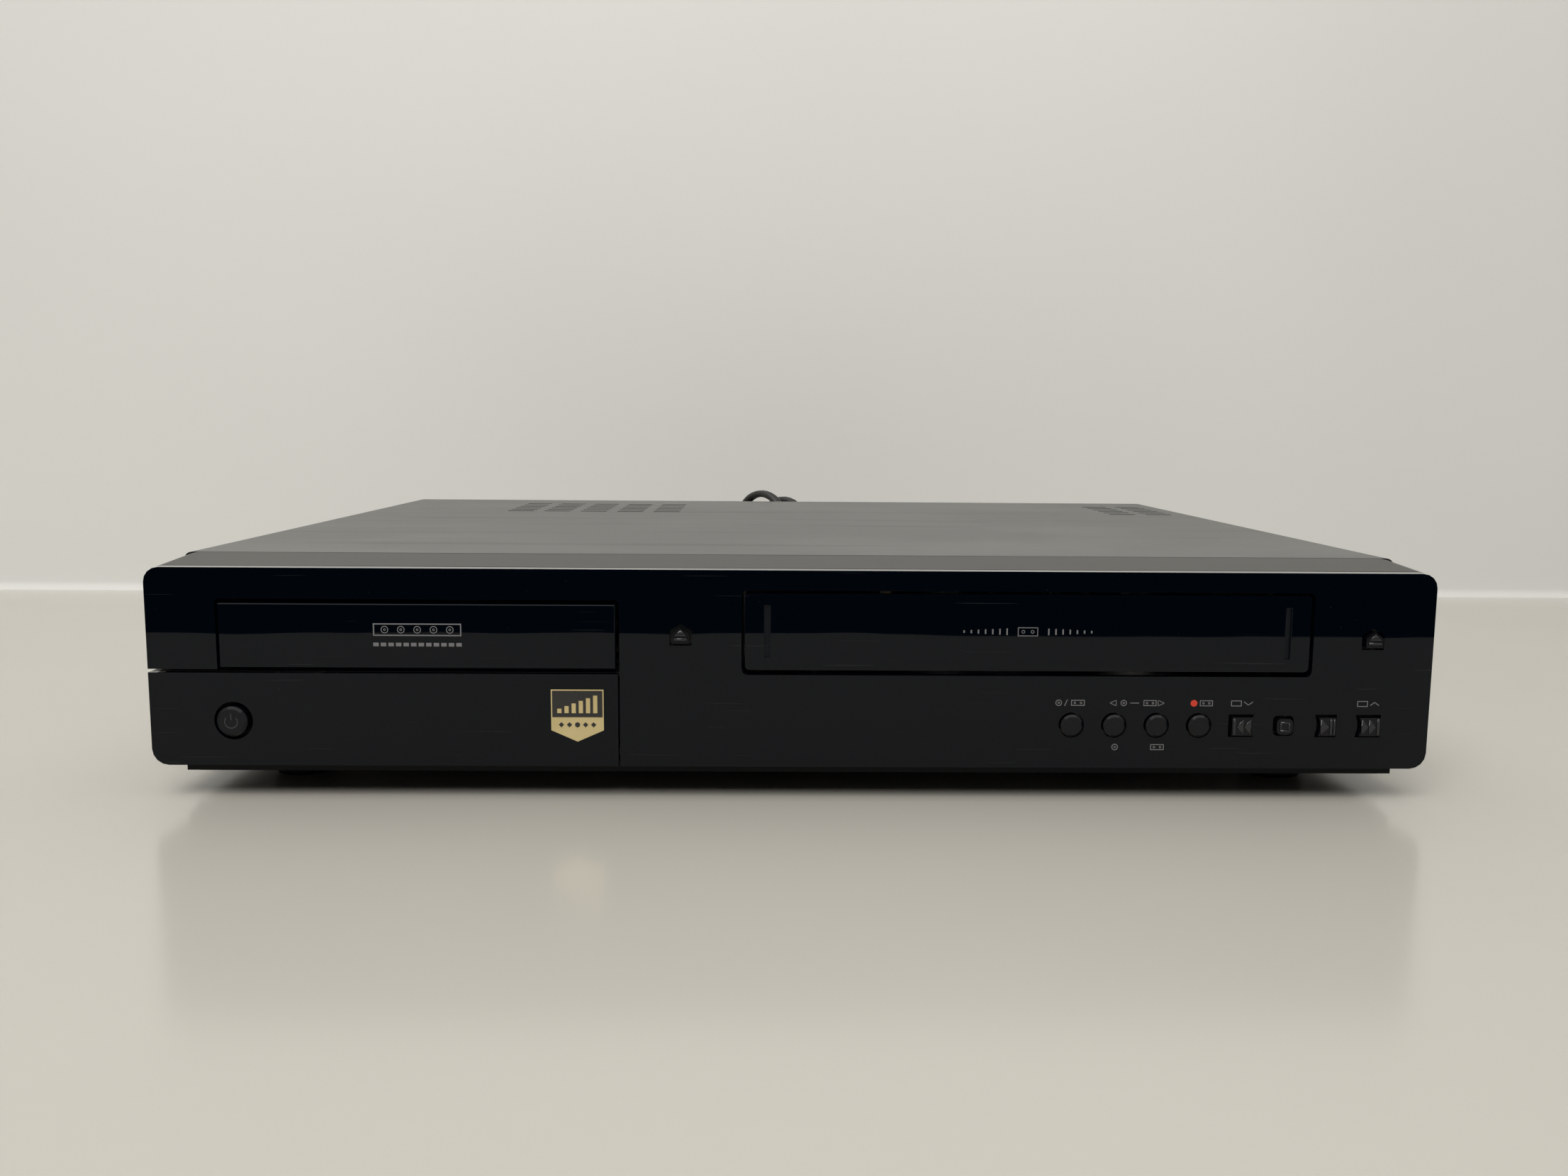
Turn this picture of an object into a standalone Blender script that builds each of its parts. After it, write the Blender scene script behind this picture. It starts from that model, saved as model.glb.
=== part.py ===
# Disc and cassette combination player: a full-width set with a sheet-steel case.
# Metres, +Z up, front towards -Y. The origin is under the middle of the set, on the table.
# Every piece is built in the case's own frame, where Y is the depth behind the front face.
import math

import bmesh
import bpy
from mathutils import Matrix, Vector

# Driving dimensions of the case
CASE_WIDTH = 0.430
PANEL_BOTTOM = 0.012
PANEL_HEIGHT = 0.0668
TOP_RISE = 0.0019
BODY_DEPTH = 0.347
BEZEL_DEPTH = 0.0313
CORNER_RADIUS = 0.005
BUTTON_PROUD = 0.002
CONNECTOR_PROUD = 0.009

# Sizes that many pieces share
GAP = 0.0003
OVERRUN = 0.002
SHEET = 0.001
COVER_SHEET = 0.0008
COVER_BEND = 0.0025
BOARD_THICKNESS = 0.0016
WELD = 0.000001
SHARP_ANGLE = math.radians(32)
ROUND = 24
SMALL_ROUND = 16
TINY_ROUND = 10
SOCKET_ROUND = 12

PANEL_TOP = PANEL_BOTTOM + PANEL_HEIGHT
CASE_TOP = PANEL_TOP + TOP_RISE
HALF_WIDTH = CASE_WIDTH / 2
FRONT_Y = BUTTON_PROUD - (BUTTON_PROUD + BODY_DEPTH + CONNECTOR_PROUD) / 2


for leftover in list(bpy.data.objects):
    bpy.data.objects.remove(leftover, do_unlink=True)

case = bpy.data.objects.new("case_frame", None)
case.location = (0, FRONT_Y, 0)
bpy.context.scene.collection.objects.link(case)


# Materials
def paint(name, colour, roughness, metallic=0.0):
    """One Principled material."""
    made = bpy.data.materials.new(name)
    made.use_nodes = True
    shader = made.node_tree.nodes["Principled BSDF"]
    shader.inputs["Base Color"].default_value = (*colour, 1)
    shader.inputs["Roughness"].default_value = roughness
    shader.inputs["Metallic"].default_value = metallic
    return made


GLOSS_BLACK = paint("gloss_black", (0.012, 0.013, 0.016), 0.12)
BUTTON_BLACK = paint("button_black", (0.016, 0.016, 0.018), 0.25)
COVER_GREY = paint("cover_grey", (0.10, 0.10, 0.098), 0.55, 0.2)
MATTE_BLACK = paint("matte_black", (0.02, 0.02, 0.021), 0.6)
BARE_STEEL = paint("bare_steel", (0.55, 0.56, 0.57), 0.35, 1.0)
POLISHED = paint("polished", (0.78, 0.78, 0.79), 0.15, 1.0)
RUBBER = paint("rubber", (0.02, 0.02, 0.02), 0.85)
GREEN_BOARD = paint("green_board", (0.03, 0.14, 0.06), 0.45)
BROWN_BOARD = paint("brown_board", (0.34, 0.22, 0.10), 0.6)
PALE_PLASTIC = paint("pale_plastic", (0.62, 0.61, 0.58), 0.5)
BRASS = paint("brass", (0.72, 0.55, 0.25), 0.3, 1.0)
FLEX = paint("flex", (0.015, 0.015, 0.016), 0.5)


# Shape helpers
def add_box(shape, x, y, z):
    """A box between the (low, high) pairs x, y and z."""
    low = Vector((min(x), min(y), min(z)))
    high = Vector((max(x), max(y), max(z)))
    place = Matrix.Translation((low + high) / 2) @ Matrix.Diagonal((*(high - low), 1))
    bmesh.ops.create_cube(shape, size=1, matrix=place)
    return shape


def add_rod(shape, start, end, radius, sides=SMALL_ROUND, end_radius=None):
    """A round bar, or a cone, from one point to another."""
    start = Vector(start)
    end = Vector(end)
    along = end - start
    turn = Vector((0, 0, 1)).rotation_difference(along).to_matrix().to_4x4()
    bmesh.ops.create_cone(
        shape,
        cap_ends=True,
        segments=sides,
        radius1=radius,
        radius2=radius if end_radius is None else end_radius,
        depth=along.length,
        matrix=Matrix.Translation((start + end) / 2) @ turn,
    )
    return shape


AXIS_ORDER = {
    "X": lambda a, b, c: (c, a, b),
    "Y": lambda a, b, c: (a, c, b),
    "Z": lambda a, b, c: (a, b, c),
}


def add_plate(shape, outline, axis, low, high):
    """A closed flat outline, pushed along one axis from low to high."""
    place = AXIS_ORDER[axis]
    ring = [shape.verts.new(place(a, b, low)) for a, b in outline]
    face = shape.faces.new(ring)
    grown = bmesh.ops.extrude_face_region(shape, geom=[face])["geom"]
    far = [item for item in grown if isinstance(item, bmesh.types.BMVert)]
    bmesh.ops.translate(shape, verts=far, vec=place(0, 0, high - low))
    return shape


def add_turned(shape, profile, centre, axis="Z", sides=ROUND, closed=False):
    """A profile of (radius, height) points, turned round an axis through centre."""
    place = {
        "Z": lambda r, h: Vector((r, 0, h)),
        "Y": lambda r, h: Vector((r, h, 0)),
        "X": lambda r, h: Vector((h, r, 0)),
    }[axis]
    line = {"Z": (0, 0, 1), "Y": (0, 1, 0), "X": (1, 0, 0)}[axis]
    centre = Vector(centre)
    points = [shape.verts.new(centre + place(r, h)) for r, h in profile]
    edges = [shape.edges.new(pair) for pair in zip(points, points[1:])]
    if closed:
        edges.append(shape.edges.new((points[-1], points[0])))
    bmesh.ops.spin(
        shape,
        geom=points + edges,
        cent=centre,
        axis=line,
        dvec=(0, 0, 0),
        angle=2 * math.pi,
        steps=sides,
        use_merge=True,
        use_duplicate=False,
    )
    bmesh.ops.remove_doubles(shape, verts=shape.verts, dist=WELD)
    return shape


def arc(centre, radius, start, end, steps):
    """Points on an arc, angles in degrees."""
    points = []
    for step in range(steps + 1):
        angle = math.radians(start + (end - start) * step / steps)
        points.append((centre[0] + radius * math.cos(angle), centre[1] + radius * math.sin(angle)))
    return points


def rounded(x, z, radius, steps=3):
    """A rectangle outline with round corners; radius may be one size or four (from bottom left)."""
    radii = radius if isinstance(radius, tuple) else (radius,) * 4
    corners = (
        (x[0], z[0], 1, 1, 180),
        (x[1], z[0], -1, 1, 270),
        (x[1], z[1], -1, -1, 0),
        (x[0], z[1], 1, -1, 90),
    )
    points = []
    for size, (cx, cz, sx, sz, start) in zip(radii, corners):
        if size:
            points += arc((cx + sx * size, cz + sz * size), size, start, start + 90, steps)
        else:
            points.append((cx, cz))
    return points


def capsule(start, end, radius, steps=6):
    """The outline of a straight slot with round ends."""
    heading = math.degrees(math.atan2(end[1] - start[1], end[0] - start[0]))
    return arc(start, radius, heading + 90, heading + 270, steps) + arc(
        end, radius, heading - 90, heading + 90, steps
    )


def make_piece(name, shape, colour, pivot=(0, 0, 0)):
    """An object with its origin at pivot, shaded smooth up to the sharp edges."""
    bmesh.ops.recalc_face_normals(shape, faces=shape.faces)
    bmesh.ops.translate(shape, verts=shape.verts, vec=-Vector(pivot))
    mesh = bpy.data.meshes.new(name)
    shape.to_mesh(mesh)
    shape.free()
    mesh.materials.append(colour)
    mesh.shade_smooth()
    mesh.set_sharp_from_angle(angle=SHARP_ANGLE)
    piece = bpy.data.objects.new(name, mesh)
    piece.location = pivot
    piece.parent = case
    bpy.context.scene.collection.objects.link(piece)
    return piece


def combine(piece, shape, operation):
    """Joins a shape to a piece, or cuts it out, with an exact Boolean and a hidden helper."""
    name = f"{piece.name}_{operation.lower()}_{len(piece.modifiers)}"
    helper = make_piece(name, shape, piece.data.materials[0])
    helper.display_type = "WIRE"
    helper.hide_render = True
    boolean = piece.modifiers.new(operation.lower(), "BOOLEAN")
    boolean.operation = operation
    boolean.solver = "EXACT"
    boolean.object = helper
    return piece


def cut(piece, shape):
    """Takes a shape out of a piece."""
    return combine(piece, shape, "DIFFERENCE")


def fuse(piece, shape):
    """Joins a shape to a piece."""
    return combine(piece, shape, "UNION")


def span(centre, size):
    """The (low, high) pair of a size about a centre."""
    return (centre - size / 2, centre + size / 2)


# Base pan, a folded steel tray with a lower pressed floor, on four feet
PAN_WIDTH = 0.416
PAN_UNDERSIDE = 0.0076
PAN_FRONT = 0.010
PRESSING_WIDTH = 0.412
PRESSING_UNDERSIDE = 0.0062
PRESSING_INSET = 0.004
REAR_PRESSING_INSET = 0.012
FLANGE_TOP = 0.045
STANDOFF_RADIUS = 0.0035
FLOOR_SLOT_WIDTH = 0.003
FLOOR_SLOT_LENGTH = 0.040
FLOOR_SLOT_PITCH = 0.012
FLOOR_SLOT_COUNT = 5
FLOOR_SLOT_FROM_X = -0.150
FLOOR_SLOT_Y = 0.190
FOOT_RADIUS = 0.011
FOOT_EDGE = 0.0015
FOOT_X = 0.178
FOOT_FRONT_Y = 0.040
FOOT_REAR_Y = 0.305

COVER_INNER = HALF_WIDTH - COVER_SHEET
FLANGE_OUTER = COVER_INNER - GAP
PAN_FLOOR = PRESSING_UNDERSIDE + SHEET
PAN_RIM = PANEL_BOTTOM - GAP
STAND = PAN_FLOOR + GAP
CASE_START = BEZEL_DEPTH + GAP
REAR_PANEL_FRONT = BODY_DEPTH - SHEET


def add_feet(shape):
    """Four round feet under the pressed floor."""
    top = PRESSING_UNDERSIDE + SHEET / 2
    for x in (-FOOT_X, FOOT_X):
        for y in (FOOT_FRONT_Y, FOOT_REAR_Y):
            profile = [
                (0, 0),
                (FOOT_RADIUS - FOOT_EDGE, 0),
                (FOOT_RADIUS, FOOT_EDGE),
                (FOOT_RADIUS, top),
                (0, top),
            ]
            add_turned(shape, profile, (x, y, 0), "Z", SMALL_ROUND)
    return shape


def base_pan(standoffs):
    """The pan with its feet; standoffs are (x, y, top) of the posts that carry boards and decks."""
    wide = (-FLANGE_OUTER, FLANGE_OUTER)
    half_pan = PAN_WIDTH / 2
    half_pressing = PRESSING_WIDTH / 2
    rear = BODY_DEPTH
    shape = add_box(bmesh.new(), wide, (CASE_START, rear), (PAN_RIM - SHEET, FLANGE_TOP))
    pan = make_piece("base_pan", shape, COVER_GREY)
    fuse(pan, add_box(bmesh.new(), (-half_pan, half_pan), (PAN_FRONT, rear), (PAN_UNDERSIDE, PAN_RIM)))
    inner_wide = (SHEET - FLANGE_OUTER, FLANGE_OUTER - SHEET)
    cut(pan, add_box(bmesh.new(), inner_wide, (0, rear + OVERRUN), (PAN_RIM, FLANGE_TOP + OVERRUN)))
    inner_pan = (SHEET - half_pan, half_pan - SHEET)
    pan_inside = (PAN_FRONT + SHEET, rear - SHEET)
    cut(pan, add_box(bmesh.new(), inner_pan, pan_inside, (PAN_UNDERSIDE + SHEET, PAN_RIM + OVERRUN)))
    pressing = (pan_inside[0] + PRESSING_INSET, pan_inside[1] - REAR_PRESSING_INSET)
    tray_z = (PRESSING_UNDERSIDE, PAN_UNDERSIDE + SHEET)
    tray = add_box(bmesh.new(), (-half_pressing, half_pressing), pressing, tray_z)
    fuse(pan, tray)
    hollow_x = (SHEET - half_pressing, half_pressing - SHEET)
    hollow_y = (pressing[0] + SHEET, pressing[1] - SHEET)
    cut(pan, add_box(bmesh.new(), hollow_x, hollow_y, (PAN_FLOOR, PAN_RIM)))
    posts = bmesh.new()
    for x, y, top in standoffs:
        add_rod(posts, (x, y, PAN_FLOOR - SHEET / 2), (x, y, top), STANDOFF_RADIUS, TINY_ROUND)
    fuse(pan, posts)
    fuse(pan, add_feet(bmesh.new()))
    slots = bmesh.new()
    for number in range(FLOOR_SLOT_COUNT):
        slot_x = FLOOR_SLOT_FROM_X + number * FLOOR_SLOT_PITCH
        across = span(slot_x, FLOOR_SLOT_WIDTH)
        along = span(FLOOR_SLOT_Y, FLOOR_SLOT_LENGTH)
        add_box(slots, across, along, (0, PAN_FLOOR + OVERRUN))
    cut(pan, slots)
    return pan


# Top cover with blocks of fine vents
VENT_BLOCK_WIDTH = 0.0135
VENT_BLOCK_PITCH = 0.019
VENT_LEFT_X = -0.1375
VENT_LEFT_COUNT = 5
VENT_RIGHT_X = 0.178
VENT_RIGHT_COUNT = 2
VENT_FROM_Y = 0.247
VENT_TO_Y = 0.318
VENT_SLITS = 6
VENT_SLIT_WIDTH = 0.0048


def top_cover():
    """The folded cover: top and two sides."""
    low = PAN_RIM - SHEET
    bend = (COVER_BEND - HALF_WIDTH, CASE_TOP - COVER_BEND)
    outer = [(-HALF_WIDTH, low), *arc(bend, COVER_BEND, 180, 90, 4)]
    inner = [(-COVER_INNER, low), *arc(bend, COVER_BEND - COVER_SHEET, 180, 90, 4)]
    outside = outer + [(-x, z) for x, z in outer[::-1]]
    inside = inner + [(-x, z) for x, z in inner[::-1]]
    outline = outside + inside[::-1]
    sheet = add_plate(bmesh.new(), outline, "Y", CASE_START, BODY_DEPTH)
    cover = make_piece("top_cover", sheet, COVER_GREY)
    slits = bmesh.new()
    pitch = (VENT_TO_Y - VENT_FROM_Y) / VENT_SLITS
    blocks = [VENT_LEFT_X + number * VENT_BLOCK_PITCH for number in range(VENT_LEFT_COUNT)]
    blocks += [VENT_RIGHT_X + number * VENT_BLOCK_PITCH for number in range(VENT_RIGHT_COUNT)]
    for block in blocks:
        for number in range(VENT_SLITS):
            middle = VENT_FROM_Y + (number + 0.5) * pitch
            across = span(block, VENT_BLOCK_WIDTH)
            add_box(slits, across, span(middle, VENT_SLIT_WIDTH), span(CASE_TOP, 2 * OVERRUN))
    cut(cover, slits)
    return cover


# Front moulding: a gloss black box front, open at the back
BEZEL_WALL = 0.0024
FRONT_WALL = 0.0028
LOWER_CORNER = 0.0055
TRAY_X = -0.12555
TRAY_OPENING = (-0.192, -0.0585)
TRAY_OPENING_Z = (0.0430, 0.0685)
OPENING_CORNER = 0.0015
FLAP_Z = (PANEL_BOTTOM, 0.0435)
FLAP_RIGHT = -0.0591
FLAP_SIDE_GAP = 0.0006
FLAP_TOP_GAP = 0.0012
FLAP_BAY_DEPTH = 0.014
RIB_WIDTH = 0.002
DOOR_X = 0.07825
DOOR_WIDTH = 0.1897
DOOR_Z = (0.0452, 0.0710)
DOOR_SIDE_GAP = 0.0012
DOOR_LOWER_GAP = 0.0017
DOOR_UPPER_GAP = 0.0011
DOOR_CORNER = 0.002

# The row of eight small buttons, and the two eject buttons
ROW_Z = 0.0268
ROW_START_X = 0.0936
ROW_PITCH = 0.0144
ROUND_BUTTON_RADIUS = 0.0038
ROUND_BUTTON_GAP = 0.0006
SHAPED_GAP = 0.0008
SKIP_SIZE = (0.0070, 0.0062)
SHAPED_SIZE = {
    "previous": SKIP_SIZE,
    "stop": (0.0054, 0.0054),
    "play": (0.0058, 0.0062),
    "next": SKIP_SIZE,
}
NOTCH_SHARE = 0.17
EJECT_SIZE = (0.0057, 0.0055)
EJECT_GAP = 0.0009
EJECT_ROOF_SHARE = 0.42
DISC_EJECT = (-0.0381, 0.0570)
TAPE_EJECT = (0.1944, 0.0566)
POWER_BUTTON = (-0.1874, 0.02725)
POWER_RADIUS = 0.0051
POWER_HOLE_GAP = 0.00135
BUTTON_FLANGE = 0.001
FLANGE_OVERLAP = 0.0012
SMALL_PROUD = 0.0015
STEM_RADIUS = 0.0015
BUTTON_BACK = 0.0049

ROUND_NAMES = ("source_button", "disc_dub_button", "tape_dub_button", "record_button")
SHAPED_NAMES = ("previous", "stop", "play", "next")

TRAVEL_ROOM = 0.001
SWITCH_FRONT = BUTTON_BACK + TRAVEL_ROOM
FRONT_BOARD_Y = 0.0097


def shaped_outline(kind, centre, grow=0.0):
    """Outline of a shaped button, or of its hole when grow is the gap round it."""
    width, height = SHAPED_SIZE[kind]
    half_w = width / 2 + grow
    half_h = height / 2 + grow
    notch = width * NOTCH_SHARE
    x, z = centre
    if kind == "stop":
        return rounded((x - half_w, x + half_w), (z - half_h, z + half_h), OPENING_CORNER)
    notched = -1 if kind == "previous" else 1
    points = [
        (x + notched * half_w, z - half_h),
        (x + notched * half_w, z + half_h),
        (x - notched * half_w, z + half_h),
        (x - notched * (half_w - notch), z),
        (x - notched * half_w, z - half_h),
    ]
    return points


def eject_outline(centre, grow=0.0):
    """Outline of an eject button: a square with a pointed roof."""
    half_w = EJECT_SIZE[0] / 2 + grow
    half_h = EJECT_SIZE[1] / 2 + grow
    x, z = centre
    eaves = z + half_h - EJECT_SIZE[1] * EJECT_ROOF_SHARE
    left, right = x - half_w, x + half_w
    return [(left, z - half_h), (right, z - half_h), (right, eaves), (x, z + half_h), (left, eaves)]


def row_x(number):
    """Middle of a button in the row, counted from the left."""
    return ROW_START_X + number * ROW_PITCH


def panel_outline(inset, top):
    """The front outline of the case, or of a hollow at an inset inside it."""
    side = HALF_WIDTH - inset
    lower = LOWER_CORNER - inset
    upper = CORNER_RADIUS - inset
    return rounded((-side, side), (PANEL_BOTTOM + inset, top - inset), (lower, lower, upper, upper), 4)


def panel_body(inset, front, back):
    """The case's front section as a solid, its top sloping up from the front to the cover."""
    slope = TOP_RISE / BEZEL_DEPTH
    shape = add_plate(bmesh.new(), panel_outline(inset, PANEL_TOP + slope * front), "Y", front, back)
    middle = (PANEL_TOP + PANEL_BOTTOM) / 2
    for vert in shape.verts:
        if vert.co.y > (front + back) / 2 and vert.co.z > middle:
            vert.co.z += slope * (back - front)
    return shape


# Hinge of the cassette door, behind the top of its opening
DOOR_AXIS_Y = 0.0050
DOOR_AXIS_Z = 0.0746
DOOR_BOSS = 0.0018
DOOR_PIN = 0.0009
DOOR_PIN_GAP = 0.0003
DOOR_ARM = 0.002
DOOR_ARM_INSET = 0.0002
DOOR_EAR = 0.0024
DOOR_EAR_GAP = 0.0003
DOOR_EAR_DEPTH = 0.0072
DOOR_EAR_BOTTOM = 0.0726


def door_ear_x(side):
    """The span of one bearing ear of the door, side -1 or 1."""
    arm_inner = DOOR_WIDTH / 2 - DOOR_ARM_INSET - DOOR_ARM
    outer = DOOR_X + side * (arm_inner - DOOR_EAR_GAP)
    return (outer - side * DOOR_EAR, outer)


def front_bezel():
    """The front moulding, with its openings."""
    bezel = make_piece("front_bezel", panel_body(0, 0, BEZEL_DEPTH), GLOSS_BLACK)
    cut(bezel, panel_body(BEZEL_WALL, FRONT_WALL, BEZEL_DEPTH + OVERRUN))
    ears = bmesh.new()
    for side in (-1, 1):
        ear_z = (DOOR_EAR_BOTTOM, PANEL_TOP - BEZEL_WALL / 2)
        add_box(ears, door_ear_x(side), (FRONT_WALL / 2, DOOR_EAR_DEPTH), ear_z)
    fuse(bezel, ears)
    bearings = bmesh.new()
    for side in (-1, 1):
        near, far = door_ear_x(side)
        start = (near - side * OVERRUN, DOOR_AXIS_Y, DOOR_AXIS_Z)
        end = (far + side * OVERRUN, DOOR_AXIS_Y, DOOR_AXIS_Z)
        add_rod(bearings, start, end, DOOR_PIN + DOOR_PIN_GAP, TINY_ROUND)
    cut(bezel, bearings)
    bay_right = FLAP_RIGHT + FLAP_SIDE_GAP
    rib_z = (PANEL_BOTTOM + BEZEL_WALL / 2, FLAP_Z[1])
    rib_x = (bay_right, bay_right + RIB_WIDTH)
    fuse(bezel, add_box(bmesh.new(), rib_x, (FRONT_WALL / 2, FLAP_BAY_DEPTH), rib_z))
    bay_z = (PANEL_BOTTOM - OVERRUN, FLAP_Z[1] + FLAP_TOP_GAP)
    cut(bezel, add_box(bmesh.new(), (-HALF_WIDTH - OVERRUN, bay_right), (-OVERRUN, FLAP_BAY_DEPTH), bay_z))
    through = (-OVERRUN, FRONT_WALL + OVERRUN)
    corners = (0, 0, OPENING_CORNER, OPENING_CORNER)
    tray_opening = rounded(TRAY_OPENING, TRAY_OPENING_Z, corners)
    cut(bezel, add_plate(bmesh.new(), tray_opening, "Y", *through))
    holes = bmesh.new()
    door_x = span(DOOR_X, DOOR_WIDTH + 2 * DOOR_SIDE_GAP)
    door_z = (DOOR_Z[0] - DOOR_LOWER_GAP, DOOR_Z[1] + DOOR_UPPER_GAP)
    add_plate(holes, rounded(door_x, door_z, DOOR_CORNER), "Y", *through)
    for centre in (DISC_EJECT, TAPE_EJECT):
        add_plate(holes, eject_outline(centre, EJECT_GAP), "Y", *through)
    for number in range(len(ROUND_NAMES)):
        middle = (row_x(number), 0, ROW_Z)
        ends = [(middle[0], depth, middle[2]) for depth in through]
        add_rod(holes, *ends, ROUND_BUTTON_RADIUS + ROUND_BUTTON_GAP, SMALL_ROUND)
    for number, kind in enumerate(SHAPED_NAMES, len(ROUND_NAMES)):
        add_plate(holes, shaped_outline(kind, (row_x(number), ROW_Z), SHAPED_GAP), "Y", *through)
    cut(bezel, holes)
    return bezel


# Fold-down flap over the front sockets, hung on two moulded pins
FLAP_THICKNESS = 0.0026
FLAP_SIDE = 0.0022
FLAP_SIDE_DEPTH = 0.0126
FLAP_AXIS_Y = 0.0052
FLAP_AXIS_Z = 0.0158
FLAP_BOSS = 0.0021
FLAP_PIN = 0.001
FLAP_PIN_GAP = 0.0003
FLAP_EAR = 0.0025
FLAP_ARM = 0.003
FLAP_ARM_GAP = 0.0004
FLAP_ARM_INSET = 0.0055
RIGHT_ARM_INSET = 0.0020


def flap_arm_x(side):
    """The span of one fixed arm that a pin of the flap sits in."""
    if side < 0:
        outer = -HALF_WIDTH + FLAP_ARM_INSET
        return (outer, outer + FLAP_ARM)
    outer = FLAP_RIGHT - RIGHT_ARM_INSET
    return (outer, outer - FLAP_ARM)


def av_flap():
    """The flap: front plate, left return, two ears with pins, and the hole for the power button."""
    outline = rounded((-HALF_WIDTH, FLAP_RIGHT), FLAP_Z, (LOWER_CORNER, 0, 0, 0), 4)
    shape = add_plate(bmesh.new(), outline, "Y", 0, FLAP_SIDE_DEPTH)
    flap = make_piece("av_flap", shape, GLOSS_BLACK, (0, FLAP_AXIS_Y, FLAP_AXIS_Z))
    hollow_x = (FLAP_SIDE - HALF_WIDTH, FLAP_RIGHT + OVERRUN)
    hollow_y = (FLAP_THICKNESS, FLAP_SIDE_DEPTH + OVERRUN)
    cut(flap, add_box(bmesh.new(), hollow_x, hollow_y, (FLAP_Z[0] - OVERRUN, FLAP_Z[1] + OVERRUN)))
    ears = bmesh.new()
    pins = bmesh.new()
    for side in (-1, 1):
        arm_outer, arm_inner = flap_arm_x(side)
        near = arm_inner - side * FLAP_ARM_GAP
        far = near - side * FLAP_EAR
        ear_depth = (FLAP_THICKNESS / 2, FLAP_AXIS_Y + FLAP_BOSS)
        add_box(ears, (near, far), ear_depth, span(FLAP_AXIS_Z, 2 * FLAP_BOSS))
        middle = (near + far) / 2
        start, end = ((x, FLAP_AXIS_Y, FLAP_AXIS_Z) for x in (middle, arm_outer))
        add_rod(pins, start, end, FLAP_PIN, TINY_ROUND)
    fuse(flap, ears)
    fuse(flap, pins)
    x, z = POWER_BUTTON
    start, end = (x, -OVERRUN, z), (x, FLAP_THICKNESS + OVERRUN, z)
    hole = add_rod(bmesh.new(), start, end, POWER_RADIUS + POWER_HOLE_GAP, ROUND)
    cut(flap, hole)
    return flap


# Socket recess behind the flap
RECESS_WALL = 0.002
RECESS_SHELF = 0.0012
RECESS_CORNER = 0.0021
RECESS_FRONT = FLAP_BAY_DEPTH + GAP
RECESS_BACK = RECESS_FRONT + RECESS_WALL
RECESS_FLOOR_FRONT = 0.0098
RECESS_CEILING_FRONT = FRONT_WALL + GAP
RECESS_TOP = 0.0436
RECESS_BOTTOM = PANEL_BOTTOM + BEZEL_WALL + GAP
POWER_SHAFT_GAP = 0.0005
PHONO_OUTER = 0.00415
PHONO_BORE = 0.0017
PHONO_NOSE = 0.0065
PHONO_PITCH = 0.014
FRONT_SOCKET_Z = 0.029
FRONT_SOCKET_X = -0.150
FRONT_PHONO_COUNT = 3
SOCKET_GAP = 0.0004
SOCKET_BODY = 0.0115
SOCKET_FLANGE = 0.0006
BEHIND_SOCKET = 0.0285
DIN_RADIUS = 0.0059
DIN_X = -0.1685
LINK_SIZE = (0.0062, 0.0050)
LINK_X = -0.100
LINK_WALL = 0.0008
LINK_DEPTH = 0.0045


def phono_places():
    """Front phono sockets, from the left."""
    return [FRONT_SOCKET_X + number * PHONO_PITCH for number in range(FRONT_PHONO_COUNT)]


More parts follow.
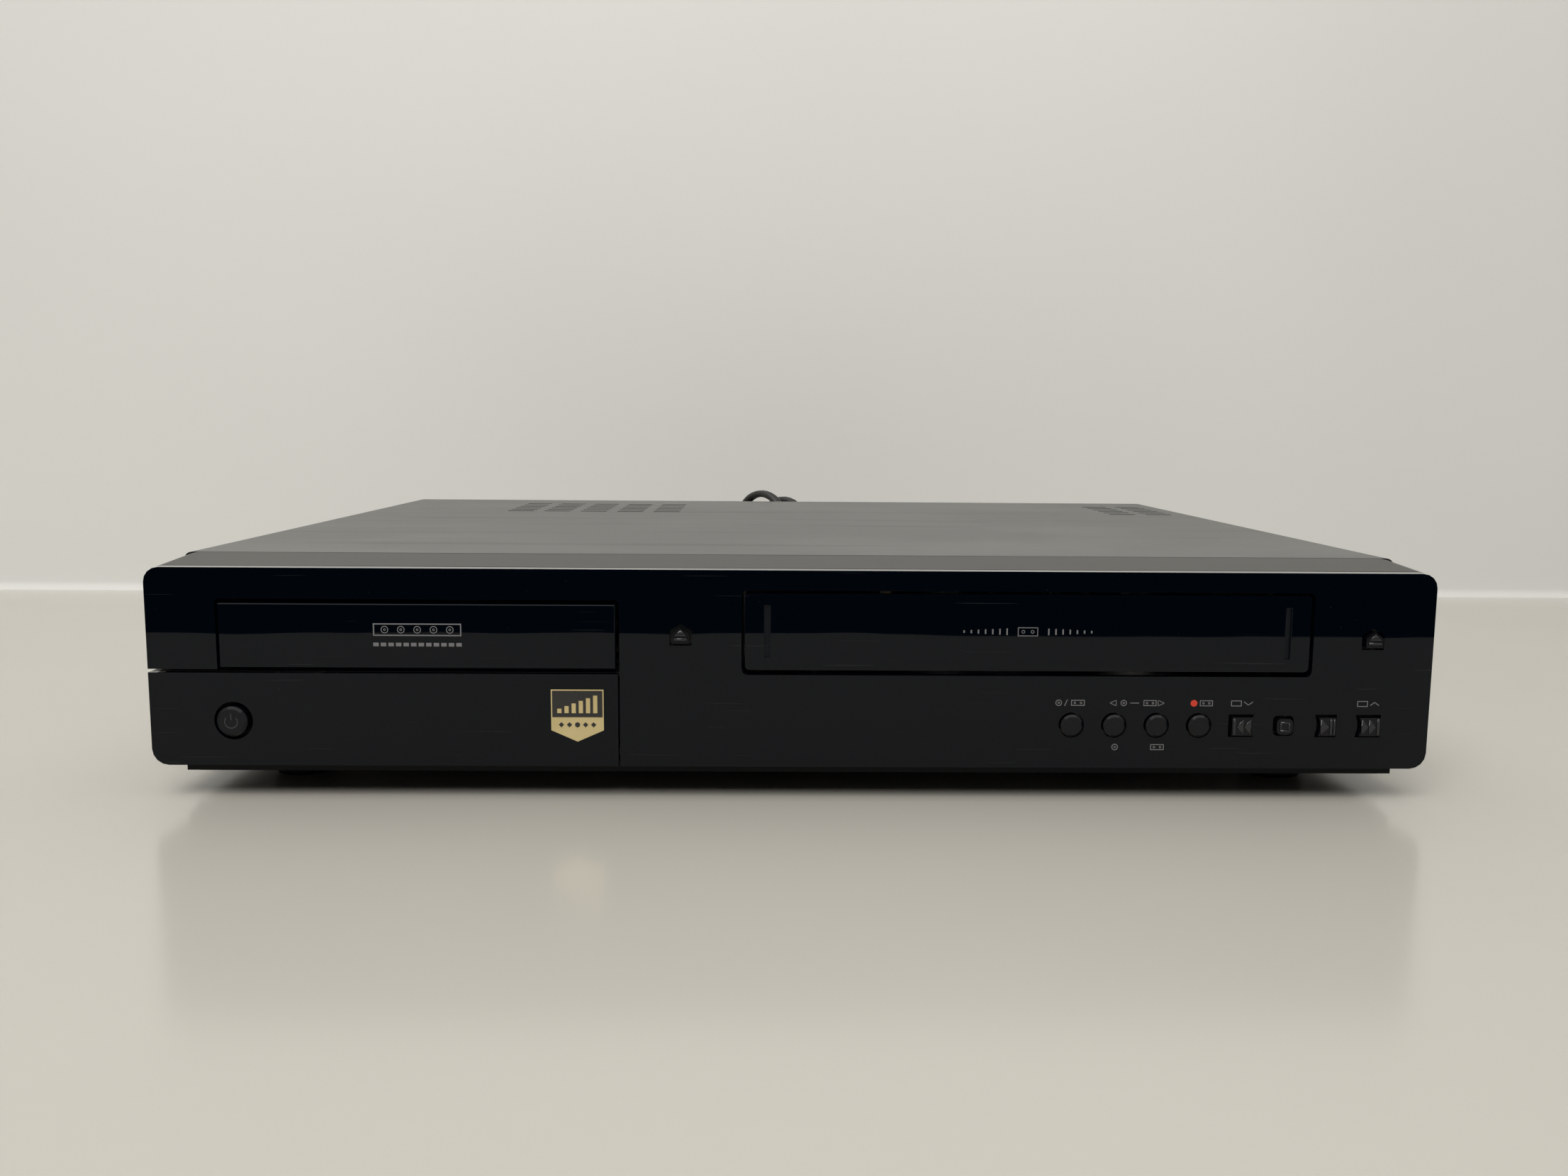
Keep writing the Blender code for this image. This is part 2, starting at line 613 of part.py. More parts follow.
def jack_recess():
    """A moulded wall with a ceiling, a floor and the two arms that the flap hangs on."""
    left = -HALF_WIDTH + BEZEL_WALL + GAP
    right = FLAP_RIGHT + FLAP_SIDE_GAP - GAP
    outline = [
        (RECESS_FRONT, RECESS_BOTTOM + RECESS_SHELF),
        (RECESS_FLOOR_FRONT, RECESS_BOTTOM + RECESS_SHELF),
        (RECESS_FLOOR_FRONT, RECESS_BOTTOM),
        (RECESS_BACK, RECESS_BOTTOM),
        (RECESS_BACK, RECESS_TOP),
        (RECESS_CEILING_FRONT, RECESS_TOP),
        (RECESS_CEILING_FRONT, RECESS_TOP - RECESS_SHELF),
        (RECESS_FRONT, RECESS_TOP - RECESS_SHELF),
    ]
    recess = make_piece("jack_recess", add_plate(bmesh.new(), outline, "X", left, right), MATTE_BLACK)
    arms = bmesh.new()
    bores = bmesh.new()
    for side in (-1, 1):
        near, far = flap_arm_x(side)
        low = min(near, far)
        high = max(near, far)
        boss = arc((FLAP_AXIS_Y, FLAP_AXIS_Z), FLAP_BOSS, 90, 270, 4)
        bottom = RECESS_BOTTOM + RECESS_SHELF / 2
        top = FLAP_AXIS_Z + FLAP_BOSS
        bar = boss + [(FLAP_AXIS_Y + FLAP_BOSS / 2, FLAP_AXIS_Z - FLAP_BOSS), (RECESS_FLOOR_FRONT, bottom)]
        bar += [(RECESS_BACK - RECESS_WALL / 2, bottom), (RECESS_BACK - RECESS_WALL / 2, top)]
        add_plate(arms, bar, "X", low, high)
        bore_ends = [(x, FLAP_AXIS_Y, FLAP_AXIS_Z) for x in (low - OVERRUN, high + OVERRUN)]
        add_rod(bores, *bore_ends, FLAP_PIN + FLAP_PIN_GAP, TINY_ROUND)
    fuse(recess, arms)
    cut(recess, bores)
    holes = bmesh.new()
    ends = (RECESS_FRONT - OVERRUN, RECESS_BACK + OVERRUN)
    for x in phono_places():
        add_rod(holes, *[(x, y, FRONT_SOCKET_Z) for y in ends], PHONO_OUTER + SOCKET_GAP, SOCKET_ROUND)
    add_rod(holes, *[(DIN_X, y, FRONT_SOCKET_Z) for y in ends], DIN_RADIUS + SOCKET_GAP, SOCKET_ROUND)
    power_hole = POWER_RADIUS + POWER_SHAFT_GAP
    add_rod(holes, *[(POWER_BUTTON[0], y, POWER_BUTTON[1]) for y in ends], power_hole, SMALL_ROUND)
    link_x = span(LINK_X, LINK_SIZE[0] + 2 * SOCKET_GAP)
    add_box(holes, link_x, ends, span(FRONT_SOCKET_Z, LINK_SIZE[1] + 2 * SOCKET_GAP))
    corner = [
        (left - OVERRUN, RECESS_BOTTOM - OVERRUN),
        (left + RECESS_CORNER, RECESS_BOTTOM - OVERRUN),
        (left + RECESS_CORNER, RECESS_BOTTOM),
        (left, RECESS_BOTTOM + RECESS_CORNER),
        (left - OVERRUN, RECESS_BOTTOM + RECESS_CORNER),
    ]
    add_plate(holes, corner, "Y", 0, RECESS_BACK + OVERRUN)
    cut(recess, holes)
    return recess


def phono_socket(shape, x, z, nose, panel, back):
    """A phono socket along Y: a bored round nose from its outer end to the panel, and a body behind."""
    floor = (nose + panel) / 2
    profile = [
        (0, floor),
        (PHONO_BORE, floor),
        (PHONO_BORE, nose),
        (PHONO_OUTER, nose),
        (PHONO_OUTER, panel),
        (SOCKET_BODY / 2, panel),
        (SOCKET_BODY / 2, back),
        (0, back),
    ]
    return add_turned(shape, profile, (x, 0, z), "Y", SOCKET_ROUND)


def link_socket(shape, x, z, size, front, inner, back, wall):
    """A small rectangular socket as a box with a pocket: returns the pocket, to be cut."""
    width, height = size
    add_box(shape, span(x, width), (front, back), span(z, height))
    mouth = front - OVERRUN if inner > front else front + OVERRUN
    return span(x, width - 2 * wall), (mouth, inner), span(z, height - 2 * wall)


# Boards behind the front, with their switches, and the display
LEFT_BOARD_X = (-0.205, -0.068)
BOARD_BAND_Z = (0.0160, 0.0410)
BOARD_BAND_X = (-0.050, 0.208)
DISC_TAB_X = (-0.048, -0.026)
TAPE_TAB_X = (0.184, 0.208)
TAB_TOP = 0.0640
SWITCH_SIZE = 0.005
DISPLAY_X = (-0.040, 0.078)
DISPLAY_Z = (0.0175, 0.0395)
POWER_STEM_END = 0.0203


def switch_places():
    """Where the small push switches sit, as (x, z)."""
    row = [(row_x(number), ROW_Z) for number in range(len(ROUND_NAMES) + len(SHAPED_NAMES))]
    return [*row, DISC_EJECT, TAPE_EJECT]


def jack_board():
    """The left board with three phono sockets, a round video socket, a link socket and a switch."""
    board_depth = (BEHIND_SOCKET, BEHIND_SOCKET + BOARD_THICKNESS)
    board = add_box(bmesh.new(), LEFT_BOARD_X, board_depth, BOARD_BAND_Z)
    piece = make_piece("jack_board", board, BROWN_BOARD)
    behind = RECESS_BACK + GAP
    seat = BEHIND_SOCKET + BOARD_THICKNESS / 2
    sockets = bmesh.new()
    for x in phono_places():
        phono_socket(sockets, x, FRONT_SOCKET_Z, RECESS_FRONT - PHONO_NOSE, behind, seat)
    rim = DIN_RADIUS - LINK_WALL
    front = RECESS_FRONT - SOCKET_FLANGE
    profile = [
        (0, front + LINK_DEPTH),
        (rim, front + LINK_DEPTH),
        (rim, front),
        (DIN_RADIUS, front),
        (DIN_RADIUS, seat),
        (0, seat),
    ]
    add_turned(sockets, profile, (DIN_X, 0, FRONT_SOCKET_Z), "Y", SOCKET_ROUND)
    floor = front + LINK_DEPTH
    pocket = link_socket(sockets, LINK_X, FRONT_SOCKET_Z, LINK_SIZE, front, floor, seat, LINK_WALL)
    switch_depth = (POWER_STEM_END + TRAVEL_ROOM, seat)
    switch_x, switch_z = (span(middle, 2 * SWITCH_SIZE) for middle in POWER_BUTTON)
    add_box(sockets, switch_x, switch_depth, switch_z)
    fuse(piece, sockets)
    return cut(piece, add_box(bmesh.new(), *pocket))


def front_board():
    """The right board with its switches and the display; it reaches up behind each eject button."""
    low, high = BOARD_BAND_Z
    outline = [
        (BOARD_BAND_X[0], low),
        (BOARD_BAND_X[1], low),
        (TAPE_TAB_X[1], TAB_TOP),
        (TAPE_TAB_X[0], TAB_TOP),
        (TAPE_TAB_X[0], high),
        (DISC_TAB_X[1], high),
        (DISC_TAB_X[1], TAB_TOP),
        (DISC_TAB_X[0], TAB_TOP),
        (DISC_TAB_X[0], high),
        (BOARD_BAND_X[0], high),
    ]
    shape = add_plate(bmesh.new(), outline, "Y", FRONT_BOARD_Y, FRONT_BOARD_Y + BOARD_THICKNESS)
    board = make_piece("front_board", shape, BROWN_BOARD)
    seat = FRONT_BOARD_Y + BOARD_THICKNESS / 2
    standing = add_box(bmesh.new(), DISPLAY_X, (FRONT_WALL + GAP, seat), DISPLAY_Z)
    for x, z in switch_places():
        add_box(standing, span(x, SWITCH_SIZE), (SWITCH_FRONT, seat), span(z, SWITCH_SIZE))
    return fuse(board, standing)


# Buttons, each trapped behind the panel by its flange
POWER_EDGE = 0.0008
POWER_STEM_RADIUS = 0.002
BUTTON_EDGE = 0.0007


def power_button():
    """The round power button, long enough to reach its switch behind the socket recess."""
    flange = (RECESS_BACK + GAP, RECESS_BACK + GAP + BUTTON_FLANGE)
    profile = [
        (0, -BUTTON_PROUD),
        (POWER_RADIUS - POWER_EDGE, -BUTTON_PROUD),
        (POWER_RADIUS, POWER_EDGE - BUTTON_PROUD),
        (POWER_RADIUS, flange[0]),
        (POWER_RADIUS + FLANGE_OVERLAP, flange[0]),
        (POWER_RADIUS + FLANGE_OVERLAP, flange[1]),
        (POWER_STEM_RADIUS, flange[1]),
        (POWER_STEM_RADIUS, POWER_STEM_END),
        (0, POWER_STEM_END),
    ]
    centre = (POWER_BUTTON[0], 0, POWER_BUTTON[1])
    shape = add_turned(bmesh.new(), profile, centre, "Y", ROUND)
    return make_piece("power_button", shape, BUTTON_BLACK, centre)


def round_buttons():
    """Four small round buttons."""
    flange = (FRONT_WALL + GAP, FRONT_WALL + GAP + BUTTON_FLANGE)
    profile = [
        (0, -SMALL_PROUD),
        (ROUND_BUTTON_RADIUS - BUTTON_EDGE, -SMALL_PROUD),
        (ROUND_BUTTON_RADIUS, BUTTON_EDGE - SMALL_PROUD),
        (ROUND_BUTTON_RADIUS, flange[0]),
        (ROUND_BUTTON_RADIUS + FLANGE_OVERLAP, flange[0]),
        (ROUND_BUTTON_RADIUS + FLANGE_OVERLAP, flange[1]),
        (STEM_RADIUS, flange[1]),
        (STEM_RADIUS, BUTTON_BACK),
        (0, BUTTON_BACK),
    ]
    for number, name in enumerate(ROUND_NAMES):
        centre = (row_x(number), 0, ROW_Z)
        make_piece(name, add_turned(bmesh.new(), profile, centre, "Y", SMALL_ROUND), BUTTON_BLACK, centre)


def outlined_button(name, outline, size, centre):
    """A button whose cap follows an outline, with a rectangular flange and a stem behind the panel."""
    x, z = centre
    flange_front = FRONT_WALL + GAP
    cap = add_plate(bmesh.new(), outline, "Y", -SMALL_PROUD, flange_front + BUTTON_FLANGE / 2)
    button = make_piece(name, cap, BUTTON_BLACK, (x, 0, z))
    width, height = (length + 2 * FLANGE_OVERLAP for length in size)
    flange = (flange_front, flange_front + BUTTON_FLANGE)
    fuse(button, add_box(bmesh.new(), span(x, width), flange, span(z, height)))
    stem = (flange_front + BUTTON_FLANGE / 2, BUTTON_BACK)
    fuse(button, add_box(bmesh.new(), span(x, 2 * STEM_RADIUS), stem, span(z, 2 * STEM_RADIUS)))
    return button


def outlined_buttons():
    """The four shaped transport buttons and the two eject buttons."""
    for number, kind in enumerate(SHAPED_NAMES, len(ROUND_NAMES)):
        centre = (row_x(number), ROW_Z)
        outlined_button(f"{kind}_button", shaped_outline(kind, centre), SHAPED_SIZE[kind], centre)
    outlined_button("disc_eject_button", eject_outline(DISC_EJECT), EJECT_SIZE, DISC_EJECT)
    outlined_button("tape_eject_button", eject_outline(TAPE_EJECT), EJECT_SIZE, TAPE_EJECT)


# Cassette door, hinged behind the top edge of its opening
DOOR_FRONT = 0.0002
DOOR_THICKNESS = 0.0022
GROOVE_WIDTH = 0.0017
GROOVE_DEPTH = 0.0007
GROOVE_INSET = 0.0065
GROOVE_Z = (0.0495, 0.0668)
ARM_BOTTOM = 0.0630
ARM_ROOT_Y = 0.0048


def vcr_door():
    """The door: a slab with two grooves, and two arms that reach up to the pins."""
    door_x = span(DOOR_X, DOOR_WIDTH)
    back = DOOR_FRONT + DOOR_THICKNESS
    outline = rounded(door_x, DOOR_Z, OPENING_CORNER)
    shape = add_plate(bmesh.new(), outline, "Y", DOOR_FRONT, back)
    door = make_piece("vcr_door", shape, GLOSS_BLACK, (0, DOOR_AXIS_Y, DOOR_AXIS_Z))
    arms = bmesh.new()
    pins = bmesh.new()
    for side in (-1, 1):
        near, far = door_ear_x(side)
        inner = far + side * DOOR_EAR_GAP
        outer = inner + side * DOOR_ARM
        boss = arc((DOOR_AXIS_Y, DOOR_AXIS_Z), DOOR_BOSS, 0, 180, 4)
        root = back - DOOR_THICKNESS / 2
        side_view = [(root, ARM_BOTTOM), (ARM_ROOT_Y, ARM_BOTTOM), *boss]
        side_view.append((DOOR_AXIS_Y - DOOR_BOSS, DOOR_Z[1] - DOOR_CORNER / 2))
        side_view.append((root, DOOR_Z[1] - DOOR_CORNER))
        add_plate(arms, side_view, "X", min(inner, outer), max(inner, outer))
        start = ((inner + outer) / 2, DOOR_AXIS_Y, DOOR_AXIS_Z)
        add_rod(pins, start, (near, DOOR_AXIS_Y, DOOR_AXIS_Z), DOOR_PIN, TINY_ROUND)
    fuse(door, arms)
    fuse(door, pins)
    grooves = bmesh.new()
    for side in (-1, 1):
        middle = DOOR_X + side * (DOOR_WIDTH / 2 - GROOVE_INSET - GROOVE_WIDTH / 2)
        groove_depth = (DOOR_FRONT - OVERRUN, DOOR_FRONT + GROOVE_DEPTH)
        add_box(grooves, span(middle, GROOVE_WIDTH), groove_depth, GROOVE_Z)
    return cut(door, grooves)


# Disc loader: frame, sliding tray, tray drive and clamp
TRAY_WIDTH = 0.1286
TRAY_Z = (0.0504, 0.0574)
TRAY_LENGTH = 0.1686
FASCIA_X = (-0.1914, -0.0597)
FASCIA_Z = (0.0450, 0.0671)
FASCIA_THICKNESS = 0.0031
FASCIA_EDGE = 0.0005
DISC_Y = 0.080
DISC_RADIUS = 0.0605
SMALL_DISC_RADIUS = 0.0410
DISC_SIDES = 32
DISC_STEP = 0.0022
SMALL_DISC_STEP = 0.0016
TRAY_SLOT = 0.046
RACK_X = (-0.1830, -0.1802)
RACK_FROM = 0.008
TOOTH_PITCH = 0.005
TOOTH_HEIGHT = 0.0026
TOOTH_ROOT_SHARE = 0.28
TOOTH_TIP_SHARE = 0.11
MESH_GAP = 0.0003
RACK_Z = (0.0474, 0.0506)
GEAR_TEETH = 11
GEAR_Y = 0.022

FRAME_CLEAR = 0.0006
FRAME_WALL = 0.0025
FRAME_FRONT = 0.0172
FRAME_REAR = 0.190
FRAME_TOP = 0.0755
SHELF_Z = (0.0439, 0.0454)
SHELF_DEPTH = 0.0168
LEG_FRONT = 0.034
MOTOR_SHELF_RIGHT = -0.150
MOTOR_SHELF_DEPTH = 0.0368
RAIL_WIDTH = 0.0042
RAIL_THICKNESS = 0.0021
GUIDE_WIDTH = 0.003
GUIDE_THICKNESS = 0.0018
FRAME_REAR_WALL = 0.003
BRIDGE_Y = (0.062, 0.098)
BRIDGE_Z = (0.0630, 0.0650)
CLAMP_NECK = 0.009
CLAMP_HOLE = 0.0105
CLAMP_DISC = 0.015
CLAMP_FLANGE = 0.013
CLAMP_BORE = 0.0056
CLAMP_DISC_THICKNESS = 0.003
CLAMP_ABOVE_TRAY = 0.001
CLAMP_BORE_DEPTH = 0.0018
CLAMP_FLANGE_THICKNESS = 0.0017
HINGE_Y = 0.180
HINGE_PIN = 0.002
HINGE_PIN_LENGTH = 0.004
HINGE_CLEAR = 0.0004
BRACKET_WIDTH = 0.0035
BRACKET_REACH = 0.004
DECK_X = (-0.160, -0.0895)
DECK_Y = (0.056, 0.184)
DECK_Z = (0.0424, 0.0451)

DECK_MID_Z = (DECK_Z[0] + DECK_Z[1]) / 2
FRAME_INNER = TRAY_WIDTH / 2 + FRAME_CLEAR
GEAR_RADIUS = GEAR_TEETH * TOOTH_PITCH / (2 * math.pi)
RACK_PITCH_X = RACK_X[1] + TOOTH_HEIGHT / 2
GEAR_X = RACK_PITCH_X + GEAR_RADIUS + MESH_GAP
PULLEY_RADIUS = 0.0115
PULLEY_THICKNESS = 0.0012
MOTOR_PULLEY_RADIUS = 0.0032
MOTOR_X = -0.157
MOTOR_Y = 0.045
MOTOR_RADIUS = 0.008
MOTOR_HEIGHT = 0.020
MOTOR_SHAFT = 0.001
BELT_THICKNESS = 0.001
BELT_HEIGHT = 0.0008
GEAR_PIN = 0.0015


def tray_rack():
    """Outline of the rack under the tray, seen from above."""
    count = int((TRAY_LENGTH - RACK_FROM) / TOOTH_PITCH)
    points = [(RACK_X[0], RACK_FROM)]
    for number in range(count):
        start = RACK_FROM + number * TOOTH_PITCH
        middle = start + TOOTH_PITCH / 2
        root = TOOTH_PITCH * TOOTH_ROOT_SHARE
        tip = TOOTH_PITCH * TOOTH_TIP_SHARE
        points += [
            (RACK_X[1], middle - root),
            (RACK_X[1] + TOOTH_HEIGHT, middle - tip),
            (RACK_X[1] + TOOTH_HEIGHT, middle + tip),
            (RACK_X[1], middle + root),
        ]
    points.append((RACK_X[0], RACK_FROM + count * TOOTH_PITCH))
    return points


def gear_outline(centre, radius, teeth, height, turn=0.0):
    """Outline of a spur gear: teeth as trapezoids on the pitch radius."""
    points = []
    step = 2 * math.pi / teeth
    root, tip = TOOTH_ROOT_SHARE, TOOTH_TIP_SHARE
    for number in range(teeth):
        middle = turn + number * step
        for share, level in ((-root, -1), (-tip, 1), (tip, 1), (root, -1)):
            angle = middle + share * step
            reach = radius + level * height / 2
            points.append((centre[0] + reach * math.cos(angle), centre[1] + reach * math.sin(angle)))
    return points


def gear_turn():
    """Turn of the tray gear that puts a gap of the rack opposite one of its teeth."""
    from_start = (GEAR_Y - RACK_FROM) / TOOTH_PITCH
    ahead = (math.ceil(from_start) - from_start) * TOOTH_PITCH
    return math.pi - ahead / GEAR_RADIUS


def disc_tray():
    """The tray: two stepped disc seats, a slot for the turntable and pickup, and the rack."""
    front = FASCIA_THICKNESS + GAP
    back = front + TRAY_LENGTH
    shape = add_box(bmesh.new(), span(TRAY_X, TRAY_WIDTH), (front, back), TRAY_Z)
    tray = make_piece("disc_tray", shape, MATTE_BLACK)
    top = TRAY_Z[1]
    start, end = (TRAY_X, DISC_Y, top - DISC_STEP), (TRAY_X, DISC_Y, top + OVERRUN)
    seat = add_rod(bmesh.new(), start, end, DISC_RADIUS, DISC_SIDES)
    cut(tray, seat)
    lower = top - DISC_STEP - SMALL_DISC_STEP
    start, end = (TRAY_X, DISC_Y, lower), (TRAY_X, DISC_Y, top)
    small = add_rod(bmesh.new(), start, end, SMALL_DISC_RADIUS, DISC_SIDES)
    cut(tray, small)
    slot = arc((TRAY_X, DISC_Y), TRAY_SLOT / 2, 180, 360, 10)
    slot += [(TRAY_X + TRAY_SLOT / 2, back + OVERRUN), (TRAY_X - TRAY_SLOT / 2, back + OVERRUN)]
    cut(tray, add_plate(bmesh.new(), slot, "Z", TRAY_Z[0] - OVERRUN, top + OVERRUN))
    fuse(tray, add_plate(bmesh.new(), tray_rack(), "Z", *RACK_Z))
    return tray


def tray_fascia():
    """The tray's front strip."""
    shape = add_box(bmesh.new(), FASCIA_X, (0, FASCIA_THICKNESS), FASCIA_Z)
    front = [edge for edge in shape.edges if all(vert.co.y < WELD for vert in edge.verts)]
    bmesh.ops.bevel(
        shape,
        geom=front,
        offset=FASCIA_EDGE,
        segments=1,
        profile=0.5,
        affect="EDGES",
        material=-1,
    )
    return make_piece("tray_fascia", shape, GLOSS_BLACK)


def loader_frame():
    """Side walls, rear wall, shelf, rails, guides, hinge brackets and the clamp's bridge."""
    left = TRAY_X - FRAME_INNER
    right = TRAY_X + FRAME_INNER
    side_view = [
        (FRAME_FRONT, SHELF_Z[0]),
        (LEG_FRONT, SHELF_Z[0]),
        (LEG_FRONT, STAND),
        (FRAME_REAR, STAND),
        (FRAME_REAR, FRAME_TOP),
        (FRAME_FRONT, FRAME_TOP),
    ]
    shape = add_plate(bmesh.new(), side_view, "X", left - FRAME_WALL, right + FRAME_WALL)
    frame = make_piece("loader_frame", shape, MATTE_BLACK)
    inside = (FRAME_FRONT - OVERRUN, FRAME_REAR - FRAME_REAR_WALL)
    cut(frame, add_box(bmesh.new(), (left, right), inside, (0, FRAME_TOP + OVERRUN)))
    inner = (left - FRAME_WALL / 2, right + FRAME_WALL / 2)
    shelf = [
        (inner[0], FRAME_FRONT),
        (inner[1], FRAME_FRONT),
        (inner[1], FRAME_FRONT + SHELF_DEPTH),
        (MOTOR_SHELF_RIGHT, FRAME_FRONT + SHELF_DEPTH),
        (MOTOR_SHELF_RIGHT, FRAME_FRONT + MOTOR_SHELF_DEPTH),
        (inner[0], FRAME_FRONT + MOTOR_SHELF_DEPTH),
    ]
    parts = add_plate(bmesh.new(), shelf, "Z", *SHELF_Z)
    add_box(parts, inner, BRIDGE_Y, BRIDGE_Z)
    rail_z = (TRAY_Z[0] - GAP - RAIL_THICKNESS, TRAY_Z[0] - GAP)
    guide_z = (TRAY_Z[1] + GAP, TRAY_Z[1] + GAP + GUIDE_THICKNESS)
    length = (FRAME_FRONT, FRAME_REAR - FRAME_REAR_WALL / 2)
    for side, edge in ((1, left), (-1, right)):
        outer = edge - side * FRAME_WALL / 2
        add_box(parts, (outer, edge + side * RAIL_WIDTH), length, rail_z)
        add_box(parts, (outer, edge + side * GUIDE_WIDTH), length, guide_z)
    bracket_y = (HINGE_Y - BRACKET_REACH, FRAME_REAR - FRAME_REAR_WALL / 2)
    bracket_z = span(DECK_MID_Z, 2 * BRACKET_REACH)
    for side, edge in ((-1, DECK_X[0]), (1, DECK_X[1])):
        near = edge + side * HINGE_CLEAR
        add_box(parts, (near, near + side * BRACKET_WIDTH), bracket_y, bracket_z)
    fuse(frame, parts)
    holes = bmesh.new()
    for side, edge in ((-1, DECK_X[0]), (1, DECK_X[1])):
        start = (edge + side * HINGE_CLEAR / 2, HINGE_Y, DECK_MID_Z)
        end = (edge + side * (HINGE_CLEAR + BRACKET_WIDTH + OVERRUN), HINGE_Y, DECK_MID_Z)
        add_rod(holes, start, end, HINGE_PIN + HINGE_CLEAR, TINY_ROUND)
    add_rod(holes, *[(TRAY_X, DISC_Y, z) for z in span(BRIDGE_Z[0], 4 * OVERRUN)], CLAMP_HOLE, ROUND)
    start, end = ((MOTOR_X, MOTOR_Y, z) for z in span(SHELF_Z[0], 4 * OVERRUN))
    add_rod(holes, start, end, 2 * MOTOR_SHAFT, TINY_ROUND)
    cut(frame, holes)
    start, end = ((GEAR_X, GEAR_Y, z) for z in (SHELF_Z[0] + SHEET / 2, RACK_Z[0]))
    pin = add_rod(bmesh.new(), start, end, GEAR_PIN, TINY_ROUND)
    return fuse(frame, pin)


def tray_drive():
    """The tray gear with its pulley, the belt, the motor's pulley and the motor."""
    pulley_z = (SHELF_Z[1] + GAP, SHELF_Z[1] + GAP + PULLEY_THICKNESS)
    gear_top = TRAY_Z[0] - GAP
    outline = gear_outline((GEAR_X, GEAR_Y), GEAR_RADIUS, GEAR_TEETH, TOOTH_HEIGHT, gear_turn())
    shape = add_plate(bmesh.new(), outline, "Z", pulley_z[1] - PULLEY_THICKNESS / 2, gear_top)
    gear = make_piece("tray_gear", shape, PALE_PLASTIC, (GEAR_X, GEAR_Y, pulley_z[0]))
    fuse(gear, add_rod(bmesh.new(), *[(GEAR_X, GEAR_Y, z) for z in pulley_z], PULLEY_RADIUS, ROUND))
    bore_top = RACK_Z[0] + GAP
    start, end = (GEAR_X, GEAR_Y, 0), (GEAR_X, GEAR_Y, bore_top)
    cut(gear, add_rod(bmesh.new(), start, end, GEAR_PIN + GAP, TINY_ROUND))
    add = add_rod(bmesh.new(), *[(MOTOR_X, MOTOR_Y, z) for z in pulley_z], MOTOR_PULLEY_RADIUS, SMALL_ROUND)
    pulley = make_piece("tray_motor_pulley", add, PALE_PLASTIC, (MOTOR_X, MOTOR_Y, pulley_z[0]))
    shaft = [(MOTOR_X, MOTOR_Y, z) for z in (SHELF_Z[0] - MOTOR_SHAFT, pulley_z[0] + PULLEY_THICKNESS / 2)]
    fuse(pulley, add_rod(bmesh.new(), *shaft, MOTOR_SHAFT, TINY_ROUND))
    motor_top = SHELF_Z[0] - GAP
    start, end = ((MOTOR_X, MOTOR_Y, z) for z in (motor_top - MOTOR_HEIGHT, motor_top))
    can = add_rod(bmesh.new(), start, end, MOTOR_RADIUS)
    motor = make_piece("tray_motor", can, BARE_STEEL)
    start, end = ((MOTOR_X, MOTOR_Y, z) for z in (motor_top - OVERRUN, motor_top + OVERRUN))
    cut(motor, add_rod(bmesh.new(), start, end, 2 * MOTOR_SHAFT, TINY_ROUND))
    middle = (pulley_z[0] + pulley_z[1]) / 2
    belt_z = span(middle, BELT_HEIGHT)
    inner = belt_outline(GAP)
    outer = belt_outline(GAP + BELT_THICKNESS)
    belt = make_piece("tray_belt", add_plate(bmesh.new(), outer, "Z", *belt_z), RUBBER)
    cut(belt, add_plate(bmesh.new(), inner, "Z", belt_z[0] - OVERRUN, belt_z[1] + OVERRUN))


def belt_outline(clear):
    """Outline of a belt round both pulleys, at a clearance from them."""
    big = PULLEY_RADIUS + clear
    small = MOTOR_PULLEY_RADIUS + clear
    across = MOTOR_X - GEAR_X
    along = MOTOR_Y - GEAR_Y
    heading = math.degrees(math.atan2(along, across))
    lean = math.degrees(math.acos((big - small) / math.hypot(across, along)))
    points = arc((GEAR_X, GEAR_Y), big, heading + lean, heading + 360 - lean, 14)
    points += arc((MOTOR_X, MOTOR_Y), small, heading - lean, heading + lean, 6)
    return points


def disc_clamp():
    """The clamp puck, hanging in its bridge."""
    low = TRAY_Z[1] + CLAMP_ABOVE_TRAY
    step = low + CLAMP_DISC_THICKNESS
    rest = BRIDGE_Z[1] + GAP
    profile = [
        (0, low + CLAMP_BORE_DEPTH),
        (CLAMP_BORE, low + CLAMP_BORE_DEPTH),
        (CLAMP_BORE, low),
        (CLAMP_DISC, low),
        (CLAMP_DISC, step),
        (CLAMP_NECK, step),
        (CLAMP_NECK, rest),
        (CLAMP_FLANGE, rest),
        (CLAMP_FLANGE, rest + CLAMP_FLANGE_THICKNESS),
        (0, rest + CLAMP_FLANGE_THICKNESS),
    ]
    centre = (TRAY_X, DISC_Y, 0)
    shape = add_turned(bmesh.new(), profile, centre, "Z", SMALL_ROUND)
    return make_piece("disc_clamp", shape, PALE_PLASTIC, (TRAY_X, DISC_Y, low))


# Pickup deck: it tips down at its front so that the tray can pass
WINDOW_X = (-0.151, -0.093)
WINDOW_Y = (0.0935, 0.160)
ROD_X = (-0.147, -0.104)
ROD_RADIUS = 0.0012
SPINDLE_MOTOR_RADIUS = 0.012
TURNTABLE_RADIUS = 0.0155
TURNTABLE_THICKNESS = 0.0031
TURNTABLE_BELOW_TRAY_TOP = 0.0005
CONE_RADII = (0.0046, 0.0036)
CONE_HEIGHT = 0.0016
SLED_X = (-0.150, -0.1012)
SLED_Y = (0.0942, 0.1202)
SLED_Z = (0.0408, 0.0470)
OPTICS_WIDTH = 0.025
OPTICS_Y = (0.0962, 0.1162)
OPTICS_TOP = 0.0525
LENS_Y = 0.1045
LENS_RADIUS = 0.0035
LENS_TOP = 0.0546
LENS_SIDES = 12
SCREW_X = -0.098
SCREW_RADIUS = 0.0015
SCREW_WHEEL = 0.0026
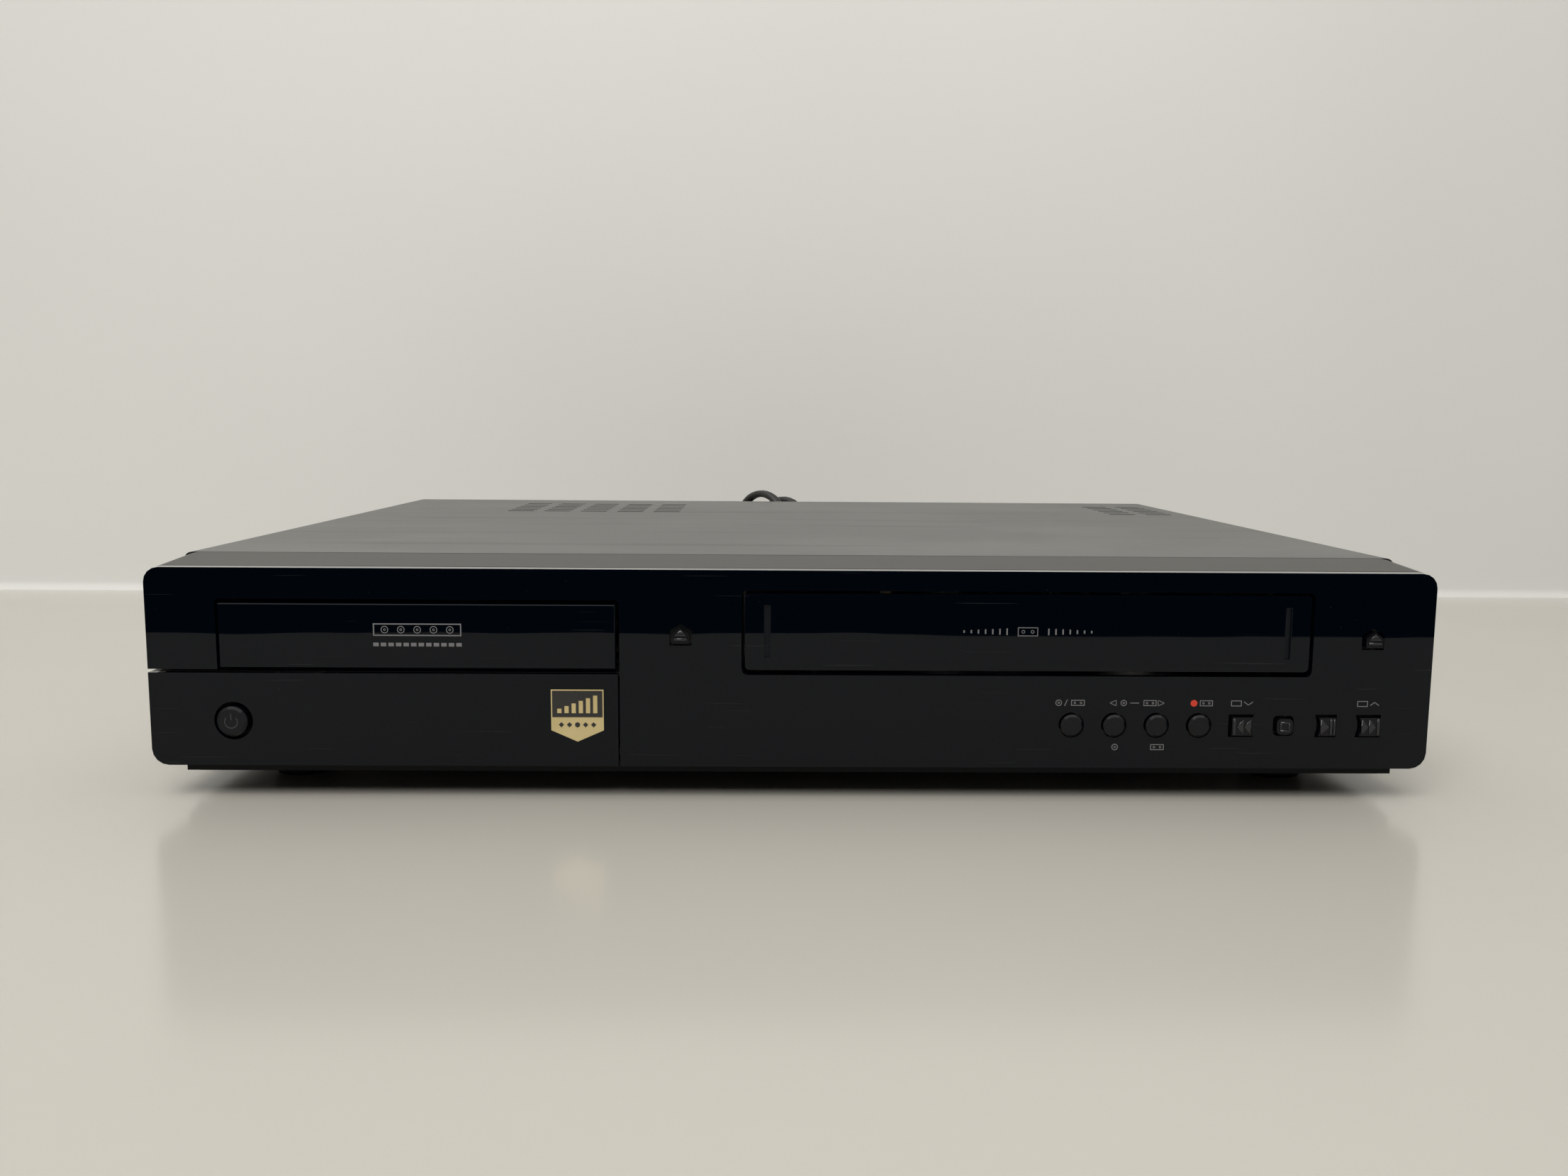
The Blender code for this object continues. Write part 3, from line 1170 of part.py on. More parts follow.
SCREW_WHEEL_WIDTH = 0.0025
NUT_X = (-0.102, -0.0965)
NUT_Y = (0.104, 0.110)


def pickup_deck():
    """The deck plate with its window and pins, the two rods and the spindle motor."""
    shape = add_box(bmesh.new(), DECK_X, DECK_Y, DECK_Z)
    deck = make_piece("traverse_deck", shape, BARE_STEEL, (TRAY_X, HINGE_Y, DECK_MID_Z))
    cut(deck, add_box(bmesh.new(), WINDOW_X, WINDOW_Y, span(DECK_MID_Z, 4 * OVERRUN)))
    pins = bmesh.new()
    for side, edge in ((-1, DECK_X[0]), (1, DECK_X[1])):
        start = (edge - side * HINGE_PIN, HINGE_Y, DECK_MID_Z)
        add_rod(pins, start, (edge + side * HINGE_PIN_LENGTH, HINGE_Y, DECK_MID_Z), HINGE_PIN, TINY_ROUND)
    fuse(deck, pins)
    rods = bmesh.new()
    for x in ROD_X:
        ends = [(x, y, DECK_MID_Z) for y in (WINDOW_Y[0] - ROD_RADIUS, WINDOW_Y[1] + ROD_RADIUS)]
        add_rod(rods, *ends, ROD_RADIUS, TINY_ROUND)
    fuse(deck, rods)
    table_top = TRAY_Z[1] - TURNTABLE_BELOW_TRAY_TOP
    table_low = table_top - TURNTABLE_THICKNESS
    can = [(TRAY_X, DISC_Y, z) for z in (DECK_MID_Z, table_low - GAP)]
    fuse(deck, add_rod(bmesh.new(), *can, SPINDLE_MOTOR_RADIUS, ROUND))
    profile = [
        (0, table_low),
        (TURNTABLE_RADIUS, table_low),
        (TURNTABLE_RADIUS, table_top),
        (CONE_RADII[0], table_top),
        (CONE_RADII[1], table_top + CONE_HEIGHT),
        (0, table_top + CONE_HEIGHT),
    ]
    shape = add_turned(bmesh.new(), profile, (TRAY_X, DISC_Y, 0), "Z", ROUND)
    make_piece("turntable", shape, PALE_PLASTIC, (TRAY_X, DISC_Y, table_low))


def laser_sled():
    """The pickup sled on its two rods, with the lens on top and a half nut over the screw."""
    sled = make_piece("laser_sled", add_box(bmesh.new(), SLED_X, SLED_Y, SLED_Z), BARE_STEEL)
    top = add_box(bmesh.new(), span(TRAY_X, OPTICS_WIDTH), OPTICS_Y, (SLED_Z[1] - SHEET, OPTICS_TOP))
    fuse(sled, top)
    nut_low = DECK_MID_Z + SCREW_RADIUS + GAP
    fuse(sled, add_box(bmesh.new(), NUT_X, NUT_Y, (nut_low, SLED_Z[1])))
    lens_ends = ((TRAY_X, LENS_Y, z) for z in (OPTICS_TOP - SHEET, LENS_TOP))
    lens = add_rod(bmesh.new(), *lens_ends, LENS_RADIUS, LENS_SIDES)
    fuse(sled, lens)
    bores = bmesh.new()
    for x in ROD_X:
        ends = [(x, y, DECK_MID_Z) for y in (SLED_Y[0] - OVERRUN, SLED_Y[1] + OVERRUN)]
        add_rod(bores, *ends, ROD_RADIUS + GAP, TINY_ROUND)
    cut(sled, bores)
    start = WINDOW_Y[0] + GAP
    end = WINDOW_Y[1] - GAP
    ends = ((SCREW_X, y, DECK_MID_Z) for y in (start, end))
    shape = add_rod(bmesh.new(), *ends, SCREW_RADIUS, TINY_ROUND)
    screw = make_piece("lead_screw", shape, POLISHED, (SCREW_X, start, DECK_MID_Z))
    wheel = [(SCREW_X, y, DECK_MID_Z) for y in (end - 2 * SCREW_WHEEL_WIDTH, end - SCREW_WHEEL_WIDTH)]
    fuse(screw, add_rod(bmesh.new(), *wheel, SCREW_WHEEL, SMALL_ROUND))


# Cassette mechanism: deck plate on posts, drum, capstan, reels and tape guides
TAPE_DECK_WIDTH = 0.197
TAPE_DECK_Y = (0.040, 0.266)
TAPE_DECK_Z = (0.0180, 0.0200)
DRUM_OFFSET = (0.0, 0.228)
DRUM_RADIUS = 0.031
DRUM_TILT = math.radians(6)
DRUM_FOOT_RADIUS = 0.025
DRUM_FOOT_TOP = 0.0260
LOWER_DRUM = (0.0240, 0.0385)
UPPER_DRUM = (0.0390, 0.0550)
DRUM_CAP_RADIUS = 0.011
DRUM_CAP_TOP = 0.0600
DRUM_SIDES = 32
CAPSTAN = (0.052, 0.196)
CAPSTAN_RADIUS = 0.002
CAPSTAN_TOP = 0.0460
FLYWHEEL_RADIUS = 0.022
FLYWHEEL_Z = (0.0100, 0.0155)
BEARING_RADIUS = 0.005
BEARING_TOP = 0.0280
PINCH_PIVOT = (0.072, 0.226)
PINCH_ARM_LENGTH = 0.030
PINCH_REST_ANGLE = -80
PINCH_ARM_Z = (0.0280, 0.0305)
PINCH_POST = 0.002
PINCH_BOSS = 0.0045
PINCH_ARM_WIDTH = 0.007
PINCH_ROLLER_RADIUS = 0.0075
PINCH_ROLLER_Z = (0.0312, 0.0470)
PINCH_AXLE = 0.0015
PINCH_AXLE_TOP = 0.0485
REEL_SPACING = 0.0925
REEL_Y = 0.146
REEL_FLANGE_RADIUS = 0.018
REEL_FLANGE_Z = (0.0206, 0.0232)
REEL_SEAT_RADIUS = 0.013
REEL_SEAT_TOP = 0.0250
REEL_HUB_RADIUS = 0.0080
REEL_HUB_TOP = 0.0380
REEL_TIP_RADIUS = 0.005
REEL_TIP_TOP = 0.0410
REEL_BORE = 0.0022
REEL_POST = 0.0018
REEL_FINS = 3
REEL_FIN_WIDTH = 0.002
REEL_FIN_REACH = 0.0105
GUIDE_START = (0.030, 0.182)
GUIDE_END = (0.046, 0.244)
GUIDE_SLOT = 0.0066
GUIDE_SHANK = 0.0028
GUIDE_BASE = 0.0058
GUIDE_BASE_THICKNESS = 0.0025
GUIDE_POST = 0.0025
GUIDE_TOP = 0.0470
GUIDE_FLANGE = 0.0038
GUIDE_FLANGE_THICKNESS = 0.0012
CAM = (-0.068, 0.246)
CAM_RADIUS = 0.013
CAM_TEETH = 16
CAM_TOOTH_HEIGHT = 0.0018
CAM_THICKNESS = 0.0040
CAM_POST = 0.0018
CAM_GROOVE_RADIUS = 0.008
CAM_GROOVE_WIDTH = 0.002
WORM_X = -0.0865
WORM_RADIUS = 0.0038
WORM_Z = 0.0245
LOADING_MOTOR_Y = (0.196, 0.218)
LOADING_MOTOR_RADIUS = 0.0075
WORM_END_Y = 0.256
ERASE_HEAD = (-0.058, 0.200)
SOUND_HEAD = (0.054, 0.212)
HEAD_SIZE = (0.010, 0.007)
HEAD_TOP = 0.0450
DECK_POST_INSET = 0.012


def at_deck(place):
    """A place on the tape deck, measured from the middle of the cassette."""
    return (DOOR_X + place[0], place[1])


def deck_point(place, z):
    """The same place as a point at a height."""
    x, y = at_deck(place)
    return (x, y, z)


def tilted(point):
    """A point of the leaning drum, turned about the middle of its foot."""
    x, y = at_deck(DRUM_OFFSET)
    pivot = Vector((x, y, LOWER_DRUM[0]))
    lean = Matrix.Rotation(DRUM_TILT, 3, "X")
    return pivot + lean @ (Vector(point) - pivot)


def pinch_place(angle):
    """Centre of the pinch roller with its arm at an angle in degrees."""
    turn = math.radians(angle)
    return (
        PINCH_PIVOT[0] + PINCH_ARM_LENGTH * math.cos(turn),
        PINCH_PIVOT[1] + PINCH_ARM_LENGTH * math.sin(turn),
    )


def vcr_deck():
    """The tape deck plate with bearings, posts and the slots that the tape guides run in."""
    wide = span(DOOR_X, TAPE_DECK_WIDTH)
    deck = make_piece("vcr_deck", add_box(bmesh.new(), wide, TAPE_DECK_Y, TAPE_DECK_Z), BARE_STEEL)
    middle = (TAPE_DECK_Z[0] + TAPE_DECK_Z[1]) / 2
    posts = bmesh.new()
    add_rod(posts, deck_point(CAPSTAN, middle), deck_point(CAPSTAN, BEARING_TOP), BEARING_RADIUS)
    cam_top = TAPE_DECK_Z[1] + CAM_THICKNESS
    for centre, top, radius in ((PINCH_PIVOT, PINCH_ARM_Z[1], PINCH_POST), (CAM, cam_top, CAM_POST)):
        add_rod(posts, deck_point(centre, middle), deck_point(centre, top), radius, TINY_ROUND)
    for side in (-1, 1):
        reel = (side * REEL_SPACING / 2, REEL_Y)
        add_rod(posts, deck_point(reel, middle), deck_point(reel, REEL_HUB_TOP), REEL_POST, TINY_ROUND)
    fuse(deck, posts)
    holes = bmesh.new()
    below = TAPE_DECK_Z[0] - OVERRUN
    above = TAPE_DECK_Z[1] + OVERRUN
    bearing_ends = (deck_point(CAPSTAN, below), deck_point(CAPSTAN, BEARING_TOP + OVERRUN))
    add_rod(holes, *bearing_ends, CAPSTAN_RADIUS + GAP, TINY_ROUND)
    for side in (-1, 1):
        start = at_deck((side * GUIDE_START[0], GUIDE_START[1]))
        end = at_deck((side * GUIDE_END[0], GUIDE_END[1]))
        add_plate(holes, capsule(start, end, GUIDE_SLOT / 2, 4), "Z", below, above)
    return cut(deck, holes)


def drum():
    """The fixed lower drum on its foot, and the turning upper drum, both leaning back."""
    foot = TAPE_DECK_Z[1] + GAP
    start, end = (deck_point(DRUM_OFFSET, level) for level in (foot, DRUM_FOOT_TOP))
    shape = add_rod(bmesh.new(), start, end, DRUM_FOOT_RADIUS, ROUND)
    base = make_piece("drum_base", shape, BARE_STEEL)
    low, high = (tilted(deck_point(DRUM_OFFSET, z)) for z in LOWER_DRUM)
    fuse(base, add_rod(bmesh.new(), low, high, DRUM_RADIUS, DRUM_SIDES))
    low, high = (tilted(deck_point(DRUM_OFFSET, z)) for z in UPPER_DRUM)
    upper = make_piece("head_drum", add_rod(bmesh.new(), low, high, DRUM_RADIUS, DRUM_SIDES), POLISHED, low)
    middle = (low + high) / 2
    cap = tilted(deck_point(DRUM_OFFSET, DRUM_CAP_TOP))
    fuse(upper, add_rod(bmesh.new(), middle, cap, DRUM_CAP_RADIUS, ROUND))
    notches = bmesh.new()
    for side in (-1, 1):
        x, y, z = deck_point(DRUM_OFFSET, LOWER_DRUM[0])
        radius = DRUM_RADIUS - DRUM_CAP_RADIUS / 4
        levels = span(UPPER_DRUM[0], 2 * OVERRUN)
        ends = [tilted((x + side * radius, y, level)) for level in levels]
        add_rod(notches, *ends, DRUM_CAP_RADIUS / 3, TINY_ROUND)
    cut(upper, notches)


def capstan():
    """The capstan shaft with its flywheel under the deck."""
    shape = add_rod(bmesh.new(), *[deck_point(CAPSTAN, z) for z in FLYWHEEL_Z], FLYWHEEL_RADIUS, ROUND)
    piece = make_piece("capstan", shape, POLISHED, deck_point(CAPSTAN, FLYWHEEL_Z[0]))
    middle = (FLYWHEEL_Z[0] + FLYWHEEL_Z[1]) / 2
    start, end = (deck_point(CAPSTAN, level) for level in (middle, CAPSTAN_TOP))
    fuse(piece, add_rod(bmesh.new(), start, end, CAPSTAN_RADIUS, TINY_ROUND))


def pinch():
    """The pinch arm on its post, and the rubber roller on the arm's axle."""
    roller = pinch_place(PINCH_REST_ANGLE)
    start = at_deck(PINCH_PIVOT)
    end = at_deck(roller)
    shape = add_plate(bmesh.new(), capsule(start, end, PINCH_ARM_WIDTH / 2, 5), "Z", *PINCH_ARM_Z)
    arm = make_piece("pinch_arm", shape, BARE_STEEL, deck_point(PINCH_PIVOT, PINCH_ARM_Z[0]))
    boss_low = TAPE_DECK_Z[1] + GAP
    boss = add_rod(bmesh.new(), (*start, boss_low), (*start, PINCH_ARM_Z[1] + SHEET), PINCH_BOSS)
    fuse(arm, boss)
    middle = (PINCH_ARM_Z[0] + PINCH_ARM_Z[1]) / 2
    fuse(arm, add_rod(bmesh.new(), (*end, middle), (*end, PINCH_AXLE_TOP), PINCH_AXLE, TINY_ROUND))
    bore_ends = ((*start, level) for level in (boss_low - OVERRUN, PINCH_ARM_Z[1] + GAP))
    bore = add_rod(bmesh.new(), *bore_ends, PINCH_POST + GAP, TINY_ROUND)
    cut(arm, bore)
    shape = add_rod(bmesh.new(), *[(*end, z) for z in PINCH_ROLLER_Z], PINCH_ROLLER_RADIUS, ROUND)
    piece = make_piece("pinch_roller", shape, RUBBER, (*end, PINCH_ROLLER_Z[0]))
    ends = [(*end, z) for z in (PINCH_ROLLER_Z[0] - OVERRUN, PINCH_ROLLER_Z[1] + OVERRUN)]
    cut(piece, add_rod(bmesh.new(), *ends, PINCH_AXLE + GAP, TINY_ROUND))


def reels():
    """Two reel tables with finned hubs."""
    profile = [
        (REEL_BORE, REEL_FLANGE_Z[0]),
        (REEL_FLANGE_RADIUS, REEL_FLANGE_Z[0]),
        (REEL_FLANGE_RADIUS, REEL_FLANGE_Z[1]),
        (REEL_SEAT_RADIUS, REEL_FLANGE_Z[1]),
        (REEL_SEAT_RADIUS, REEL_SEAT_TOP),
        (REEL_HUB_RADIUS, REEL_SEAT_TOP),
        (REEL_HUB_RADIUS, REEL_HUB_TOP),
        (REEL_TIP_RADIUS, REEL_TIP_TOP),
        (0, REEL_TIP_TOP),
        (0, REEL_HUB_TOP + GAP),
        (REEL_BORE, REEL_HUB_TOP + GAP),
    ]
    for side, name in ((-1, "supply_reel"), (1, "takeup_reel")):
        x, y = at_deck((side * REEL_SPACING / 2, REEL_Y))
        shape = add_turned(bmesh.new(), profile, (x, y, 0), "Z", SMALL_ROUND, closed=True)
        reel = make_piece(name, shape, PALE_PLASTIC, (x, y, REEL_FLANGE_Z[0]))
        fins = bmesh.new()
        for number in range(REEL_FINS):
            turn = Matrix.Rotation(2 * math.pi * number / REEL_FINS, 4, "Z")
            fin = add_box(
                bmesh.new(),
                (REEL_HUB_RADIUS / 2 + REEL_BORE / 2, REEL_FIN_REACH),
                span(0, REEL_FIN_WIDTH),
                (REEL_SEAT_TOP - SHEET, REEL_HUB_TOP - SHEET),
            )
            fin.transform(Matrix.Translation((x, y, 0)) @ turn)
            held = bpy.data.meshes.new("fin")
            fin.to_mesh(held)
            fins.from_mesh(held)
            fin.free()
            bpy.data.meshes.remove(held)
        fuse(reel, fins)


def tape_guides():
    """The two sliding tape guides, each with a shank in its slot and a flanged post."""
    for side, name in ((-1, "supply_guide"), (1, "takeup_guide")):
        x, y = at_deck((side * GUIDE_START[0], GUIDE_START[1]))
        base_low = TAPE_DECK_Z[1] + GAP
        base_top = base_low + GUIDE_BASE_THICKNESS
        profile = [
            (0, TAPE_DECK_Z[0] - SHEET),
            (GUIDE_SHANK, TAPE_DECK_Z[0] - SHEET),
            (GUIDE_SHANK, base_low),
            (GUIDE_BASE, base_low),
            (GUIDE_BASE, base_top),
            (GUIDE_POST, base_top),
            (GUIDE_POST, GUIDE_TOP - GUIDE_FLANGE_THICKNESS),
            (GUIDE_FLANGE, GUIDE_TOP - GUIDE_FLANGE_THICKNESS),
            (GUIDE_FLANGE, GUIDE_TOP),
            (0, GUIDE_TOP),
        ]
        shape = add_turned(bmesh.new(), profile, (x, y, 0), "Z", SMALL_ROUND)
        make_piece(name, shape, POLISHED, (x, y, base_low))


def loading_drive():
    """The mode cam with its groove, the loading motor with its worm, and the two fixed heads."""
    low = TAPE_DECK_Z[1] + GAP
    centre = at_deck(CAM)
    outline = gear_outline(centre, CAM_RADIUS, CAM_TEETH, CAM_TOOTH_HEIGHT)
    shape = add_plate(bmesh.new(), outline, "Z", low, low + CAM_THICKNESS)
    cam = make_piece("mode_cam", shape, PALE_PLASTIC, (*centre, low))
    bore = [(*centre, z) for z in (low - OVERRUN, low + CAM_THICKNESS + OVERRUN)]
    cut(cam, add_rod(bmesh.new(), *bore, CAM_POST + GAP, TINY_ROUND))
    half = CAM_GROOVE_WIDTH / 2
    groove_floor = low + CAM_THICKNESS / 2
    groove = [
        (CAM_GROOVE_RADIUS - half, groove_floor),
        (CAM_GROOVE_RADIUS + half, groove_floor),
        (CAM_GROOVE_RADIUS + half, low + CAM_THICKNESS + OVERRUN),
        (CAM_GROOVE_RADIUS - half, low + CAM_THICKNESS + OVERRUN),
    ]
    cut(cam, add_turned(bmesh.new(), groove, (*centre, 0), "Z", SMALL_ROUND, closed=True))
    x = DOOR_X + WORM_X
    can_z = low + LOADING_MOTOR_RADIUS
    can = add_rod(bmesh.new(), *[(x, y, can_z) for y in LOADING_MOTOR_Y], LOADING_MOTOR_RADIUS, SMALL_ROUND)
    motor = make_piece("loading_motor", can, BARE_STEEL)
    worm = [(x, y, WORM_Z) for y in (LOADING_MOTOR_Y[1] - SHEET, WORM_END_Y)]
    fuse(motor, add_rod(bmesh.new(), *worm, WORM_RADIUS, TINY_ROUND))
    for name, place in (("erase_head", ERASE_HEAD), ("sound_head", SOUND_HEAD)):
        x, y = at_deck(place)
        head = add_box(bmesh.new(), span(x, HEAD_SIZE[0]), span(y, HEAD_SIZE[1]), (low, HEAD_TOP))
        make_piece(name, head, POLISHED)


# Cassette carriage: fixed side plates, a slider that goes in, and a holder that goes down in it
CASSETTE_CLEAR_WIDTH = 0.189
HOLDER_WALL = 0.0008
HOLDER_Z = (0.0443, 0.0700)
HOLDER_Y = (0.036, 0.136)
LEDGE = 0.014
PIN_Y = (0.080, 0.110)
PIN_Z = 0.057
PIN_RADIUS = 0.0016
PIN_SLOT = 0.0038
PIN_BEYOND = 0.0012
CARRIAGE_IN = 0.055
CARRIAGE_DROP = 0.018
SLIDER_GAP = 0.0003
SLIDER_Y = (0.066, 0.124)
SLIDER_Z = (0.0360, 0.0740)
SLIDER_BAR_Y = (0.084, 0.100)
SIDE_GAP = 0.0004
SIDE_SHEET = 0.001
SIDE_Y = (0.040, 0.190)
SIDE_TOP = 0.0700
TIE_BAR_Y = (0.178, 0.190)
TIE_BAR_Z = 0.0746

HOLDER_HALF = CASSETTE_CLEAR_WIDTH / 2 + HOLDER_WALL
SLIDER_HALF = HOLDER_HALF + SLIDER_GAP
SIDE_HALF = SLIDER_HALF + HOLDER_WALL + SIDE_GAP


def cassette_holder():
    """The holder: a channel that is open at both ends and along the middle of its floor."""
    inner = CASSETTE_CLEAR_WIDTH / 2
    low = HOLDER_Z[0] - HOLDER_WALL
    right = [
        (HOLDER_HALF - LEDGE, low),
        (HOLDER_HALF, low),
        (HOLDER_HALF, HOLDER_Z[1] + HOLDER_WALL),
    ]
    right_inner = [(inner, HOLDER_Z[1]), (inner, HOLDER_Z[0]), (HOLDER_HALF - LEDGE, HOLDER_Z[0])]
    ring = right + [(-x, z) for x, z in right[::-1]]
    ring += [(-x, z) for x, z in right_inner[::-1]] + right_inner
    outline = [(DOOR_X + x, z) for x, z in ring]
    shape = add_plate(bmesh.new(), outline, "Y", *HOLDER_Y)
    holder = make_piece("cassette_holder", shape, BARE_STEEL)
    pins = bmesh.new()
    for side in (-1, 1):
        for y in PIN_Y:
            start = (DOOR_X + side * (HOLDER_HALF - HOLDER_WALL / 2), y, PIN_Z)
            end = (DOOR_X + side * (SIDE_HALF + SIDE_SHEET + PIN_BEYOND), y, PIN_Z)
            add_rod(pins, start, end, PIN_RADIUS, TINY_ROUND)
    return fuse(holder, pins)


def holder_slider():
    """Two slider plates with upright slots, joined by a bar over the holder."""
    shape = bmesh.new()
    outer = SLIDER_HALF + HOLDER_WALL
    for side in (-1, 1):
        add_box(shape, (DOOR_X + side * SLIDER_HALF, DOOR_X + side * outer), SLIDER_Y, SLIDER_Z)
    slider = make_piece("holder_slider", shape, BARE_STEEL)
    bar_z = (SLIDER_Z[1] - 2 * HOLDER_WALL, SLIDER_Z[1])
    middle = SLIDER_HALF + HOLDER_WALL / 2
    fuse(slider, add_box(bmesh.new(), (DOOR_X - middle, DOOR_X + middle), SLIDER_BAR_Y, bar_z))
    slots = bmesh.new()
    slot_z = (PIN_Z - CARRIAGE_DROP - PIN_SLOT / 2, PIN_Z + PIN_SLOT / 2)
    for y in PIN_Y:
        add_box(slots, (DOOR_X - outer - OVERRUN, DOOR_X + outer + OVERRUN), span(y, PIN_SLOT), slot_z)
    return cut(slider, slots)


def side_frames():
    """Two fixed plates, tied by a bar over their rear, whose sloping slots lead the pins in and down."""
    outer = SIDE_HALF + SIDE_SHEET
    bar_z = (TIE_BAR_Z, TIE_BAR_Z + SIDE_SHEET)
    bar = add_box(bmesh.new(), span(DOOR_X, 2 * outer), TIE_BAR_Y, bar_z)
    frames = make_piece("side_frames", bar, BARE_STEEL)
    plates = bmesh.new()
    outline = [
        (SIDE_Y[0], TAPE_DECK_Z[1] + GAP),
        (SIDE_Y[1], TAPE_DECK_Z[1] + GAP),
        (SIDE_Y[1], TIE_BAR_Z + SIDE_SHEET / 2),
        (TIE_BAR_Y[0], TIE_BAR_Z + SIDE_SHEET / 2),
        (TIE_BAR_Y[0], SIDE_TOP),
        (SIDE_Y[0], SIDE_TOP),
    ]
    for side in (-1, 1):
        near, far = sorted((DOOR_X + side * SIDE_HALF, DOOR_X + side * outer))
        add_plate(plates, outline, "X", near, far)
    fuse(frames, plates)
    slots = bmesh.new()
    across = (DOOR_X - outer - OVERRUN, DOOR_X + outer + OVERRUN)
    for y in PIN_Y:
        start = (y, PIN_Z)
        end = (y + CARRIAGE_IN, PIN_Z - CARRIAGE_DROP)
        add_plate(slots, capsule(start, end, PIN_SLOT / 2, 4), "X", *across)
    return cut(frames, slots)


# Electronics: supply board, main board, rear sockets and fan
POWER_BOARD_X = (-0.204, -0.062)
POWER_BOARD_Y = (0.214, 0.332)
BOARD_Z = 0.0140
MAIN_BOARD_X = (-0.048, 0.208)
MAIN_BOARD_Y = (0.272, 0.338)
TRANSFORMER = ((-0.150, 0.262), (0.036, 0.032), 0.030)
HEAT_SINKS = (((-0.190, 0.250), (0.004, 0.050), 0.034), ((-0.100, 0.262), (0.004, 0.044), 0.030))
CAPACITORS = (
    ((-0.176, 0.300), 0.0110, 0.032),
    ((-0.124, 0.300), 0.0065, 0.022),
    ((-0.106, 0.306), 0.0050, 0.018),
)
CONNECTOR_BLOCKS = (((-0.076, 0.300), (0.010, 0.024), 0.012), ((-0.080, 0.238), (0.012, 0.020), 0.010))
CHIPS = (
    ((0.010, 0.300), (0.030, 0.030), 0.0026),
    ((0.060, 0.292), (0.020, 0.020), 0.0022),
    ((0.104, 0.290), (0.024, 0.014), 0.0022),
)
TUNER_BOX = ((0.184, 0.3100), (0.034, 0.036), 0.044)
STANDOFF_INSET = 0.008


def stand_blocks(shape, blocks, top):
    """Blocks of ((x, y), (width, depth), height), standing on a board."""
    for (x, y), (width, depth), height in blocks:
        add_box(shape, span(x, width), span(y, depth), (top - BOARD_THICKNESS / 2, top + height))
    return shape


def boards():
    """The supply board and the main board with what stands on them."""
    top = BOARD_Z + BOARD_THICKNESS
    plate = add_box(bmesh.new(), POWER_BOARD_X, POWER_BOARD_Y, (BOARD_Z, top))
    board = make_piece("power_board", plate, BROWN_BOARD)
    parts = stand_blocks(bmesh.new(), (TRANSFORMER, *HEAT_SINKS, *CONNECTOR_BLOCKS), top)
    for (x, y), radius, height in CAPACITORS:
        add_rod(parts, (x, y, top - BOARD_THICKNESS / 2), (x, y, top + height), radius, TINY_ROUND)
    fuse(board, parts)
    plate = add_box(bmesh.new(), MAIN_BOARD_X, MAIN_BOARD_Y, (BOARD_Z, top))
    board = make_piece("main_board", plate, GREEN_BOARD)
    fuse(board, stand_blocks(bmesh.new(), (*CHIPS, TUNER_BOX), top))


def board_standoffs():
    """Posts of the pan, as (x, y, top), under both boards and the tape deck."""
    places = []
    for x_pair, y_pair in ((POWER_BOARD_X, POWER_BOARD_Y), (MAIN_BOARD_X, MAIN_BOARD_Y)):
        for x in (x_pair[0] + STANDOFF_INSET, x_pair[1] - STANDOFF_INSET):
            for y in (y_pair[0] + STANDOFF_INSET, y_pair[1] - STANDOFF_INSET):
                places.append((x, y, BOARD_Z - GAP))
    half = TAPE_DECK_WIDTH / 2 - DECK_POST_INSET
    for x in (DOOR_X - half, DOOR_X + half):
        for y in (TAPE_DECK_Y[0] + DECK_POST_INSET, TAPE_DECK_Y[1] - DECK_POST_INSET):
            places.append((x, y, TAPE_DECK_Z[0] - GAP))
    return places


# Rear sockets: columns of phono sockets, two aerial sockets, and three digital ones
PHONO_COLUMNS = (0.146, 0.128, 0.110)
PHONO_ROWS = (0.026, 0.040, 0.054)
REAR_BODY_DEPTH = 0.012
REAR_NOSE = 0.008
AERIAL_PLACES = ((0.186, 0.0300), (0.186, 0.0500))
AERIAL_RADIUS = 0.0047
AERIAL_BORE = 0.0028
ROUND_VIDEO = (0.090, 0.054)
WIDE_SOCKET = (0.070, 0.030)
WIDE_SOCKET_SIZE = (0.0152, 0.0060)
SQUARE_SOCKET = (0.090, 0.032)
SQUARE_SOCKET_SIZE = (0.0098, 0.0098)
SOCKET_WALL = 0.0006
SOCKET_BOARD_X = (0.060, 0.194)
SOCKET_BOARD_Z = (0.0190, 0.0620)
DIGITAL_DEPTH = 0.006
DIGITAL_PROUD = 0.0006


def rear_round_places():
    """All round rear openings, as (x, z, radius)."""
    places = [(x, z, PHONO_OUTER) for x in PHONO_COLUMNS for z in PHONO_ROWS]
    places += [(x, z, AERIAL_RADIUS) for x, z in AERIAL_PLACES]
    places.append((*ROUND_VIDEO, DIN_RADIUS))
    return places


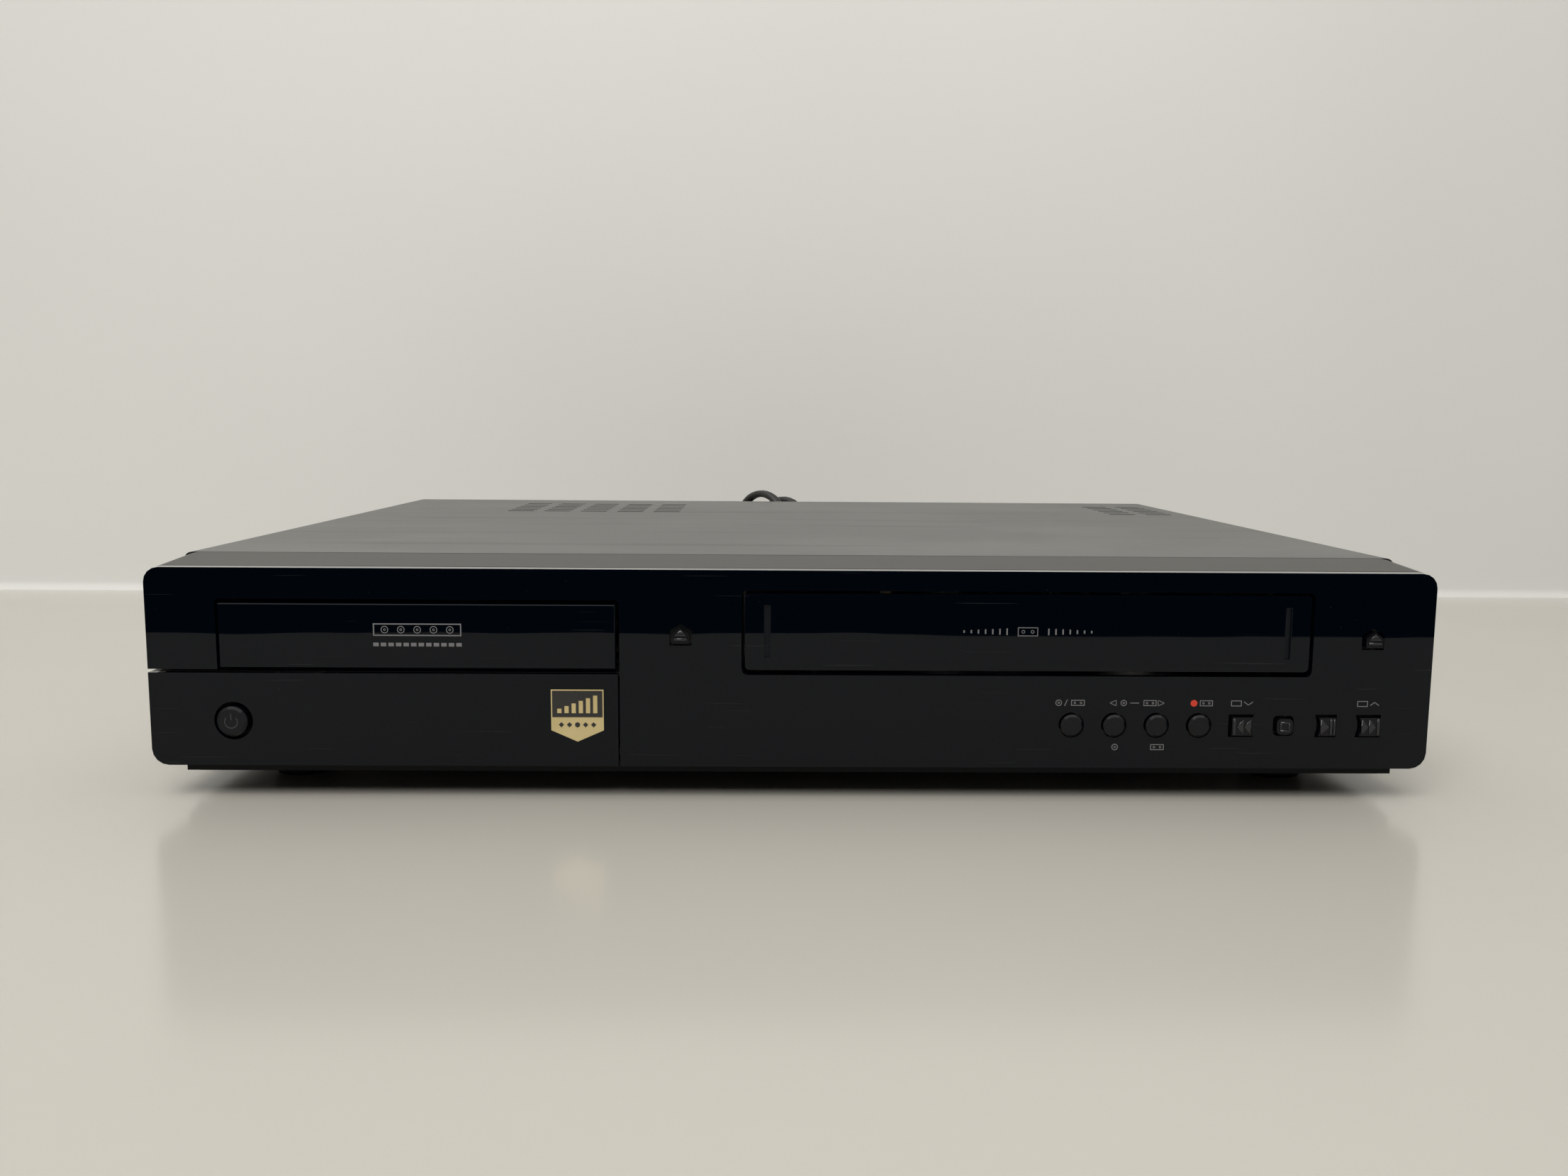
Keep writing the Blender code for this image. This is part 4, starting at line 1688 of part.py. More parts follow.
def rear_sockets():
    """Every socket that shows at the back."""
    shape = bmesh.new()
    panel = REAR_PANEL_FRONT - GAP
    back = panel - REAR_BODY_DEPTH - BOARD_THICKNESS / 2
    for x in PHONO_COLUMNS:
        for z in PHONO_ROWS:
            phono_socket(shape, x, z, BODY_DEPTH + REAR_NOSE, panel, back)
    for x, z in AERIAL_PLACES:
        profile = [
            (0, panel),
            (AERIAL_BORE, panel),
            (AERIAL_BORE, BODY_DEPTH + CONNECTOR_PROUD),
            (AERIAL_RADIUS, BODY_DEPTH + CONNECTOR_PROUD),
            (AERIAL_RADIUS, back),
            (0, back),
        ]
        add_turned(shape, profile, (x, 0, z), "Y", SOCKET_ROUND)
    proud = BODY_DEPTH + DIGITAL_PROUD
    rim = DIN_RADIUS - LINK_WALL
    profile = [
        (0, proud - LINK_DEPTH),
        (rim, proud - LINK_DEPTH),
        (rim, proud),
        (DIN_RADIUS, proud),
        (DIN_RADIUS, back),
        (0, back),
    ]
    add_turned(shape, profile, (ROUND_VIDEO[0], 0, ROUND_VIDEO[1]), "Y", SOCKET_ROUND)
    pockets = []
    for (x, z), size in ((WIDE_SOCKET, WIDE_SOCKET_SIZE), (SQUARE_SOCKET, SQUARE_SOCKET_SIZE)):
        pockets.append(link_socket(shape, x, z, size, proud, proud - DIGITAL_DEPTH, back, SOCKET_WALL))
    board = add_box(bmesh.new(), SOCKET_BOARD_X, (back - BOARD_THICKNESS, back), SOCKET_BOARD_Z)
    sockets = make_piece("rear_sockets", board, BRASS)
    fuse(sockets, shape)
    cutter = bmesh.new()
    for pocket in pockets:
        add_box(cutter, *pocket)
    return cut(sockets, cutter)


FAN_X = -0.170
FAN_Z = 0.0460
FAN_SIZE = 0.040
FAN_DEPTH = 0.0105
FAN_BORE = 0.0186
FAN_TIP = 0.0176
FAN_HUB = 0.0085
FAN_BLADES = 5
FAN_BLADE_THICKNESS = 0.0012
FAN_BLADE_PITCH = math.radians(35)
FAN_BLADE_CHORD = 0.0080
FAN_SPIDER = 0.0030
FAN_SPIDER_DEPTH = 0.0015
FAN_HUB_GAP = 0.0005
FAN_GRILLE_SLOTS = 7
FAN_GRILLE_SLOT = 0.003


def fan():
    """A small fan inside the rear panel: a square frame with a spider, and the rotor."""
    rear = REAR_PANEL_FRONT - GAP
    front = rear - FAN_DEPTH
    shape = add_box(bmesh.new(), span(FAN_X, FAN_SIZE), (front, rear), span(FAN_Z, FAN_SIZE))
    frame = make_piece("fan_frame", shape, MATTE_BLACK)
    ends = [(FAN_X, y, FAN_Z) for y in (front - OVERRUN, rear + OVERRUN)]
    cut(frame, add_rod(bmesh.new(), *ends, FAN_BORE, ROUND))
    spider_depth = (front, front + FAN_SPIDER_DEPTH)
    spider_x = span(FAN_X, 2 * FAN_BORE + OVERRUN)
    spider = add_box(bmesh.new(), spider_x, spider_depth, span(FAN_Z, FAN_SPIDER))
    fuse(frame, spider)
    seat = [(FAN_X, y, FAN_Z) for y in (front, front + FAN_SPIDER_DEPTH)]
    fuse(frame, add_rod(bmesh.new(), *seat, FAN_HUB, SMALL_ROUND))
    low = front + FAN_SPIDER_DEPTH + FAN_HUB_GAP
    high = rear - FAN_HUB_GAP
    hub = add_rod(bmesh.new(), (FAN_X, low, FAN_Z), (FAN_X, high, FAN_Z), FAN_HUB, SMALL_ROUND)
    rotor = make_piece("fan_rotor", hub, MATTE_BLACK, (FAN_X, low, FAN_Z))
    middle = (low + high) / 2
    for number in range(FAN_BLADES):
        blade = add_box(
            bmesh.new(),
            (FAN_HUB / 2, FAN_TIP),
            span(0, FAN_BLADE_CHORD),
            span(0, FAN_BLADE_THICKNESS),
        )
        pitch = Matrix.Rotation(FAN_BLADE_PITCH, 4, "X")
        around = Matrix.Rotation(2 * math.pi * number / FAN_BLADES, 4, "Y")
        blade.transform(Matrix.Translation((FAN_X, middle, FAN_Z)) @ around @ pitch)
        fuse(rotor, blade)


# Rear panel and its screws
PANEL_SCREW_X = HALF_WIDTH - 0.011
PANEL_SCREWS = (
    (-PANEL_SCREW_X, 0.070),
    (-0.070, 0.070),
    (0.070, 0.072),
    (PANEL_SCREW_X, 0.070),
    (-PANEL_SCREW_X, 0.022),
    (PANEL_SCREW_X, 0.022),
)
SCREW_HEAD_RADIUS = 0.0031
SCREW_HEAD_HEIGHT = 0.0018
SCREW_SHANK_RADIUS = 0.0014
SCREW_SHANK_LENGTH = 0.004
RELIEF_X = -0.118
RELIEF_Z = 0.030
RELIEF_NECK = 0.0052
RELIEF_NECK_GAP = 0.0004
RELIEF_FLANGE = 0.0080
RELIEF_FLANGE_DEPTH = 0.002
RELIEF_COLLAR = 0.0072
RELIEF_COLLAR_DEPTH = 0.002
RELIEF_BOOT = (0.0058, 0.0040)
RELIEF_LENGTH = 0.026


def rear_panel():
    """The steel back, with holes for the sockets, the fan, the lead and the screws."""
    side = FLANGE_OUTER - SHEET - GAP
    z = (PAN_RIM + GAP, CASE_TOP - COVER_SHEET - GAP)
    outline = rounded((-side, side), z, (0, 0, COVER_BEND, COVER_BEND), 4)
    shape = add_plate(bmesh.new(), outline, "Y", REAR_PANEL_FRONT, BODY_DEPTH)
    panel = make_piece("rear_panel", shape, COVER_GREY)
    ends = (REAR_PANEL_FRONT - OVERRUN, BODY_DEPTH + OVERRUN)
    holes = bmesh.new()
    for x, z, radius in rear_round_places():
        add_rod(holes, *[(x, y, z) for y in ends], radius + SOCKET_GAP, SOCKET_ROUND)
    for (x, z), (width, height) in ((WIDE_SOCKET, WIDE_SOCKET_SIZE), (SQUARE_SOCKET, SQUARE_SOCKET_SIZE)):
        add_box(holes, span(x, width + 2 * SOCKET_GAP), ends, span(z, height + 2 * SOCKET_GAP))
    add_rod(holes, *[(RELIEF_X, y, RELIEF_Z) for y in ends], RELIEF_NECK + RELIEF_NECK_GAP, SMALL_ROUND)
    pitch = 2 * FAN_BORE / FAN_GRILLE_SLOTS
    for number in range(FAN_GRILLE_SLOTS):
        offset = (number + 0.5) * pitch - FAN_BORE
        length = 2 * math.sqrt(FAN_BORE**2 - offset**2) - FAN_GRILLE_SLOT
        add_box(holes, span(FAN_X + offset, FAN_GRILLE_SLOT), ends, span(FAN_Z, length))
    cut(panel, holes)
    return fuse(panel, add_panel_screws(bmesh.new()))


def add_panel_screws(shape):
    """The heads of the panel's screws, with their shanks inside."""
    for x, z in PANEL_SCREWS:
        profile = [
            (0, REAR_PANEL_FRONT - SCREW_SHANK_LENGTH),
            (SCREW_SHANK_RADIUS, REAR_PANEL_FRONT - SCREW_SHANK_LENGTH),
            (SCREW_SHANK_RADIUS, BODY_DEPTH - SHEET / 2),
            (SCREW_HEAD_RADIUS, BODY_DEPTH - SHEET / 2),
            (SCREW_HEAD_RADIUS, BODY_DEPTH + SCREW_HEAD_HEIGHT / 2),
            (SCREW_HEAD_RADIUS / 2, BODY_DEPTH + SCREW_HEAD_HEIGHT),
            (0, BODY_DEPTH + SCREW_HEAD_HEIGHT),
        ]
        add_turned(shape, profile, (x, 0, z), "Y", TINY_ROUND)
    return shape


def cord_relief():
    """The moulded strain relief of the mains lead, held in the rear panel."""
    inner = REAR_PANEL_FRONT - GAP
    outer = BODY_DEPTH + GAP
    collar = outer + RELIEF_COLLAR_DEPTH
    profile = [
        (0, inner - RELIEF_FLANGE_DEPTH),
        (RELIEF_FLANGE, inner - RELIEF_FLANGE_DEPTH),
        (RELIEF_FLANGE, inner),
        (RELIEF_NECK, inner),
        (RELIEF_NECK, outer),
        (RELIEF_COLLAR, outer),
        (RELIEF_COLLAR, collar),
        (RELIEF_BOOT[0], collar),
        (RELIEF_BOOT[1], outer + RELIEF_LENGTH),
        (0, outer + RELIEF_LENGTH),
    ]
    shape = add_turned(bmesh.new(), profile, (RELIEF_X, 0, RELIEF_Z), "Y", SMALL_ROUND)
    make_piece("cord_relief", shape, FLEX)


# Mains lead: a free stretch, a tied hank standing behind the case, and the plug
CORD_DIAMETER = 0.0058
CORD_SIDES_LEVEL = 2
CORD_LEVEL = 0.0032
CORD_STEP = 0.005
CORD_ROUTE = [
    (-0.1180, 0.3736, 0.0300),
    (-0.1180, 0.3800, 0.0296),
    (-0.1163, 0.3880, 0.0275),
    (-0.1110, 0.3975, 0.0225),
    (-0.1030, 0.4050, 0.0160),
    (-0.0930, 0.4103, 0.0100),
    (-0.0820, 0.4130, 0.0058),
    (-0.0715, 0.4130, 0.0038),
    (-0.0610, 0.4105, 0.0032),
    (-0.0510, 0.4056, 0.0032),
    (-0.0420, 0.3983, 0.0032),
    (-0.0340, 0.3902, 0.0032),
    (-0.0262, 0.3821, 0.0032),
    (-0.0162, 0.3719, 0.0032),
]
HANK_X = -0.012
HANK_Y = 0.3675
HANK_TURN = math.radians(46)
HANK_PITCH = 0.0070
HANK_LAYER_PITCH = 0.0066
HANK_INNER_RADIUS = 0.0146
HANK_RUN_HALF = 0.0140
HANK_LAYER_TURNS = 1.275
HANK_CLIMB_TURNS = 0.3
HANK_LAYERS = 4
HANK_POINTS = 24
QUARTER = 1 / 4
HANK_WAIST = 0.0024
HANK_TALL = 0.0095
HANK_SECOND = 0.0050
TAIL_RADIUS = 0.030
TAIL_STEPS = 6
PLUG_BODY = (0.036, 0.0230, 0.0150)
PLUG_LEVEL = PLUG_BODY[2] / 2 + GAP
PLUG_EDGE = 0.003
PLUG_COLLAR = 0.0045
PLUG_COLLAR_LENGTH = 0.012
BLADE_SIZE = (0.0170, 0.0063, 0.0015)
BLADE_SPACING = 0.0127
TIE_HEIGHT = 0.006
TIE_THICKNESS = 0.0009


def smooth_route(points, step):
    """Points at about one step apart on a smooth curve through the route's points."""
    points = [Vector(point) for point in points]
    fine = []
    padded = [2 * points[0] - points[1], *points, 2 * points[-1] - points[-2]]
    for before, start, end, after in zip(padded, padded[1:], padded[2:], padded[3:]):
        count = max(1, round((end - start).length / step))
        for number in range(count):
            t = number / count
            fine.append(
                0.5
                * (
                    2 * start
                    + (end - before) * t
                    + (2 * before - 5 * start + 4 * end - after) * t**2
                    + (3 * start - before - 3 * end + after) * t**3
                )
            )
    fine.append(points[-1])
    return fine


def tube(name, points, colour, sides_level):
    """A closed round tube along a list of points."""
    data = bpy.data.curves.new(name, "CURVE")
    data.dimensions = "3D"
    data.bevel_depth = CORD_DIAMETER / 2
    data.bevel_resolution = sides_level
    data.render_resolution_u = 0
    data.use_fill_caps = True
    line = data.splines.new("POLY")
    line.points.add(len(points) - 1)
    for point, place in zip(line.points, points):
        point.co = (*place, 1)
    data.materials.append(colour)
    piece = bpy.data.objects.new(name, data)
    piece.parent = case
    bpy.context.scene.collection.objects.link(piece)
    return piece


def hank_turns():
    """Number of turns of the hank in all."""
    return HANK_LAYERS * HANK_LAYER_TURNS + (HANK_LAYERS - 1) * HANK_CLIMB_TURNS


def hank_layer(turn):
    """How far the hank has come at a turn: (radius, depth in layers)."""
    stage = HANK_LAYER_TURNS + HANK_CLIMB_TURNS
    layer = min(HANK_LAYERS - 1, int(turn / stage))
    along = turn - layer * stage
    wound = min(along, HANK_LAYER_TURNS)
    climb = max(0.0, along - HANK_LAYER_TURNS) / HANK_CLIMB_TURNS
    inward = layer % 2 == 0
    reach = HANK_LAYER_TURNS - wound if inward else wound
    ease = climb * climb * (3 - 2 * climb)
    return HANK_INNER_RADIUS + HANK_PITCH * reach, layer + ease


def hank_point(turn):
    """A point of the hank; a whole turn starts under its middle."""
    radius, layer = hank_layer(turn)
    part = turn % 1.0
    number = int(turn)
    rise = HANK_TALL if number == 0 else HANK_SECOND if number == round(hank_turns()) - 1 else 0.0
    run = 2 * HANK_RUN_HALF + rise
    if part < QUARTER / 2:
        angle = (2 * part / QUARTER - 1) * math.pi / 2
        x, z = radius * math.cos(angle), radius * math.sin(angle) - HANK_RUN_HALF
    elif part < 3 * QUARTER / 2:
        x, z = radius, -HANK_RUN_HALF + (part / QUARTER - 1 / 2) * run
    elif part < 5 * QUARTER / 2:
        angle = (part / QUARTER - 3 / 2) * math.pi
        x, z = radius * math.cos(angle), radius * math.sin(angle) + HANK_RUN_HALF + rise
    elif part < 7 * QUARTER / 2:
        x, z = -radius, HANK_RUN_HALF + rise - (part / QUARTER - 5 / 2) * run
    else:
        angle = (part / QUARTER - 5 / 2) * math.pi
        x, z = radius * math.cos(angle), radius * math.sin(angle) - HANK_RUN_HALF
    if abs(z) < HANK_RUN_HALF:
        drawn_in = HANK_WAIST * math.cos(math.pi * z / (2 * HANK_RUN_HALF)) ** 2
        x -= math.copysign(drawn_in, x)
    return x, layer * HANK_LAYER_PITCH, z


def hank_frame():
    """Height of the hank's middle."""
    outer = HANK_INNER_RADIUS + HANK_PITCH * HANK_LAYER_TURNS
    return CORD_LEVEL + outer + HANK_RUN_HALF


def hank_world(point):
    """A point of the hank in the case's frame: it stands turned behind the case."""
    x, y, z = point
    return Vector(
        (
            HANK_X + x * math.cos(HANK_TURN) + y * math.sin(HANK_TURN),
            HANK_Y - x * math.sin(HANK_TURN) + y * math.cos(HANK_TURN),
            hank_frame() + z,
        )
    )


def hank_points():
    """The whole wound tube: a short straight start, the turns, and the tail to the plug."""
    count = round(hank_turns() * HANK_POINTS)
    turns = [hank_point(hank_turns() * step / count) for step in range(count + 1)]
    turns[-1] = (0.0, (HANK_LAYERS - 1) * HANK_LAYER_PITCH, turns[0][2])
    start = (-CORD_DIAMETER, 0.0, turns[0][2])
    points = [hank_world(point) for point in [start, *turns]]
    last = points[-1]
    heading = Vector((math.cos(HANK_TURN), -math.sin(HANK_TURN), 0))
    left = Vector((math.sin(HANK_TURN), math.cos(HANK_TURN), 0))
    for step in range(1, TAIL_STEPS + 1):
        share = step / TAIL_STEPS
        angle = HANK_TURN * share
        rise = (PLUG_LEVEL - CORD_LEVEL) * share * share * (3 - 2 * share)
        bend = TAIL_RADIUS * (math.sin(angle) * heading + (1 - math.cos(angle)) * left)
        points.append(last + bend + Vector((0, 0, rise)))
    points.append(points[-1] + Vector((CORD_DIAMETER, 0, 0)))
    return points


def least_gap(points):
    """The smallest clear distance between stretches of the tube that aren't neighbours."""
    apart = round(2 * HANK_POINTS / 3)
    least = math.inf
    for number, point in enumerate(points):
        for start, end in zip(points[number + apart :], points[number + apart + 1 :]):
            along = end - start
            t = max(0.0, min(1.0, (point - start).dot(along) / along.length_squared))
            least = min(least, (start + t * along - point).length)
    return least - CORD_DIAMETER


def mains_lead():
    """The lead from the strain relief to the plug, with the tie round the hank."""
    route = smooth_route(CORD_ROUTE, CORD_STEP)
    tube("power_cord", route, FLEX, CORD_SIDES_LEVEL)
    wound = hank_points()
    tube("cord_hank", wound, FLEX, 1)
    length = sum((b - a).length for a, b in zip(route, route[1:]))
    length += sum((b - a).length for a, b in zip(wound, wound[1:]))
    print(f"lead length {length:.3f} m, least gap in the hank {least_gap(wound) * 1000:.2f} mm")
    outer = HANK_INNER_RADIUS + HANK_PITCH * HANK_LAYER_TURNS - HANK_WAIST + CORD_DIAMETER / 2
    near = -CORD_DIAMETER / 2 - 2 * GAP
    far = (HANK_LAYERS - 1) * HANK_LAYER_PITCH - near
    low = -TIE_HEIGHT / 2
    ring = rounded((-outer, outer), (near, far), CORD_DIAMETER / 2, 3)
    grown = rounded(
        (-outer - TIE_THICKNESS, outer + TIE_THICKNESS),
        (near - TIE_THICKNESS, far + TIE_THICKNESS),
        CORD_DIAMETER / 2 + TIE_THICKNESS,
        3,
    )
    place = [hank_world((x, y, 0)) for x, y in grown]
    level = hank_frame()
    band = add_plate(bmesh.new(), [(p.x, p.y) for p in place], "Z", level + low, level - low)
    tie = make_piece("cord_tie", band, FLEX)
    place = [hank_world((x, y, 0)) for x, y in ring]
    hollow_z = (level + low - OVERRUN, level - low + OVERRUN)
    cut(tie, add_plate(bmesh.new(), [(p.x, p.y) for p in place], "Z", *hollow_z))
    plug(wound[-1])


def plug(end):
    """A two-blade plug lying on the table at the end of the lead."""
    length, width, height = PLUG_BODY
    start = end.x + GAP
    collar_end = start + PLUG_COLLAR_LENGTH
    body_x = (collar_end, collar_end + length)
    shape = add_box(bmesh.new(), body_x, span(end.y, width), span(PLUG_LEVEL, height))
    edges = [edge for edge in shape.edges if abs(edge.verts[0].co.x - edge.verts[1].co.x) > WELD]
    bmesh.ops.bevel(
        shape,
        geom=edges,
        offset=PLUG_EDGE,
        segments=2,
        profile=0.5,
        affect="EDGES",
        material=-1,
    )
    body = make_piece("mains_plug", shape, FLEX)
    collar = add_rod(
        bmesh.new(),
        (start, end.y, PLUG_LEVEL),
        (collar_end + PLUG_EDGE, end.y, PLUG_LEVEL),
        PLUG_COLLAR - SHEET,
        TINY_ROUND,
        PLUG_COLLAR,
    )
    fuse(body, collar)
    blades = bmesh.new()
    for side in (-1, 1):
        middle = end.y + side * BLADE_SPACING / 2
        reach = (collar_end + length - PLUG_EDGE, collar_end + length + BLADE_SIZE[0])
        add_box(blades, reach, span(middle, BLADE_SIZE[2]), span(PLUG_LEVEL, BLADE_SIZE[1]))
    fuse(body, blades)


base_pan(board_standoffs())
top_cover()
front_bezel()
av_flap()
jack_recess()
jack_board()
front_board()
power_button()
round_buttons()
outlined_buttons()
vcr_door()
disc_tray()
tray_fascia()
loader_frame()
tray_drive()
disc_clamp()
pickup_deck()
laser_sled()
vcr_deck()
drum()
capstan()
pinch()
reels()
tape_guides()
loading_drive()
cassette_holder()
holder_slider()
side_frames()
boards()
rear_sockets()
fan()
rear_panel()
cord_relief()
mains_lead()
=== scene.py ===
# %% [markdown]
# # A disc and cassette player
# This lesson dresses a finished model of a home video player with materials and small details. The model
# comes packed: its solids are already the right size, and each one belongs to a body that can move, such as
# the tray, the flap or a button. Here the solids get their finishes, the lead at the back is made as a real
# cord, and the printed marks, badge, screws and button symbols are added.

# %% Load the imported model
import math

import bmesh
import bpy
from mathutils import Matrix, Vector


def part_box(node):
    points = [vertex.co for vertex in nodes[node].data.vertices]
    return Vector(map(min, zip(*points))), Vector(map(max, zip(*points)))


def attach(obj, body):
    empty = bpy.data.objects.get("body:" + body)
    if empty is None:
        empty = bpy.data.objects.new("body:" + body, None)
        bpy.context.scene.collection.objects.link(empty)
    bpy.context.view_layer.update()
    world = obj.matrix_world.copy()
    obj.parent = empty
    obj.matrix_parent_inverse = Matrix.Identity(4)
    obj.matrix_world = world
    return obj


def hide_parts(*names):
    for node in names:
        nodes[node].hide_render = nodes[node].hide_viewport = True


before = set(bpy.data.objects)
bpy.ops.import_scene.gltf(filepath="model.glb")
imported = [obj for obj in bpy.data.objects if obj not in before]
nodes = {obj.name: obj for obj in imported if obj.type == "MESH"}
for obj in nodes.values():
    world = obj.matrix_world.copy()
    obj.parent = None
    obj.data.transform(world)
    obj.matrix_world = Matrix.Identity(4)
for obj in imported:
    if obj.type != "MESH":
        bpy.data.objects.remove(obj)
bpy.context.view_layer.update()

# %% [markdown]
# ## Where things are
# Every place on the front is measured from the middle of the front face: across, back into the case, and up
# from the table. One small function turns these three numbers into a point of the model, so that the rest of
# the lesson can speak of depth behind the front face.

# %% Places in the model
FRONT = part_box("av_flap")[0].y


def at(x, depth, z):
    """A point from its place across, its depth behind the front face and its height."""
    return Vector((x, FRONT + depth, z))


CASE_LOW, CASE_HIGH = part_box("top_cover")
print(f"front face at y {FRONT:.4f}, cover top at {CASE_HIGH.z:.4f}")

# %% [markdown]
# ## The camera
# The view is that of somebody who kneels in front of the table: the lens is less than half a metre from the
# front face and only a little above the cover, so the cover is seen very flat. The camera's turn is given by
# three small angles, and its axes follow from them.

# %% Camera
PHOTO_WIDTH = 2212
FOCAL_PIXELS = 1836.57
SENSOR = 36.0
CAMERA_PLACE = (-0.01053, -0.42878, 0.12747)
PITCH = 0.12652
YAW = 0.01583
ROLL = -0.00733

forward = Vector((math.sin(YAW) * math.cos(PITCH), math.cos(YAW) * math.cos(PITCH), -math.sin(PITCH)))
level_right = Vector((math.cos(YAW), -math.sin(YAW), 0))
level_down = forward.cross(level_right)
right = math.cos(ROLL) * level_right + math.sin(ROLL) * level_down
up = math.sin(ROLL) * level_right - math.cos(ROLL) * level_down
camera_data = bpy.data.cameras.new("camera")
camera_data.sensor_width = SENSOR
camera_data.lens = FOCAL_PIXELS / PHOTO_WIDTH * SENSOR
camera_data.clip_start = 0.01
camera = bpy.data.objects.new("camera", camera_data)
bpy.context.scene.collection.objects.link(camera)
turn = Matrix((right, up, -forward)).transposed().to_4x4()
camera.matrix_world = Matrix.Translation(at(*CAMERA_PLACE)) @ turn
bpy.context.scene.camera = camera
print(f"lens {camera_data.lens:.2f} mm")

# %% [markdown]
# ## Materials as expressions
# A material is a small program of nodes. Writing it as arithmetic keeps it readable: one class stands for a
# value that flows through the nodes, and its plus, minus and times signs add the Math nodes. A second class
# adds any other node to a tree, and a third one owns a material and the patterns that the finishes use.


# %% A value in a node tree
class Flow:
    """A value in a node tree; arithmetic on it adds Math nodes, and | gives the greater of two values."""

    def __init__(self, owner, socket):
        self.owner = owner
        self.socket = socket

    def maths(self, operation, first, second):
        return self.owner.node("ShaderNodeMath", {"operation": operation}, {0: first, 1: second})

    def __add__(self, other):
        return self.maths("ADD", self, other)

    def __or__(self, other):
        return self.maths("MAXIMUM", self, other)

    def __sub__(self, other):
        return self.maths("SUBTRACT", self, other)

    def __mul__(self, other):
        return self.maths("MULTIPLY", self, other)

    def __radd__(self, other):
        return self.maths("ADD", other, self)

    def __rsub__(self, other):
        return self.maths("SUBTRACT", other, self)

    def __rmul__(self, other):
        return self.maths("MULTIPLY", other, self)


# %% A tree and its nodes
class Nodes:
    """A node tree, and the way nodes are added to it."""

    def __init__(self, tree):
        self.tree = tree

    def node(self, kind, settings, values, output=0):
        """One node: its settings, then its sockets' values or links. Gives one of its outputs."""
        made = self.tree.nodes.new(kind)
        for name, value in settings.items():
            setattr(made, name, value)
        for key, value in values.items():
            self.fill(made.inputs[key], value)
        return Flow(self, made.outputs[output])

    def fill(self, socket, value):
        """Sets a socket to a value, or links a flow to it."""
        if isinstance(value, Flow):
            self.tree.links.new(value.socket, socket)
        else:
            socket.default_value = value

    def outputs(self, kind, values, names):
        """Several outputs of one node."""
        made = self.node(kind, {}, values).socket.node
        return [Flow(self, made.outputs[name]) for name in names]


# %% A material
class Finish(Nodes):
    """One material, with the patterns that the finishes use."""

    def __init__(self, name, colour, roughness, metallic=0.0):
        self.material = bpy.data.materials.new(name)
        self.material.use_nodes = True
        super().__init__(self.material.node_tree)
        self.shader = self.tree.nodes["Principled BSDF"]
        self.set("Base Color", (*colour, 1.0))
        self.set("Roughness", roughness)
        self.set("Metallic", metallic)
        self.place = self.node("ShaderNodeTexCoord", {}, {}, "Object")
        self.x, self.y, self.z = self.outputs("ShaderNodeSeparateXYZ", {0: self.place}, "XYZ")

    def set(self, name, value):
        """Sets one of the shader's sockets."""
        self.fill(self.shader.inputs[name], value)

    def stretched(self, scale):
        """The place on the piece, scaled along each axis."""
        return self.node("ShaderNodeMapping", {}, {"Vector": self.place, "Scale": scale})

    def noise(self, scale, detail=3.0, rough=0.5):
        """Soft random cloud from 0 to 1; scale is its features per metre along each axis."""
        values = {"Vector": self.stretched(scale), "Scale": 1.0, "Detail": detail, "Roughness": rough}
        return self.node("ShaderNodeTexNoise", {}, values)

    def spots(self, scale):
        """Distance to the nearest of many scattered points, in cells."""
        return self.node("ShaderNodeTexVoronoi", {}, {"Vector": self.stretched(scale), "Scale": 1.0})

    def band(self, value, low, high, start=0.0, end=1.0):
        """Runs smoothly from start to end while value goes from low to high."""
        values = {0: value, 1: low, 2: high, 3: start, 4: end}
        return self.node("ShaderNodeMapRange", {"interpolation_type": "SMOOTHSTEP"}, values)

    def inside(self, value, low, high, soft):
        """1 where value is between low and high, and 0 outside."""
        return self.band(value, low - soft, low) * self.band(value, high, high + soft, 1.0, 0.0)

    def mix(self, share, first, second):
        """A colour between two others."""
        values = {0: share}
        for key, colour in ((6, first), (7, second)):
            values[key] = colour if isinstance(colour, Flow) else (*colour, 1.0)
        return self.node("ShaderNodeMix", {"data_type": "RGBA"}, values, 2)

    def bump(self, height, strength, distance):
        """Small relief that only bends the light."""
        values = {"Height": height, "Strength": strength, "Distance": distance}
        self.set("Normal", self.node("ShaderNodeBump", {}, values))


def dress(finish, *names):
    """Gives solids of the model a finish."""
    for name in names:
        slots = nodes[name].data.materials
        slots.clear()
        slots.append(finish.material)
    print(f"{finish.material.name} on", ", ".join(names))


# %% [markdown]
# ## Polished black mouldings
# The front is moulded in glossy black plastic and shows the room like a dark mirror: the table in its lower
# half and the unlit room in its upper half. Only the front skin is polished. A few millimetres behind it the
# moulding turns into the matt strip that carries the cover, so the finish changes with depth.

# %% Gloss finish
GLOSS_DEPTH = 0.0031
GROOVE_END = 0.0038
LIP_Z = 0.0782
GLOSS_COLOUR = (0.0006, 0.0017, 0.0036)
STRIP_COLOUR = (0.058, 0.057, 0.053)
BLACK = (0.001, 0.001, 0.001)
DUST = (0.030, 0.030, 0.030)
EDGE = 0.0001
DOOR_X = 0.07825
DOOR_GROOVE_X = (0.0864, 0.0885)
DOOR_GROOVE_Z = (0.0493, 0.0670)

